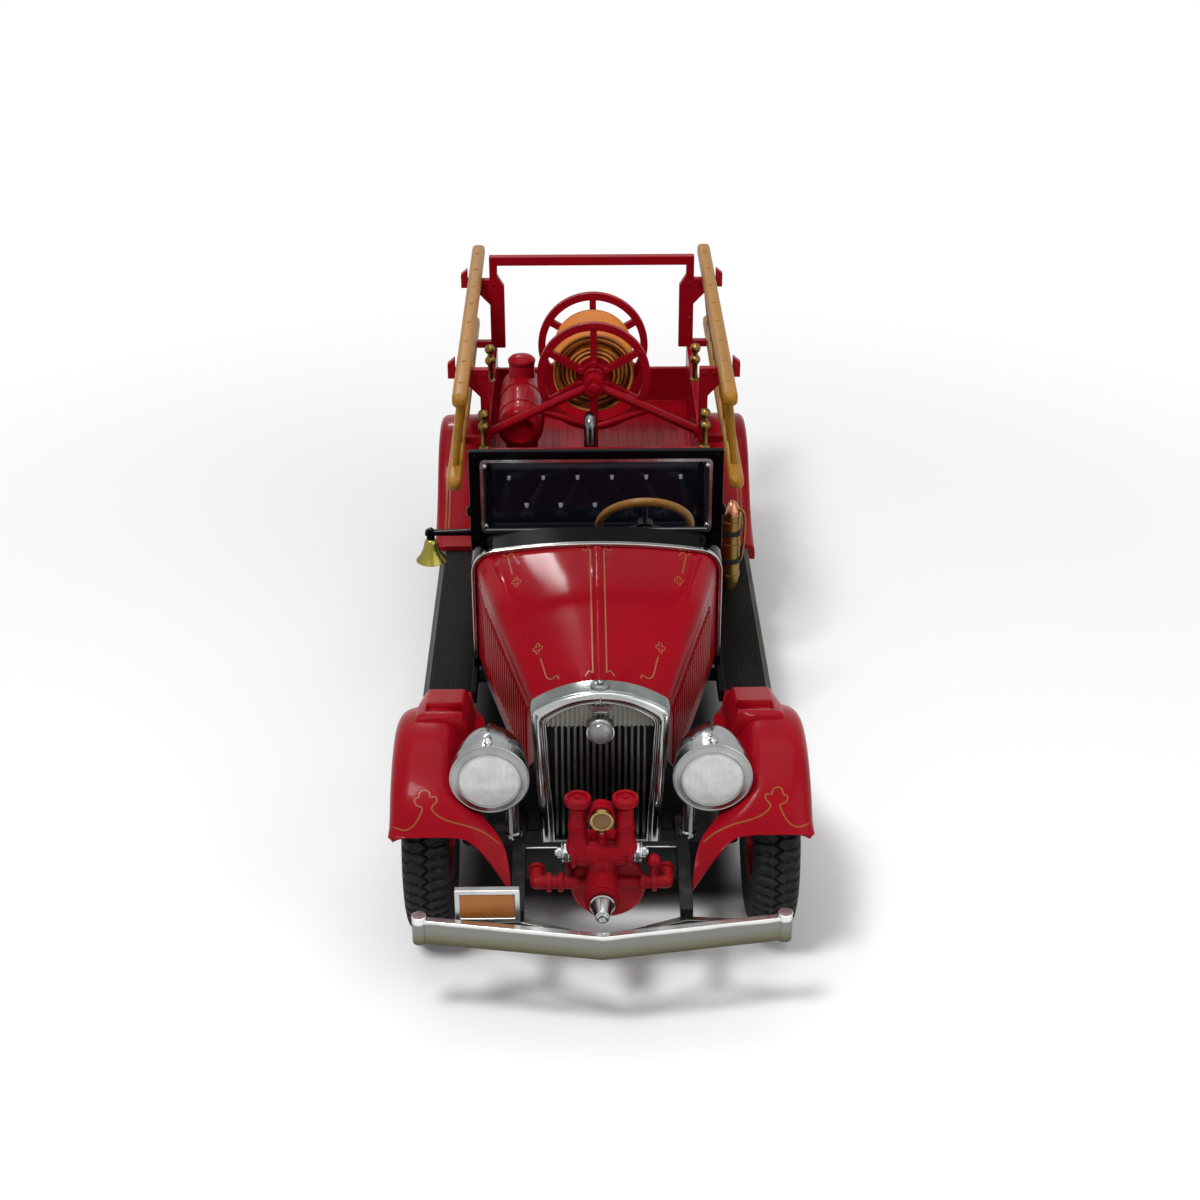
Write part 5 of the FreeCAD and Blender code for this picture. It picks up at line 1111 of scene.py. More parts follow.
@dataclass(frozen=True)
class Studio:
    """Camera at the photograph's view, a pale floor and soft lamps, in metres and degrees.

    Each shadow_ pair is the two places, in millimetres, between which the painted shadow on the
    floor under the chassis begins or ends.
    """

    camera_place: tuple[float, float, float] = (-0.0024, -0.27915, 0.1676)
    pitch: float = 27.99
    yaw: float = 0.62
    roll: float = -0.14
    lens: float = 60.5
    sensor: float = 36.0
    ambient: float = 0.24
    target: tuple[float, float, float] = (0.0, -0.02, 0.02)
    floor_reach: float = 3.0
    floor_pale: Colour = (0.93, 0.93, 0.93, 1.0)
    floor_dark: Colour = tint(12, 12, 13)
    white_past: tuple[float, float] = (0.085, 0.2)
    shadow_side: tuple[float, float] = (16, 24)
    shadow_front: tuple[float, float] = (-57, -50)
    shadow_rear: tuple[float, float] = (60, 78)
    shadow_depth: float = 0.96
    lamps: tuple[Lamp, ...] = (
        Lamp("key_lamp", (-0.16, -0.22, 0.55), 0.13, 2.0),
        Lamp("fill_lamp", (0.35, -0.3, 0.3), 0.4, 0.7),
        Lamp("top_lamp", (0.02, 0.06, 0.62), 0.5, 1.3),
        Lamp("small_back_lamp", (-0.088, 0.565, 0.372), 0.055, 0.42, 0.03),
    )

    def build(self) -> None:
        """Sets up camera, floor, world and lamps."""
        bpy.context.scene.view_settings.view_transform = "Standard"
        self.camera()
        self.floor()
        self.world()
        for lamp in self.lamps:
            lamp.build(Vector(self.target))

    def camera(self) -> None:
        """Stands the camera, turned by yaw about the upright, pitch and roll about its own axes."""
        data = bpy.data.cameras.new("camera")
        data.lens = self.lens
        data.sensor_width = self.sensor
        data.clip_start = 0.01
        camera = in_scene("camera", data)
        camera.location = self.camera_place
        turns = (0, 0, -self.yaw), (90 - self.pitch, 0, 0), (0, 0, self.roll)
        yaw, pitch, roll = (Euler(map(math.radians, turn)).to_matrix() for turn in turns)
        camera.rotation_euler = (yaw @ pitch @ roll).to_euler()
        bpy.context.scene.camera = camera

    def rays(self, shader: Shader) -> Signal:
        """Tells looking from lighting.

        Args:
            shader: The shader that asks.

        Returns:
            One where the eye, a reflection or a clear pane looks, and zero for other light.
        """
        path = shader.node("ShaderNodeLightPath")
        eye, glossy, through = (Signal(shader, path.outputs[f"Is {kind} Ray"])
                                for kind in ("Camera", "Glossy", "Transmission"))
        return shader.maths("MINIMUM", eye + glossy + through, 1.0)

    def floor(self) -> None:
        """Wide pale floor that keeps the shadow near the model and is plain white far off.

        Under the chassis a deep painted shadow makes it darker.
        """
        reach = self.floor_reach
        mesh = bpy.data.meshes.new("floor")
        corners = placed(oblong(-reach, reach, -reach, reach), Along.UP, 0)
        mesh.from_pydata(corners.tolist(), [], [(0, 1, 2, 3)])
        floor = in_scene("floor", mesh)
        shader = Shader(bpy.data.materials.new("pale_floor"))
        far = shader.length(shader.where()).rise(*self.white_past)
        x, y, _ = shader.axes()
        # painted shadow: the floor under the chassis goes over to the dark colour
        under = (1 - abs(x).rise(*self.shadow_side)) * y.rise(*self.shadow_front) * (
            1 - y.rise(*self.shadow_rear))
        pale = shader.mix(under * self.shadow_depth, self.floor_pale, self.floor_dark)
        matt = shader.signal("ShaderNodeBsdfDiffuse", None, {"Color": pale})
        glow = shader.signal("ShaderNodeEmission", None, {"Color": (1, 1, 1, 1), "Strength": 1.0})
        both = shader.signal("ShaderNodeMixShader", None,
                             {0: far * self.rays(shader), 1: matt, 2: glow})
        shader.node("ShaderNodeOutputMaterial", None, {"Surface": both})
        mesh.materials.append(shader.owner)

    def world(self) -> None:
        """White to the eye and in reflections, and softer as a light."""
        world = bpy.data.worlds.new("studio")
        bpy.context.scene.world = world
        shader = Shader(world)
        strength = self.rays(shader) * (1 - self.ambient) + self.ambient
        back = shader.signal("ShaderNodeBackground", None,
                             {"Color": (1, 1, 1, 1), "Strength": strength})
        shader.node("ShaderNodeOutputWorld", None, {"Surface": back})


# Wheels


@dataclass(frozen=True)
class Wheel:
    """Treaded tyre, wheel nuts and painted line of one wheel."""

    end: str
    side: Side
    radius: float = 13.8
    bead: float = 8.2
    width: float = 6.0
    centre: float = 22.6
    lugs: int = 54
    tread_depth: float = 0.42
    wall_rings: tuple[float, float] = (10.1, 12.0)
    nuts: int = 6
    nut_circle: float = 2.28
    nut_face: float = 3.0
    cap_face: float = 3.72
    line_face: float = 2.4

    @property
    def body(self) -> str:
        """The body that the wheel turns as."""
        return f"{self.end}_{self.side.word}_wheel"

    @property
    def middle(self) -> tuple[float, float, float]:
        """The wheel's centre."""
        y = FRONT_AXLE if self.end == "front" else REAR_AXLE
        return (self.centre * self.side.value, y, self.radius)

    def tyre(self) -> Form:
        """Tyre with staggered shoulder lugs and a zigzag groove.

        The section is a smooth closed line of radius and width. A point of the tread sinks by the
        depth where the shoulder's wave is low, or within the zigzag groove, and thin raised rings
        run round the side walls.

        Returns:
            The tyre.
        """
        half = self.width / 2
        base = self.radius
        ring = [(self.bead, -half * 0.8), (self.bead + 0.9, -half * 0.93), (11.0, -half),
                (base - 1.25, -half * 0.97), (base - 0.42, -half * 0.8),
                (base - 0.08, -half * 0.45), (base, 0)]
        outer = ring + [(r, -x) for r, x in ring[-2::-1]]
        section = smooth_line(outer, 72)
        a = full_turn(self.lugs * 8)[:, None]
        r, x = section[None, :, 0], section[None, :, 1]
        turn = a * self.lugs / (2 * np.pi)
        tread = step(r, base - 1.35, base - 0.75)
        stagger = np.where(x > 0, 0.5, 0.0)
        lug = step(wave(turn + stagger + np.abs(x) * 0.12), 0.28, 0.5)
        shoulder = step(np.abs(x), half * 0.26, half * 0.34)
        zigzag = np.abs(x - half * 0.16 * (np.abs((turn % 1) * 4 - 2) - 1))
        centre_groove = 1 - step(zigzag, 0.12, 0.3)
        sunk = tread * np.maximum(shoulder * (1 - lug), centre_groove * (1 - shoulder))
        rings = sum(step(np.abs(r - at), 0.22, 0.08) for at in self.wall_rings) * (1 - tread)
        radius = r - sunk * self.tread_depth
        across_x = x + np.sign(x) * rings * 0.07
        cx, cy, cz = self.middle
        full = np.broadcast_to(across_x, radius.shape) * self.side.value
        points = np.stack([cx + full, cy + radius * np.cos(a), cz + radius * np.sin(a)], -1)
        return Form().grid(points, joined=True)

    def build(self) -> None:
        """Makes the tyre and what the wheel carries."""
        name = f"{self.end}_{self.side.word}"
        add_piece(f"tyre_{name}_treaded", self.tyre(), TYRE, self.body, [f"tyre_{name}"], sharp=50)
        cx, cy, cz = self.middle
        out = self.side.out
        nuts, cap, line = ((cx + face * self.side.value, cy, cz)
                           for face in (self.nut_face, self.cap_face, self.line_face))
        spots = circle(nuts, self.nut_circle, full_turn(self.nuts), Along.LEFT)
        add_piece(f"wheel_nuts_{name}", Form().studs(spots, out, 0.26, 0.3, 6), CHROME, self.body)
        dome = [(0, -0.1), (1.15, -0.1), (1.15, 0.12), (0.95, 0.3), (0.5, 0.42), (0, 0.45)]
        add_piece(f"hub_cap_{name}", Form().lathe(dome, cap, out, 24), CHROME, self.body)
        band = oblong(7.45, 7.75, -0.05, 0.03)
        add_piece(f"rim_line_{name}", Form().lathe(band, line, out, 96), GOLD_LINE, self.body)


# Front end


@dataclass(frozen=True)
class Headlamps:
    """Pressed lenses, clamp rings and posts of the headlamps, and the small lamp in the grille."""

    place: float = 14.1
    front: float = 11.0
    height: float = 28.4
    radius: float = 4.45
    crown: float = 0.5
    flutes: int = 13
    thick: float = 0.58
    post: tuple[float, float, float] = (11.43, -7.0, 17.3)
    small_face: float = -58.65
    small_height: float = 31.2

    def centre(self, side: Side) -> tuple[float, float, float]:
        """Middle of a headlamp's face."""
        return (self.place * side.value, behind(-self.front), self.height)

    def lens(self, form: Form, side: Side) -> None:
        """Adds a domed lens with upright flutes.

        The front is a dome whose height falls with the square of the radius, plus a wave across its
        width that fades out before the rim.

        Args:
            form: The form that gets it.
            side: The side of its lamp.
        """
        cx, cy, cz = self.centre(side)
        r = np.concatenate([[0], np.linspace(0.05, 1, 34)])[:, None]
        a = full_turn(96)[None]
        x = r * np.cos(a)
        z = r * np.sin(a)
        fade = 1 - step(r, 0.7, 0.8)
        upright = step(z, -0.1, 0.3) * 0.7 + 0.3
        rise = self.crown * (1 - r**2) + 0.13 * fade * upright * wave(x * self.flutes / 2)
        rim = step(r, 0.86, 0.95) * 0.12 * (1 - step(r, 0.97, 1.0))
        y = cy + 0.02 - (rise + rim) * np.ones_like(a)
        points = np.stack([cx + self.radius * x, y, cz + self.radius * z], -1)
        back = points[-1:].copy()
        back[..., 1] = cy + self.thick
        middle = np.broadcast_to(np.array([cx, cy + self.thick, cz]), back.shape)
        form.grid(np.concatenate([points, back, middle]))

    def build(self) -> None:
        """Makes lenses, clamps, posts and the grille's lamp."""
        lenses = Form()
        for side in Side:
            self.lens(lenses, side)
        small = smooth_line([(1.6, 0), (1.5, 0.45), (1.15, 0.85), (0.6, 1.05), (0, 1.1)], 14)
        lenses.lathe([(0, 0), *small[:-1], (0, 1.1)], (0, self.small_face, self.small_height),
                     Along.FORWARD, 40)
        add_piece("lamp_lenses_pressed", lenses, LENS, replaces=["lamp_lenses"], sharp=60)
        for side in Side:
            self.clamp(side)
        ball = [(1.68 * math.cos(k), 1.35 * math.sin(k)) for k in np.linspace(0, 1.5, 14)]
        rim = [(1.6, -0.3), (1.86, -0.3), (1.9, 0.02), (1.8, 0.2), (1.66, 0.22)]
        for name, profile, back, sides, finish, sharp in (
                ("grille_lamp_rim", rim, 0.05, 44, ROLL_PAINTED_HIGHLIGHT, 35),
                ("grille_lamp_glass", [(0, 0), *ball, (0, 1.35)], 0.02, 40, LAMP_GLASS, 60)):
            spot = (0, self.small_face + back, self.small_height)
            add_piece(name, Form().lathe(profile, spot, Along.FORWARD, sides), finish, sharp=sharp)

    def clamp(self, side: Side) -> None:
        """Makes a lamp's clamp ring with its screw, and the lamp's post.

        Args:
            side: The side of the lamp.
        """
        x, y, z = self.centre(side)
        ring = Form().lathe([(3.85, 0.02), (3.88, -0.3), (4.0, -0.36), (4.15, -0.26),
                             (4.75, -0.08), (4.86, -0.12), (4.98, -0.04), (5.02, 0.12),
                             (5.0, 0.4), (4.6, 0.5)], (x, y, z), Along.BACK, 72)
        ring.lathe([(0, 0), (0.55, 0), (0.55, 0.35), (0.35, 0.55), (0, 0.6)],
                   (x, y + 0.75, z + 4.85), Along.UP, 16)
        ring.studs([(x, y + 0.1, z + 4.9)], Along.FORWARD, 0.3, 0.35, 10, 0.5)
        add_piece(f"lamp_bezel_{side.word}", ring, BEZEL)
        px, py, pz = self.post
        post = Form().lathe([(0, 0), (1.15, 0), (1.15, 0.5), (0.95, 0.7), (0.95, 7.6), (0, 7.6)],
                            (px * side.value, behind(py), pz), Along.UP, 28)
        add_piece(f"lamp_post_{side.word}", post, SHELL_PAINTED_REFLECTION)


@dataclass(frozen=True)
class NumberPlate:
    """Blank orange field in the plate's raised border."""

    centre: float = -14.3
    rear: float = -20.4
    low: float = 13.9
    width: float = 8.1
    height: float = 4.9
    border: float = 0.65
    gap: float = 0.03
    corner: float = 0.35

    def build(self) -> None:
        """Makes the field."""
        inset = 2 * (self.border + self.gap)
        inner = rounded_box(self.width - inset, self.height - inset, self.corner)
        field = inner + np.array([self.centre, self.low + self.height / 2])
        rear = behind(self.rear)
        form = Form().slab(field, rear - 0.9, rear - 0.7, Along.BACK)
        add_piece("plate_field", form, PLATE_FIELD, bevel=0.03)


@dataclass(frozen=True)
class Seat:
    """Buttoned bench: cushion and squab with tufts between sunk buttons."""

    half: float = 16.9
    front: float = 55.5
    face: float = 69.0
    rear: float = 72.4
    bottom: float = 21.5
    cushion: float = 25.5
    top: float = 35.6
    pitch: float = 5.5
    depth: float = 0.55
    sag: float = 0.5
    rows: tuple[float, float] = (28.5, 33.4)
    cushion_row: float = 59.0

    def tufts(self, across_x: Array, along: Array) -> Array:
        """Height of a tufted sheet from 0 at a button to 1 between buttons.

        Buttons stand in rows that are shifted by half a pitch. The height is the root of the lesser
        of two sine waves along the slanting folds, so that diamonds swell between them.

        Args:
            across_x: Places across the seat.
            along: Places up or back from a row of buttons.

        Returns:
            The height at each place.
        """
        row = 2 * (self.rows[1] - self.rows[0])
        u = across_x / self.pitch + along / row
        v = across_x / self.pitch - along / row
        fold = np.minimum(np.abs(np.sin(np.pi * u)), np.abs(np.sin(np.pi * v)))
        return np.sqrt(np.clip(fold, 0, 1))

    def bench(self) -> Form:
        """Cushion and squab as one closed shell.

        The side line is carried across the cab. It sinks along its normal by the depth times one
        less the tufts' height, sags at both ends, and closes along a flat bottom.

        Returns:
            The bench.
        """
        columns = np.linspace(-1, 1, 241)
        x = columns * self.half
        profile = smooth_line([(self.front + 0.35, self.bottom + 0.3), (self.front, 23.3),
                               (self.front + 0.5, 25.2), (self.front + 2.2, self.cushion + 0.1),
                               (62.0, self.cushion + 0.25), (self.face - 1.2, self.cushion),
                               (self.face - 0.3, 26.6), (self.face + 0.1, 29.5),
                               (self.face, 33.5), (self.face + 0.4, 35.1), (70.7, self.top),
                               (self.rear - 0.6, 35.2), (self.rear, 34.0)], 150)
        steps = np.gradient(profile, axis=0)
        normal = unit(np.stack([-steps[:, 1], steps[:, 0]], 1))
        y, z = profile[:, :1], profile[:, 1:]
        upright = step(z, 26.6, 28.0) * (1 - step(z, 34.0, 35.2))
        lying = (1 - step(z, 25.9, 26.6)) * step(y, 56.2, 57.4) * (1 - step(y, 66.5, 68.2))
        ends = np.abs(columns)
        lift = (self.tufts(x, z - self.rows[0]) * upright
                + self.tufts(x, y - self.cushion_row) * lying) * (1 - step(ends, 0.965, 1.0))
        sink = np.clip((np.maximum(upright, lying) - lift) * self.depth, 0, None)
        move = -(sink + step(ends, 0.975, 1.0) * self.sag)
        grid = np.stack([np.broadcast_to(x, move.shape), behind(y) + normal[:, :1] * move,
                         z + normal[:, 1:] * move], -1)
        under = grid.copy()
        bottom = np.linspace(behind(self.front + 0.6), behind(self.rear), len(under))
        under[..., 1] = bottom[:, None]
        under[..., 2] = self.bottom
        return closed_sheet(grid, under)

    def buttons(self) -> Form:
        """Buttons of the squab, in two rows shifted by half a pitch.

        Returns:
            The buttons.
        """
        form = Form()
        for height, shift in zip(self.rows, (0.0, 0.5)):
            spots = (np.arange(-3, 4) + shift) * self.pitch
            form.studs([(x, behind(self.face + 0.72), height) for x in spots
                        if abs(x) < self.half - 1], Along.FORWARD, 0.48, 0.36, 14, 0.3)
        return form

    def build(self) -> None:
        """Makes the bench and its buttons."""
        add_piece("buttoned_bench", self.bench(), SEAT, replaces=["seat"], sharp=70)
        # the buttons are drawn near white, as painted highlights
        add_piece("seat_buttons", self.buttons(), BUTTON_PAINTED_HIGHLIGHT)


@dataclass(frozen=True)
class HoseReel:
    """Wound hose on the reel: turns side by side on the outside and rings on both faces."""

    height: float = REEL_HEIGHT
    front: float = 84.25
    rear: float = 97.35
    radius: float = 6.6
    core: float = 2.95
    hose: float = 0.73
    recess: float = 1.5

    def build(self) -> None:
        """Makes the wound hose.

        The profile goes out over the front face in ring waves, along the outside in turn waves and
        in over the rear face. The turns lean by one pitch round the reel, as a wound hose does.
        """
        face = np.linspace(self.core, self.radius, 60)
        length = np.linspace(self.front, self.rear, 110)
        a = full_turn(144)[:, None]
        lean = a / (2 * np.pi)
        rings = wave((face - self.core) / self.hose + lean)
        turns = wave((length - self.front) / self.hose + lean)
        bowl = self.recess * step(face, 4.4, 4.8) * (1 - step(face, 5.8, 6.0))
        out = np.broadcast_to(face, rings.shape)
        back = np.broadcast_to(length, turns.shape)
        parts = ((out, self.front + bowl + rings * 0.32, rings),
                 ((self.radius - turns * 0.3)[:, 2:-2], back[:, 2:-2], turns[:, 2:-2]),
                 (out[:, ::-1], self.rear - rings[:, ::-1] * 0.35, rings[:, ::-1]))
        r, y, low = (np.concatenate(part, 1) for part in zip(*parts))
        points = np.stack([r * np.cos(a), behind(y), self.height + r * np.sin(a)], -1)
        form = Form().grid(points.transpose(1, 0, 2), joined=True)
        piece = add_piece("wound_hose", form, HOSE, Body.REEL.value, ["reel_hose"], sharp=60)
        self.mark(piece.data, low.T.ravel())

    def mark(self, mesh: bpy.types.Mesh, low: Array) -> None:
        """Keeps how deep each point lies in a groove, for the painted shade of the finish.

        Args:
            mesh: The wound hose, none of whose points may have been merged.
            low: Depth of each point, from 0 to 1.
        """
        groove = mesh.attributes.new("groove", "FLOAT", "POINT")
        if len(mesh.vertices) == len(low):
            groove.data.foreach_set("value", low.astype(np.float32))


def arch(x: Array, half: float, side: float, top: float) -> Array:
    """Height of a round arch over x.

    The arch is the circle through its two sides and its top: with rise h and half width w its
    radius is (w w + h h) / 2h, and the height at x is top - radius + sqrt(radius squared - x
    squared).

    Args:
        x: Places across the arch.
        half: Half its width.
        side: Height of its two ends.
        top: Height of its middle.

    Returns:
        The height at each place.
    """
    rise = top - side
    radius = (half**2 + rise**2) / (2 * rise)
    return top - radius + np.sqrt(np.clip(radius**2 - x**2, 0, None))


def closed_sheet(front: Array, back: Array) -> Form:
    """A solid sheet between two grids of points that face each other."""
    shell = np.concatenate([front, back[::-1]])
    return Form().grid(shell.transpose(1, 0, 2), caps=True)


@dataclass(frozen=True)
class Grille:
    """Ribbed plate over the grille bars, and the radiator shell with its mouldings and baffles."""

    face: float = -57.1
    shell_face: float = -58.45
    shell_depth: float = 2.95
    low: float = 31.25
    half: float = 7.05
    side: float = 32.35
    top: float = 35.15
    pitch: float = 0.62
    foot: float = 12.7
    foot_half: float = 7.9
    shoulder: float = 34.1
    shoulder_half: float = 9.0
    crest: float = 37.1
    drop: float = 0.9

    def build(self) -> None:
        """Makes the header plate, the shell with its cap, the trim with its badge, and baffles."""
        add_piece("grille_header", self.header(), HEADER, sharp=60)
        rear = self.shell_face + self.shell_depth
        shell = self.carried(((0, 2.95), (0, 0.6), (0.05, 0.3), (0.18, 0.14), (0.5, 0.08),
                              (1.62, 0.08), (1.66, 0.3), (1.9, 0.4), (1.9, 3.0)))
        shell.slab(oblong(-self.foot_half, self.foot_half, self.foot, self.foot + 1.5),
                   self.shell_face + 0.3, rear, Along.BACK)
        cap = [(0, -0.6), (1.2, -0.6), (1.26, 0.1), (1.14, 0.34), (0.7, 0.46), (0.46, 0.5),
               (0.46, 0.7), (0.3, 0.82), (0, 0.84)]
        shell.lathe(cap, (0, -56.95, self.crest - 0.05), Along.UP, 30)
        add_piece("radiator_shell_pressed", shell, SHELL_PAINTED_REFLECTION, replaces=["radiator_shell"], sharp=40)
        trim = self.carried(((0.2, 0.3), (0.22, 0.06), (0.34, -0.12), (0.6, -0.26), (0.9, -0.3),
                             (1.2, -0.23), (1.4, -0.08), (1.5, 0.1), (1.5, 0.2)))
        trim.tube(placed(self.outline(1.8), Along.BACK, self.shell_face + 0.34), 0.16, 10,
                  up=(0, 1, 0))
        seam = placed([(0, z) for z in np.linspace(35.6, 36.35, 6)], Along.BACK,
                      self.shell_face - 0.3)
        trim.tube(seam, 0.1, 8, up=(1, 0, 0))
        badge = [(-1.5, 34.15), (-1.1, 34.5), (0, 34.3), (1.1, 34.5), (1.5, 34.15), (0.8, 33.45),
                 (-0.8, 33.45)]
        trim.slab(badge, self.face - 0.55, self.face + 0.1, Along.BACK)
        add_piece("radiator_trim", trim, ROLL_PAINTED_HIGHLIGHT, sharp=50)
        baffles = Form()
        for side in Side:
            flat = [(8.2, 14.3), (11.5, 14.3), (11.5, 21.5), (8.7, 25.0)]
            baffles.slab([(x * side.value, z) for x, z in flat], rear - 0.35, rear, Along.BACK)
        add_piece("radiator_baffles", baffles, SATIN)

    def header(self) -> Form:
        """Plate from its straight foot up to an arch, with upright ribs as a wave across it.

        Returns:
            The plate.
        """
        x = np.linspace(-self.half, self.half, 231)
        t = np.linspace(0, 1, 12)[:, None]
        z = self.low + t * (arch(x, self.half, self.side, self.top) - self.low)
        wide = np.broadcast_to(x, z.shape)
        ribs = np.broadcast_to(wave(x / self.pitch) * 0.28, z.shape)
        return closed_sheet(np.stack([wide, self.face - ribs, z], -1),
                            np.stack([wide, np.full_like(z, self.face + 0.8), z], -1))

    def carried(self, section: Points) -> Form:
        """Carries a section along the shell's outline.

        Args:
            section: Pairs of an inset from the edge and a depth behind the shell's face.

        Returns:
            The moulding.
        """
        rows = [placed(self.outline(inset), Along.BACK, self.shell_face + depth)
                for inset, depth in section]
        return Form().grid(np.stack(rows, 1), caps=True)

    def outline(self, inset: float) -> Array:
        """Line up one leg of the shell, over its arch and down the other leg.

        Args:
            inset: How far the line lies within the shell's edge.

        Returns:
            Places across and up.
        """
        shoulder = self.shoulder - inset * self.drop
        legs = np.linspace(self.foot, shoulder - 0.3, 16)
        leg = np.interp(legs, [self.foot, self.shoulder],
                        [self.foot_half, self.shoulder_half]) - inset
        wide = self.shoulder_half - inset
        over = np.linspace(-wide, wide, 44)[1:-1]
        high = arch(over, wide, shoulder, self.crest - inset)
        return np.concatenate([np.stack([-leg, legs], 1), np.stack([over, high], 1),
                               np.stack([leg, legs], 1)[::-1]])


@dataclass(frozen=True)
class PumpTrim:
    """Small metal parts of the front pump."""

    place: float = -69.25
    manifold: float = 20.0
    volute: float = 16.2
    gauge: float = 25.9
    gauge_face: float = 1.8
    bolt_circle: float = 3.6
    bolts: int = 10
    stem: float = 2.95
    stem_top: float = 27.4
    nose: float = 5.7
    flange: float = 3.8
    outlet_rings: tuple[float, float] = (3.95, 4.75)
    plug: float = 5.6
    elbow: tuple[float, float] = (8.3, 15.4)
    casing: tuple[float, float] = (0.8, 14.7)
    rod: tuple[float, float] = (4.9, 9.7)
    rod_place: tuple[float, float] = (-9.6, 16.95)

    def build(self) -> None:
        """Makes the gauge's bezel and face, the red fittings and the bright metal."""
        dial = (0, self.place - self.gauge_face, self.gauge)
        bezel = Form().lathe([(1.12, 0), (1.12, 0.18), (1.25, 0.26), (1.48, 0.16), (1.52, -0.3),
                              (1.4, -0.4)], dial, Along.FORWARD, 40)
        bezel.studs([(0, dial[1], self.gauge - 1.62)], Along.DOWN, 0.3, 0.3, 8)
        add_piece("gauge_bezel", bezel, GAUGE_RING)
        face = Form().lathe([(0, -0.1), (1.14, -0.1), (1.14, 0.08), (0, 0.1)], dial,
                            Along.FORWARD, 32)
        add_piece("gauge_face", face, GAUGE_FACE)
        add_piece("pump_fittings", self.fittings(), RED)
        add_piece("pump_metal", self.metal(), CHROME, sharp=40)

    def fittings(self) -> Form:
        """Casing and its bolts, stems with their wheels and crowns, flanges, elbow lips, collar.

        Returns:
            The red fittings.
        """
        y = self.place
        form = Form()
        middle = (0, y + 1.2, self.volute)
        form.studs(circle(middle, self.bolt_circle, full_turn(self.bolts) + 0.3, Along.BACK),
                   Along.FORWARD, 0.34, 0.34, 6)
        flange = oblong(0.9, 2.02, -0.5, 0.02)
        crown = [(0, 0.7), (0.42, 0.74), (0.46, 1.0), (0.28, 1.2), (0, 1.24)]
        wheel = [(1.12, 0.6), (1.22, 0.9), (1.42, 1.02), (1.62, 0.92), (1.7, 0.6), (1.62, 0.3)]
        cone = [(0.6, 0.6), (1.8, 0.6), (1.4, 1.7), (1.15, 3.0), (1.08, 6.9), (0.6, 7.0)]
        lip = [(0.87, 2.2), (1.12, 2.2), (1.16, 2.75), (0.6, 2.8), (0.6, 2.3)]
        for side in Side:
            s = side.value
            form.lathe(flange, (self.flange * s, y, self.manifold), side.out, 36)
            nuts = [(self.stem * s + way, y - 0.2, self.manifold + 1.9) for way in (-0.95, 0.95)]
            form.studs(nuts, Along.UP, 0.26, 0.3, 6, 0.4)
            for profile, height, sides in ((crown, self.stem_top, 16), (wheel, self.stem_top, 36),
                                           (cone, self.manifold, 28)):
                form.lathe(profile, (self.stem * s, y, height), Along.UP, sides)
            form.lathe(lip, (self.elbow[0] * s, y, self.elbow[1]), Along.BACK, 24)
        collar = [(1.9, -5.2), (2.2, -5.2), (2.25, -4.9), (2.2, -4.6), (1.9, -4.6)]
        form.lathe(collar, (0, y, self.volute), Along.BACK, 36)
        casing = [(0, -0.9), (4.3, -0.9), (4.7, -0.6), (4.75, 0.5), (4.4, 0.85), (3.9, 0.7),
                  (0, 0.5)]
        return form.lathe(casing, (self.casing[0], y + 0.6, self.casing[1]), Along.FORWARD, 56)

    def metal(self) -> Form:
        """Rings and plugs of the outlets, a bright rod on each side, and the nose's rings.

        Returns:
            The bright metal.
        """
        y = self.place
        form = Form()
        ring = [(0.8, 0), (1.36, 0), (1.42, 0.14), (1.36, 0.28), (0.8, 0.28)]
        for side in Side:
            s = side.value
            for at in self.outlet_rings:
                form.lathe(ring, (at * s, y, self.manifold), side.out, 24)
            form.studs([(self.plug * s, y, self.manifold)], side.out, 0.5, 0.35, 12)
            place, height = behind(self.rod_place[0]), self.rod_place[1]
            rod = np.linspace(*([x * s, place, height] for x in self.rod), 8)
            form.tube(rod, 0.1, 8)
        nose = (0, y - self.nose, self.volute)
        form.lathe([(1.45, -0.02), (1.62, 0.05), (1.62, 0.5), (1.45, 0.6)], nose, Along.FORWARD, 32)
        return form.lathe([(0, 2.8), (0.62, 2.8), (0.72, 3.0), (0.5, 3.15), (0.35, 3.02), (0, 3.0)],
                          nose, Along.FORWARD, 20)


@dataclass(frozen=True)
class Windscreen:
    """Silver bead inside the frame, its corner screws and the frame's pivots."""

    half: float = 16.72
    low: float = 37.1
    high: float = 48.5
    face: float = 42.3
    corner: float = 0.5
    pivot: tuple[float, float] = (18.55, 40.2)
    rivet_side: float = 17.6
    rivet_heights: tuple[float, float] = (36.0, 49.2)

    def build(self) -> None:
        """Makes bead, corner screws, pivot knobs and frame rivets."""
        face = behind(self.face)
        outline = rounded_box(2 * self.half - 0.1, self.high - self.low - 0.1, self.corner)
        ring = placed(outline + np.array([0, (self.high + self.low) / 2]), Along.BACK, face - 0.02)
        bead = Form().strip(ring, (0, -1, 0), 0.46, 0.1, 0.3, closed=True)
        knobs = Form()
        for side in Side:
            s = side.value
            screws = [(s * (self.half - 0.5), face - 0.07, z)
                      for z in (self.low + 0.9, self.high - 0.9)]
            bead.studs(screws, Along.FORWARD, 0.34, 0.25, 12, 0.4)
            knobs.lathe([(0, -0.4), (0.75, -0.4), (0.8, 0.25), (0.5, 0.5), (0, 0.55)],
                        (self.pivot[0] * s, face + 0.6, self.pivot[1]), side.out, 20)
            knobs.studs([(self.rivet_side * s, face, z) for z in self.rivet_heights],
                        Along.FORWARD, 0.3, 0.18, 12)
        add_piece("windscreen_bead", bead, CHROME)
        add_piece("windscreen_pivots", knobs, BLACK)


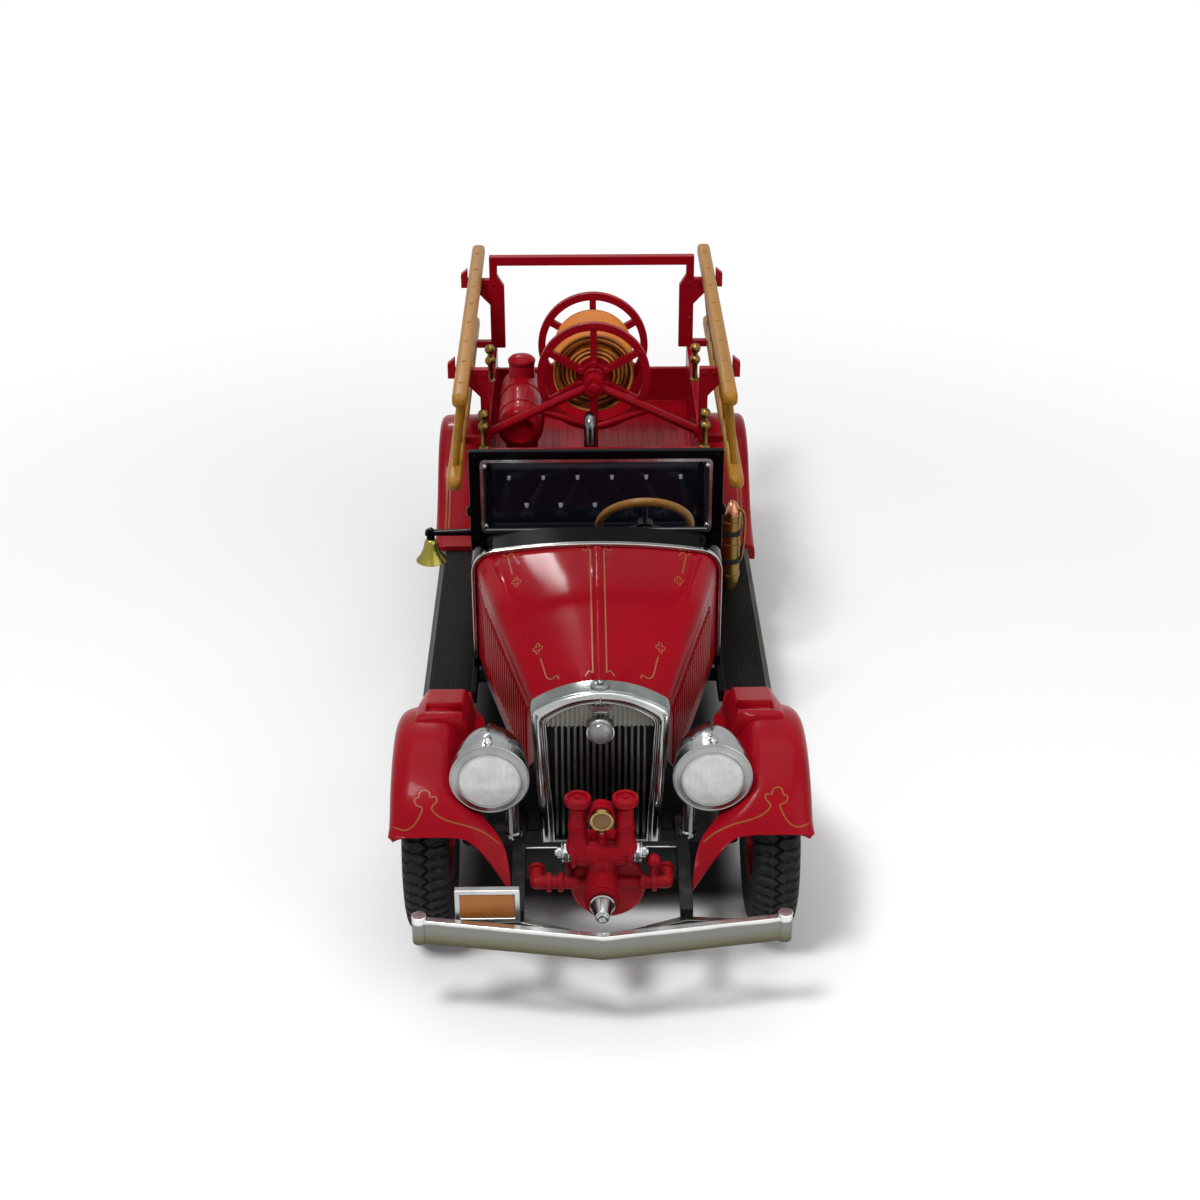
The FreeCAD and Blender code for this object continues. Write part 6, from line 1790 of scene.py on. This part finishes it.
@dataclass(frozen=True)
class Boards:
    """Lengthwise ribs and edge beads of the running boards, and the tread of the rear step."""

    inner: float = 18.9
    outer: float = 25.4
    top: float = 16.2
    start: float = 30.6
    end: float = 77.6
    ribs: int = 13
    step_half: float = 17.0
    step_top: float = 14.4
    treads: tuple[float, float, int] = (126.2, 132.0, 9)

    def build(self) -> None:
        """Makes ribs, beads and tread."""
        for side in Side:
            s = side.value
            form = Form()
            for x in np.linspace(self.inner + 0.5, self.outer - 0.9, self.ribs):
                form.strip(lengthwise(x * s, self.start, self.end, self.top), (0, 0, 1), 0.24, 0.14)
            add_piece(f"board_ribs_{side.word}", form, BOARD)
            edge = lengthwise((self.outer + 0.02) * s, self.start, self.end, self.top - 0.12)
            bead = Form().tube(edge, 0.26, 12)
            bead.strip(edge + np.array([-0.32 * s, 0, 0.12]), (0, 0, 1), 0.45, 0.2)
            add_piece(f"board_edge_{side.word}", bead, BOARD_EDGE)
        tread = Form()
        for y in behind(np.linspace(*self.treads)):
            line = np.linspace([-self.step_half, y, self.step_top],
                               [self.step_half, y, self.step_top], 6)
            tread.strip(line, (0, 0, 1), 0.3, 0.16)
        add_piece("step_tread", tread, RED)


@dataclass(frozen=True)
class Ornaments:
    """Bell, extinguisher trim and the collars of the ladder keepers."""

    bell: tuple[float, float, float] = (-24.5, 42.9, 35.65)
    bottle: tuple[float, float] = (21.7, 64.3)
    cap: float = 29.5
    bands: tuple[float, ...] = (18.6, 24.0, 27.9)
    straps: tuple[float, ...] = (21.3, 26.2)
    strap_radius: float = 1.62
    bracket: float = 18.3
    keepers: tuple[float, ...] = (75.3, 104.5)
    keeper_side: float = BED_SIDE
    keeper_foot: float = BED_TOP

    def build(self) -> None:
        """Makes bell, extinguisher trim and collars."""
        self.make_bell()
        self.make_extinguisher()
        collars = Form()
        for place in self.keepers:
            for side in Side:
                spot = (self.keeper_side * side.value, behind(place), self.keeper_foot)
                collars.lathe([(0, -0.1), (0.85, -0.1), (0.85, 0.25), (0.5, 0.4), (0.45, 0.7),
                               (0, 0.7)], spot, Along.UP, 20)
                collars.lathe([(0, 5.8), (0.86, 5.8), (0.92, 5.95), (0.86, 6.1), (0, 6.1)], spot,
                              Along.UP, 20)
        add_piece("keeper_collars", collars, DULL_BRASS)

    def make_bell(self) -> None:
        """Makes the bell with its clapper, and the elbow that it hangs from."""
        spot = (self.bell[0], behind(self.bell[1]), self.bell[2])
        bell = Form().lathe([(0, 0.1), (0.55, 0.1), (0.82, -0.1), (0.98, -0.55), (1.1, -1.15),
                             (1.36, -1.95), (1.75, -2.65), (2.15, -3.15), (2.3, -3.36),
                             (2.2, -3.46), (1.95, -3.3), (1.5, -2.5), (1.0, -1.2), (0.7, -0.5),
                             (0, -0.4)], spot, Along.UP, 48)
        bell.lathe([(0, -4.0), (0.35, -3.9), (0.42, -3.55), (0.18, -3.2), (0.14, -0.45), (0, -0.4)],
                   spot, Along.UP, 14)
        add_piece("bell_turned", bell, BRASS, replaces=["bell"], sharp=50)
        elbow = Form().lathe([(0, 0), (0.5, 0), (0.62, 0.2), (0.62, 1.4), (0.42, 1.75), (0, 1.8)],
                             spot, Along.UP, 24)
        add_piece("bell_elbow", elbow, BLACK)

    def make_extinguisher(self) -> None:
        """Makes the extinguisher's cap, its bands with the hose, and the straps that hold it."""
        x, y = self.bottle[0], behind(self.bottle[1])
        copper = Form().lathe([(0, -0.3), (0.5, -0.3), (1.3, -0.3), (1.52, -0.25), (1.5, 0.2),
                               (1.3, 0.75), (0.98, 1.2), (0.75, 1.7), (0.35, 2.0), (0, 2.05)],
                              (x, y, self.cap), Along.UP, 30)
        add_piece("extinguisher_cap", copper, COPPER)
        bands = Form()
        for z in self.bands:
            bands.lathe([(1.4, -0.3), (1.56, -0.24), (1.56, 0.24), (1.4, 0.3)], (x, y, z), Along.UP,
                        30)
        hose = np.array([(0.9, -0.5, 30.4), (1.9, -1.0, 29.6), (2.0, -1.1, 26), (1.75, -0.9, 22.5),
                         (1.5, -0.8, 21.5)]) + np.array([x, y, 0])
        bands.tube(smooth_line(hose, 40), 0.24, 10)
        add_piece("extinguisher_bands", bands, DULL_BRASS)
        straps = Form()
        for z in self.straps:
            ring = circle((x, y, z), self.strap_radius, full_turn(40), Along.UP)
            straps.strip(ring, unit(ring - np.array([x, y, z])), 0.7, 0.06, 0.2, closed=True)
            straps.slab(oblong(self.bracket, x - 1.5, y - 0.35, y + 0.35), z - 0.3, z + 0.3,
                        Along.UP)
        add_piece("extinguisher_straps", straps, SATIN)


@dataclass(frozen=True)
class Ladders:
    """Rails, turned rungs and wedged rung ends of the two ladders."""

    upper: tuple[float, float] = (20.7, 50.1)
    lower: tuple[float, float] = (22.05, 36.2)
    half: float = 1.15
    corner: float = 0.72
    start: float = 60.3
    end: float = 134.5
    first: float = 5.7
    rungs: int = 8

    def build(self) -> None:
        """Makes the ladders.

        A rail is its section carried along the ladder and swollen from nothing by a quarter sine at
        each end. A rung's radius swells by a half sine towards its middle.
        """
        section = rounded_box(2 * self.half, 2 * self.half, self.corner)
        turn = np.linspace(0, np.pi / 2, 9)
        near = self.half * 1.1 * (1 - np.cos(turn))
        places = np.concatenate([self.start + near, self.end - near[::-1]])
        swell = np.concatenate([np.sin(turn), np.sin(turn[::-1])])[:, None]
        rungs = behind(np.linspace(self.start + self.first, self.end - self.first, self.rungs))
        tilt = unit(np.array([self.lower[0] - self.upper[0], 0, self.lower[1] - self.upper[1]]))
        for side in Side:
            s = side.value
            ladder, pins = Form(), Form()
            for (x, z), way in ((self.upper, -1), (self.lower, 1)):
                wide = (x + swell * section[None, :, 0]) * s
                high = z + swell * section[None, :, 1]
                along = np.broadcast_to(behind(places)[:, None], wide.shape)
                ladder.grid(np.stack([wide, along, high], -1), caps=True)
                out = way * tilt
                spots = [((x + out[0] * self.half) * s, y, z + out[2] * self.half) for y in rungs]
                pins.studs(spots, out * np.array([s, 1, 1]), 0.42, 0.12, 12)
            for y in rungs:
                rung = np.linspace([self.lower[0] * s, y, self.lower[1]],
                                   [self.upper[0] * s, y, self.upper[1]], 15)
                ladder.tube(rung, 0.5 + 0.12 * np.sin(np.linspace(0, np.pi, 15)), 14, up=(0, 1, 0))
            add_piece(f"ladder_{side.word}_turned", ladder, WOOD,
                      replaces=[f"ladder_{side.word}"], sharp=50)
            add_piece(f"rung_ends_{side.word}", pins, WOOD)


@dataclass(frozen=True)
class Chassis:
    """Rivets along the frame's rails and clips round the leaf springs."""

    rail: float = 11.4
    rivet_height: float = 16.05
    rivets: tuple[float, float, float] = (-8, 122, 5.2)
    spring: float = 10.6
    springs: tuple[tuple[float, float], ...] = ((0.0, 7.6), (WHEELBASE, 9.2))
    clip: tuple[float, float] = (0.95, 0.3)
    clip_low: float = 13.4
    clip_high: float = 15.3

    def build(self) -> None:
        """Makes the fixings."""
        form = Form()
        wide, long = self.clip
        for side in Side:
            s = side.value
            form.studs([(self.rail * s, behind(y), self.rivet_height)
                        for y in np.arange(*self.rivets)], side.out, 0.28, 0.2, 8)
            for axle, half in self.springs:
                for offset in (-half, -1.3, 1.3, half):
                    x, y = self.spring * s, behind(axle + offset)
                    form.slab(oblong(x - wide, x + wide, y - long, y + long), self.clip_low,
                              self.clip_high, Along.UP)
        add_piece("frame_fixings", form, SATIN)


@dataclass(frozen=True)
class Cockpit:
    """Dial panel behind the windscreen, horn button of the steering wheel, and floor ribs."""

    face: float = 42.35
    panel: tuple[float, float] = (7.5, 31.3)
    panel_size: tuple[float, float] = (15.0, 3.6)
    dials: tuple[tuple[float, float], ...] = ((3.0, 1.1), (7.5, 1.35), (12.0, 1.1))
    floor: float = 18.3
    floor_half: float = 15.5
    floor_start: float = 44.6
    floor_end: float = 54.6
    ribs: int = 25

    def build(self) -> None:
        """Makes the driver's parts."""
        y = behind(self.face)
        panel = rounded_box(*self.panel_size, 1.0, 6) + np.array(self.panel)
        add_piece("dial_panel", Form().slab(panel, y - 0.1, y + 0.35, Along.BACK), BEZEL,
                  bevel=0.08)
        rings, faces = Form(), Form()
        for x, r in self.dials:
            spot = (x, y + 0.35, self.panel[1])
            rings.lathe([(r - 0.18, -0.1), (r + 0.1, -0.1), (r + 0.1, 0.12), (r - 0.02, 0.24),
                         (r - 0.18, 0.12)], spot, Along.BACK, 30)
            faces.lathe([(0, -0.05), (r - 0.15, -0.05), (r - 0.15, 0.06), (0, 0.08)], spot,
                        Along.BACK, 24)
        add_piece("dial_rings", rings, CHROME)
        add_piece("dial_faces", faces, GAUGE_FACE)
        button = [(0, 0.1), (1.25, 0.1), (1.3, 0.45), (0.8, 0.7), (0.7, 0.9), (0, 1.0)]
        add_piece("horn_button", Form().lathe(button, TAN.centre, TAN.axis, 24), BLACK)
        mat = Form()
        for x in np.linspace(-self.floor_half, self.floor_half, self.ribs):
            mat.strip(lengthwise(x, self.floor_start, self.floor_end, self.floor, 4), (0, 0, 1),
                      0.5, 0.16)
        add_piece("floor_ribs", mat, BOARD)


@dataclass(frozen=True)
class ReelTrim:
    """Hub studs and rim rivets that turn with the reel, and the nuts and caps of its stand."""

    height: float = REEL_HEIGHT
    front: float = 83.0
    rear: float = 98.6
    hub: float = 2.35
    rim: float = 8.68
    spokes: int = 6
    shaft_front: float = 78.7
    shaft_rear: float = 101.7
    post: tuple[float, float, float] = (17.4, 80.0, 37.2)

    def build(self) -> None:
        """Makes the trim."""
        form = Form()
        a = full_turn(self.spokes) + np.pi / 2
        for place, way in ((self.front, Along.FORWARD), (self.rear, Along.BACK)):
            middle = (0, behind(place), self.height)
            form.studs(circle(middle, self.hub, a, Along.BACK), way, 0.62, 0.42, 16)
            form.studs(circle(middle, self.rim, a, Along.BACK), way, 0.32, 0.22, 12)
            form.lathe([(0.95, -0.1), (1.75, -0.1), (1.75, 0.3), (1.5, 0.5), (0.95, 0.5)], middle,
                       way, 32)
        add_piece("reel_studs", form, RED, Body.REEL.value)
        nuts = Form().studs([(0, behind(self.shaft_front), self.height)], Along.FORWARD, 0.85, 0.7,
                            6)
        for side in Side:
            x, y, z = self.post[0] * side.value, behind(self.post[1]), self.post[2]
            nuts.lathe([(0, -0.1), (0.75, -0.1), (0.82, 0.3), (0.6, 0.7), (0.25, 0.9), (0, 0.92)],
                       (x, y, z), Along.UP, 18)
            nuts.studs([(x, y - 1.0, z - 0.6)], Along.FORWARD, 0.35, 0.2, 10)
        nuts.studs([(0, behind(self.shaft_rear), self.height)], Along.BACK, 0.85, 0.6, 6)
        add_piece("stand_nuts", nuts, RED)


@dataclass(frozen=True)
class Bed:
    """Slats on the bed floor, capping on its sides, tank bands with the filler, and post bolts."""

    half: float = 16.6
    floor: float = 24.6
    front: float = 75.3
    rear: float = 122.4
    slats: int = 13
    side: float = BED_SIDE
    side_top: float = BED_TOP
    capped: tuple[tuple[float, float], ...] = ((81.2, 119.9), (122.2, 123.9))
    tank: tuple[float, float] = (-12.2, 35.8)
    tank_radius: float = 3.82
    tank_bands: tuple[float, float] = (87.4, 95.0)
    filler: tuple[float, float] = (99.2, 41.55)
    posts: tuple[float, float] = (77.0, 120.6)
    post_bolts: tuple[tuple[float, float], ...] = ((17.6, 38.0), (17.6, 41.5), (17.6, 48.1),
                                                   (19.2, 48.1))

    def build(self) -> None:
        """Makes slats, capping, bands, filler cap and bolts."""
        slats = Form()
        for x in np.linspace(-self.half + 0.8, self.half - 0.8, self.slats):
            slats.strip(lengthwise(x, self.front, self.rear, self.floor, 4), (0, 0, 1), 1.5, 0.22)
        add_piece("bed_slats", slats, RED, bevel=0.05)
        capping = Form()
        for side in Side:
            for low, high in self.capped:
                capping.strip(lengthwise(self.side * side.value, low, high, self.side_top, 4),
                              (0, 0, 1), 1.3, 0.2)
        add_piece("side_capping", capping, RED, bevel=0.05)
        bands = Form()
        x, z = self.tank
        for place in self.tank_bands:
            middle = np.array([x, behind(place), z])
            ring = circle(middle, self.tank_radius, full_turn(48), Along.BACK)
            bands.strip(ring, unit(ring - middle), 0.9, 0.12, 0.1, closed=True)
        cap = [(0, 0), (2.3, 0), (2.38, 0.3), (2.3, 0.62), (1.8, 1.05), (1.0, 1.32), (0, 1.4)]
        bands.lathe(cap, (x, behind(self.filler[0]), self.filler[1]), Along.UP, 36)
        add_piece("tank_bands", bands, RED)
        bolts = Form()
        for place in self.posts:
            for side in Side:
                bolts.studs([(wide * side.value, behind(place), high)
                             for wide, high in self.post_bolts], Along.FORWARD, 0.32, 0.2, 8)
        add_piece("post_bolts", bolts, RED)


BONNET_RUNS: tuple[Points, ...] = (
    ((1.0, 35.4), (0.97, 22), (0.93, 10), (0.9, 1.4)),
    ((1.0, 35.4), (1.2, 36.2), (1.7, 35.4), (2.15, 36.1)),
    ((0.9, 1.4), (1.4, 1.9), (1.9, 0.7)),
    ((13.6, 36.3), (13.0, 35.6), (12.4, 36.3), (11.8, 35.1)),
    ((12.85, 35.3), (12.5, 33.0), (12.1, 30.4)),
    ((7.8, 7.6), (7.4, 5.4), (6.95, 2.9), (6.3, 1.9), (5.6, 2.3), (5.3, 1.4)),
)
FENDER_RUNS: tuple[Points, ...] = (
    ((26.3, -13.0, 22.7), (25.7, -13.4, 22.7), (24.7, -13.75, 22.7), (23.7, -13.5, 23.2),
     (22.97, -12.8, 24.1), (22.63, -12.1, 24.9), (23.4, -11.8, 25.2), (23.6, -11.3, 25.7),
     (23.1, -11.1, 25.9), (22.95, -10.6, 26.3), (22.4, -10.4, 26.5), (21.8, -10.6, 26.3),
     (21.6, -11.06, 25.9), (20.95, -11.06, 25.9), (20.8, -11.5, 25.5), (21.2, -11.86, 25.2),
     (21.4, -12.2, 24.8), (20.5, -12.8, 24.1), (19.1, -13.2, 23.6), (16.6, -13.4, 22.9),
     (14.5, -13.5, 21.8), (12.9, -13.65, 20.4)),
)
REAR_RUNS: tuple[Points, ...] = tuple(
    ((x, 82.0, 17.6), (x, 84.5, 18.4), (x, 87.0, 19.4), (x, 90.0, 21.5), (x, 92.1, 23.2),
     (x, 93.6, 24.5)) for x in (24.7, 25.25))


def flower(x: float, y: float) -> Points:
    """Closed line with four petals: the distance from its middle swings with twice the angle.

    It is drawn twice as long as wide.

    Args:
        x: Its middle's distance from the vehicle's middle.
        y: Its middle's distance behind the front axle.

    Returns:
        The line's places.
    """
    a = np.linspace(0, 2 * np.pi, 33)
    r = PETAL * (0.35 + 0.65 * np.abs(np.cos(2 * a)))
    return np.stack([x + r * np.cos(a), y + 2 * r * np.sin(a)], 1)


@dataclass(frozen=True)
class GoldLines:
    """Thin painted lines laid on the bonnet, the fenders and the body, and painted highlights on
    the louvres' edges.

    A panel is its middle, height, width and height across. The bonnet widens evenly from the first
    to the second of bonnet_half over its length.
    """

    line: float = 0.2
    view: tuple[float, float, float] = (0.0, 0.87, -0.5)
    above_bonnet: float = 37.0
    panel_side: float = 18.4
    panels: tuple[tuple[float, ...], ...] = ((53.0, 21.1, 16.0, 5.4), (99.0, 33.2, 46.0, 3.0))
    tail: float = 124.0
    tail_panel: tuple[float, ...] = (0.0, 26.0, 30.0, 8.0)
    panel_corner: float = 0.8
    bonnet_start: float = -1.2
    bonnet_length: float = 38.6
    bonnet_half: tuple[float, float] = (8.7, 17.7)
    first_louvre: float = 4.6
    louvre_pitch: float = 1.5
    louvre_heights: tuple[float, ...] = (21.6, 26.0, 30.4)
    louvres: int = 19

    def lay(self, form: Form, node: str, runs: Sequence[Points], side: int,
            direction: Sequence[float], width: float) -> None:
        """Adds lines that lie on a node.

        Args:
            form: The form that gets them.
            node: The node that they lie on.
            runs: Each line's places as x, distance behind the front axle, and height.
            side: 1, or -1 to mirror the lines.
            direction: The way that they fall onto the node.
            width: Width of the lines.
        """
        for run in runs:
            dense = smooth_line(run, 8 * len(run))
            dense[:, 0] *= side
            dense[:, 1] = behind(dense[:, 1])
            on, normal = laid_on(dense, node, direction)
            form.strip(on, normal, width, 0.035)

    def build(self) -> None:
        """Makes all lines."""
        bonnet, fenders = Form(), Form()
        top, flowers = ([placed(run, Along.UP, self.above_bonnet) for run in runs]
                        for runs in (BONNET_RUNS, (flower(11.5, 28.2), flower(8.2, 10.0))))
        edge = ((30.0, 1.6, 31.5), (30.0, 19.0, 31.7), (30.0, 35.6, 32.0))
        for side in Side:
            s = side.value
            for form, node, runs, direction, width in (
                    (bonnet, "bonnet", top, (0, 0, -1), self.line),
                    (bonnet, "bonnet", flowers, (0, 0, -1), 0.14),
                    (bonnet, "bonnet", (edge,), (-s, 0, 0), 0.22),
                    (fenders, f"front_fender_{side.word}", FENDER_RUNS, self.view, self.line),
                    (fenders, f"rear_fender_{side.word}", REAR_RUNS, self.view, 0.26)):
                self.lay(form, node, runs, s, direction, width)
        add_piece("bonnet_lines", bonnet, GOLD_LINE)
        add_piece("fender_lines", fenders, GOLD_LINE)
        self.line_panels()
        self.edge_louvres()

    def line_panels(self) -> None:
        """Makes the lined panels of the sides and the tail."""
        rings = [(side.out, self.panel_side * side.value, behind(middle), *rest)
                 for side in Side for middle, *rest in self.panels]
        rings.append((Along.BACK, behind(self.tail), *self.tail_panel))
        form = Form()
        for out, value, middle, height, wide, high in rings:
            flat = rounded_box(wide, high, self.panel_corner) + np.array([middle, height])
            form.strip(placed(flat, out, value), out.value, 0.22, 0.03, closed=True)
        add_piece("panel_lines", form, GOLD_LINE)

    def edge_louvres(self) -> None:
        """Makes the painted highlights along the edges of the bonnet's louvres."""
        form = Form()
        low, high = self.bonnet_half
        for k in range(self.louvres):
            along = self.first_louvre + self.louvre_pitch * k
            x = low + (high - low) * along / self.bonnet_length + 0.2
            for side in Side:
                form.tube(np.array([[x * side.value, behind(self.bonnet_start + along), z]
                                    for z in self.louvre_heights]), 0.07, 6, up=(0, 1, 0))
        add_piece("louvre_edges", form, LOUVRE_HIGHLIGHT)


@dataclass(frozen=True)
class FenderWells:
    """Flat-topped wells on the tails of the front fenders, each with an oblong recess."""

    inner: float = 16.9
    outer: float = 24.3
    start: float = 0.6
    end: float = 12.6
    start_top: float = 30.85
    end_top: float = 28.2
    recess: tuple[float, float, float, float] = (18.1, 22.9, 2.2, 5.8)
    above: float = 26.0
    sunk: float = 0.3

    def build(self) -> None:
        """Makes the wells.

        A point of the top lies on a sloping plane; within a rounded border it falls to the fender,
        and within the recess to just above it.
        """
        x = np.linspace(self.inner, self.outer, 41)[:, None]
        y = np.linspace(self.start, self.end, 60)
        top = np.interp(y, [self.start, self.end], [self.start_top, self.end_top])
        border = np.clip(np.minimum(x - self.inner, self.outer - x) / 1.3 + 0.001, None, 1)
        ends = np.clip(np.minimum((y - self.start) / 1.1, (self.end - y) / 1.2), 0, 1)
        lift = np.sqrt(np.clip(border * ends, 0, 1))
        left, right, first, last = self.recess
        sunk = (step(x, left, left + 0.3) * (1 - step(x, right - 0.3, right))
                * step(y, first, first + 0.35) * (1 - step(y, last - 0.35, last)))
        for side in Side:
            lines = [placed(np.stack([np.full_like(y, wide * side.value), behind(y)], 1),
                            Along.UP, self.above) for wide in x[:, 0]]
            on = np.stack([laid_on(line, f"front_fender_{side.word}", (0, 0, -1))[0]
                           for line in lines])
            height = np.maximum(top - on[..., 2], 0.15) * lift * (1 - sunk) + 0.05 * sunk
            up = on + height[..., None] * np.array([0, 0, 1])
            form = closed_sheet(up, on - np.array([0, 0, self.sunk]))
            add_piece(f"fender_well_{side.word}", form, RED, sharp=50)


def main() -> None:
    """Builds the model's looks in order."""
    logging.basicConfig(level=logging.INFO, format="%(name)s %(message)s")
    wheels = [Wheel(end, side) for end in ENDS for side in Side]
    for part in (Studio(), Castings(), *wheels, Headlamps(), NumberPlate(), Seat(), HoseReel(),
                 Grille(), PumpTrim(), Windscreen(), Boards(), Ornaments(), Ladders(), Chassis(),
                 Cockpit(), ReelTrim(), Bed(), GoldLines(), FenderWells()):
        part.build()


if __name__ == "__main__":
    main()
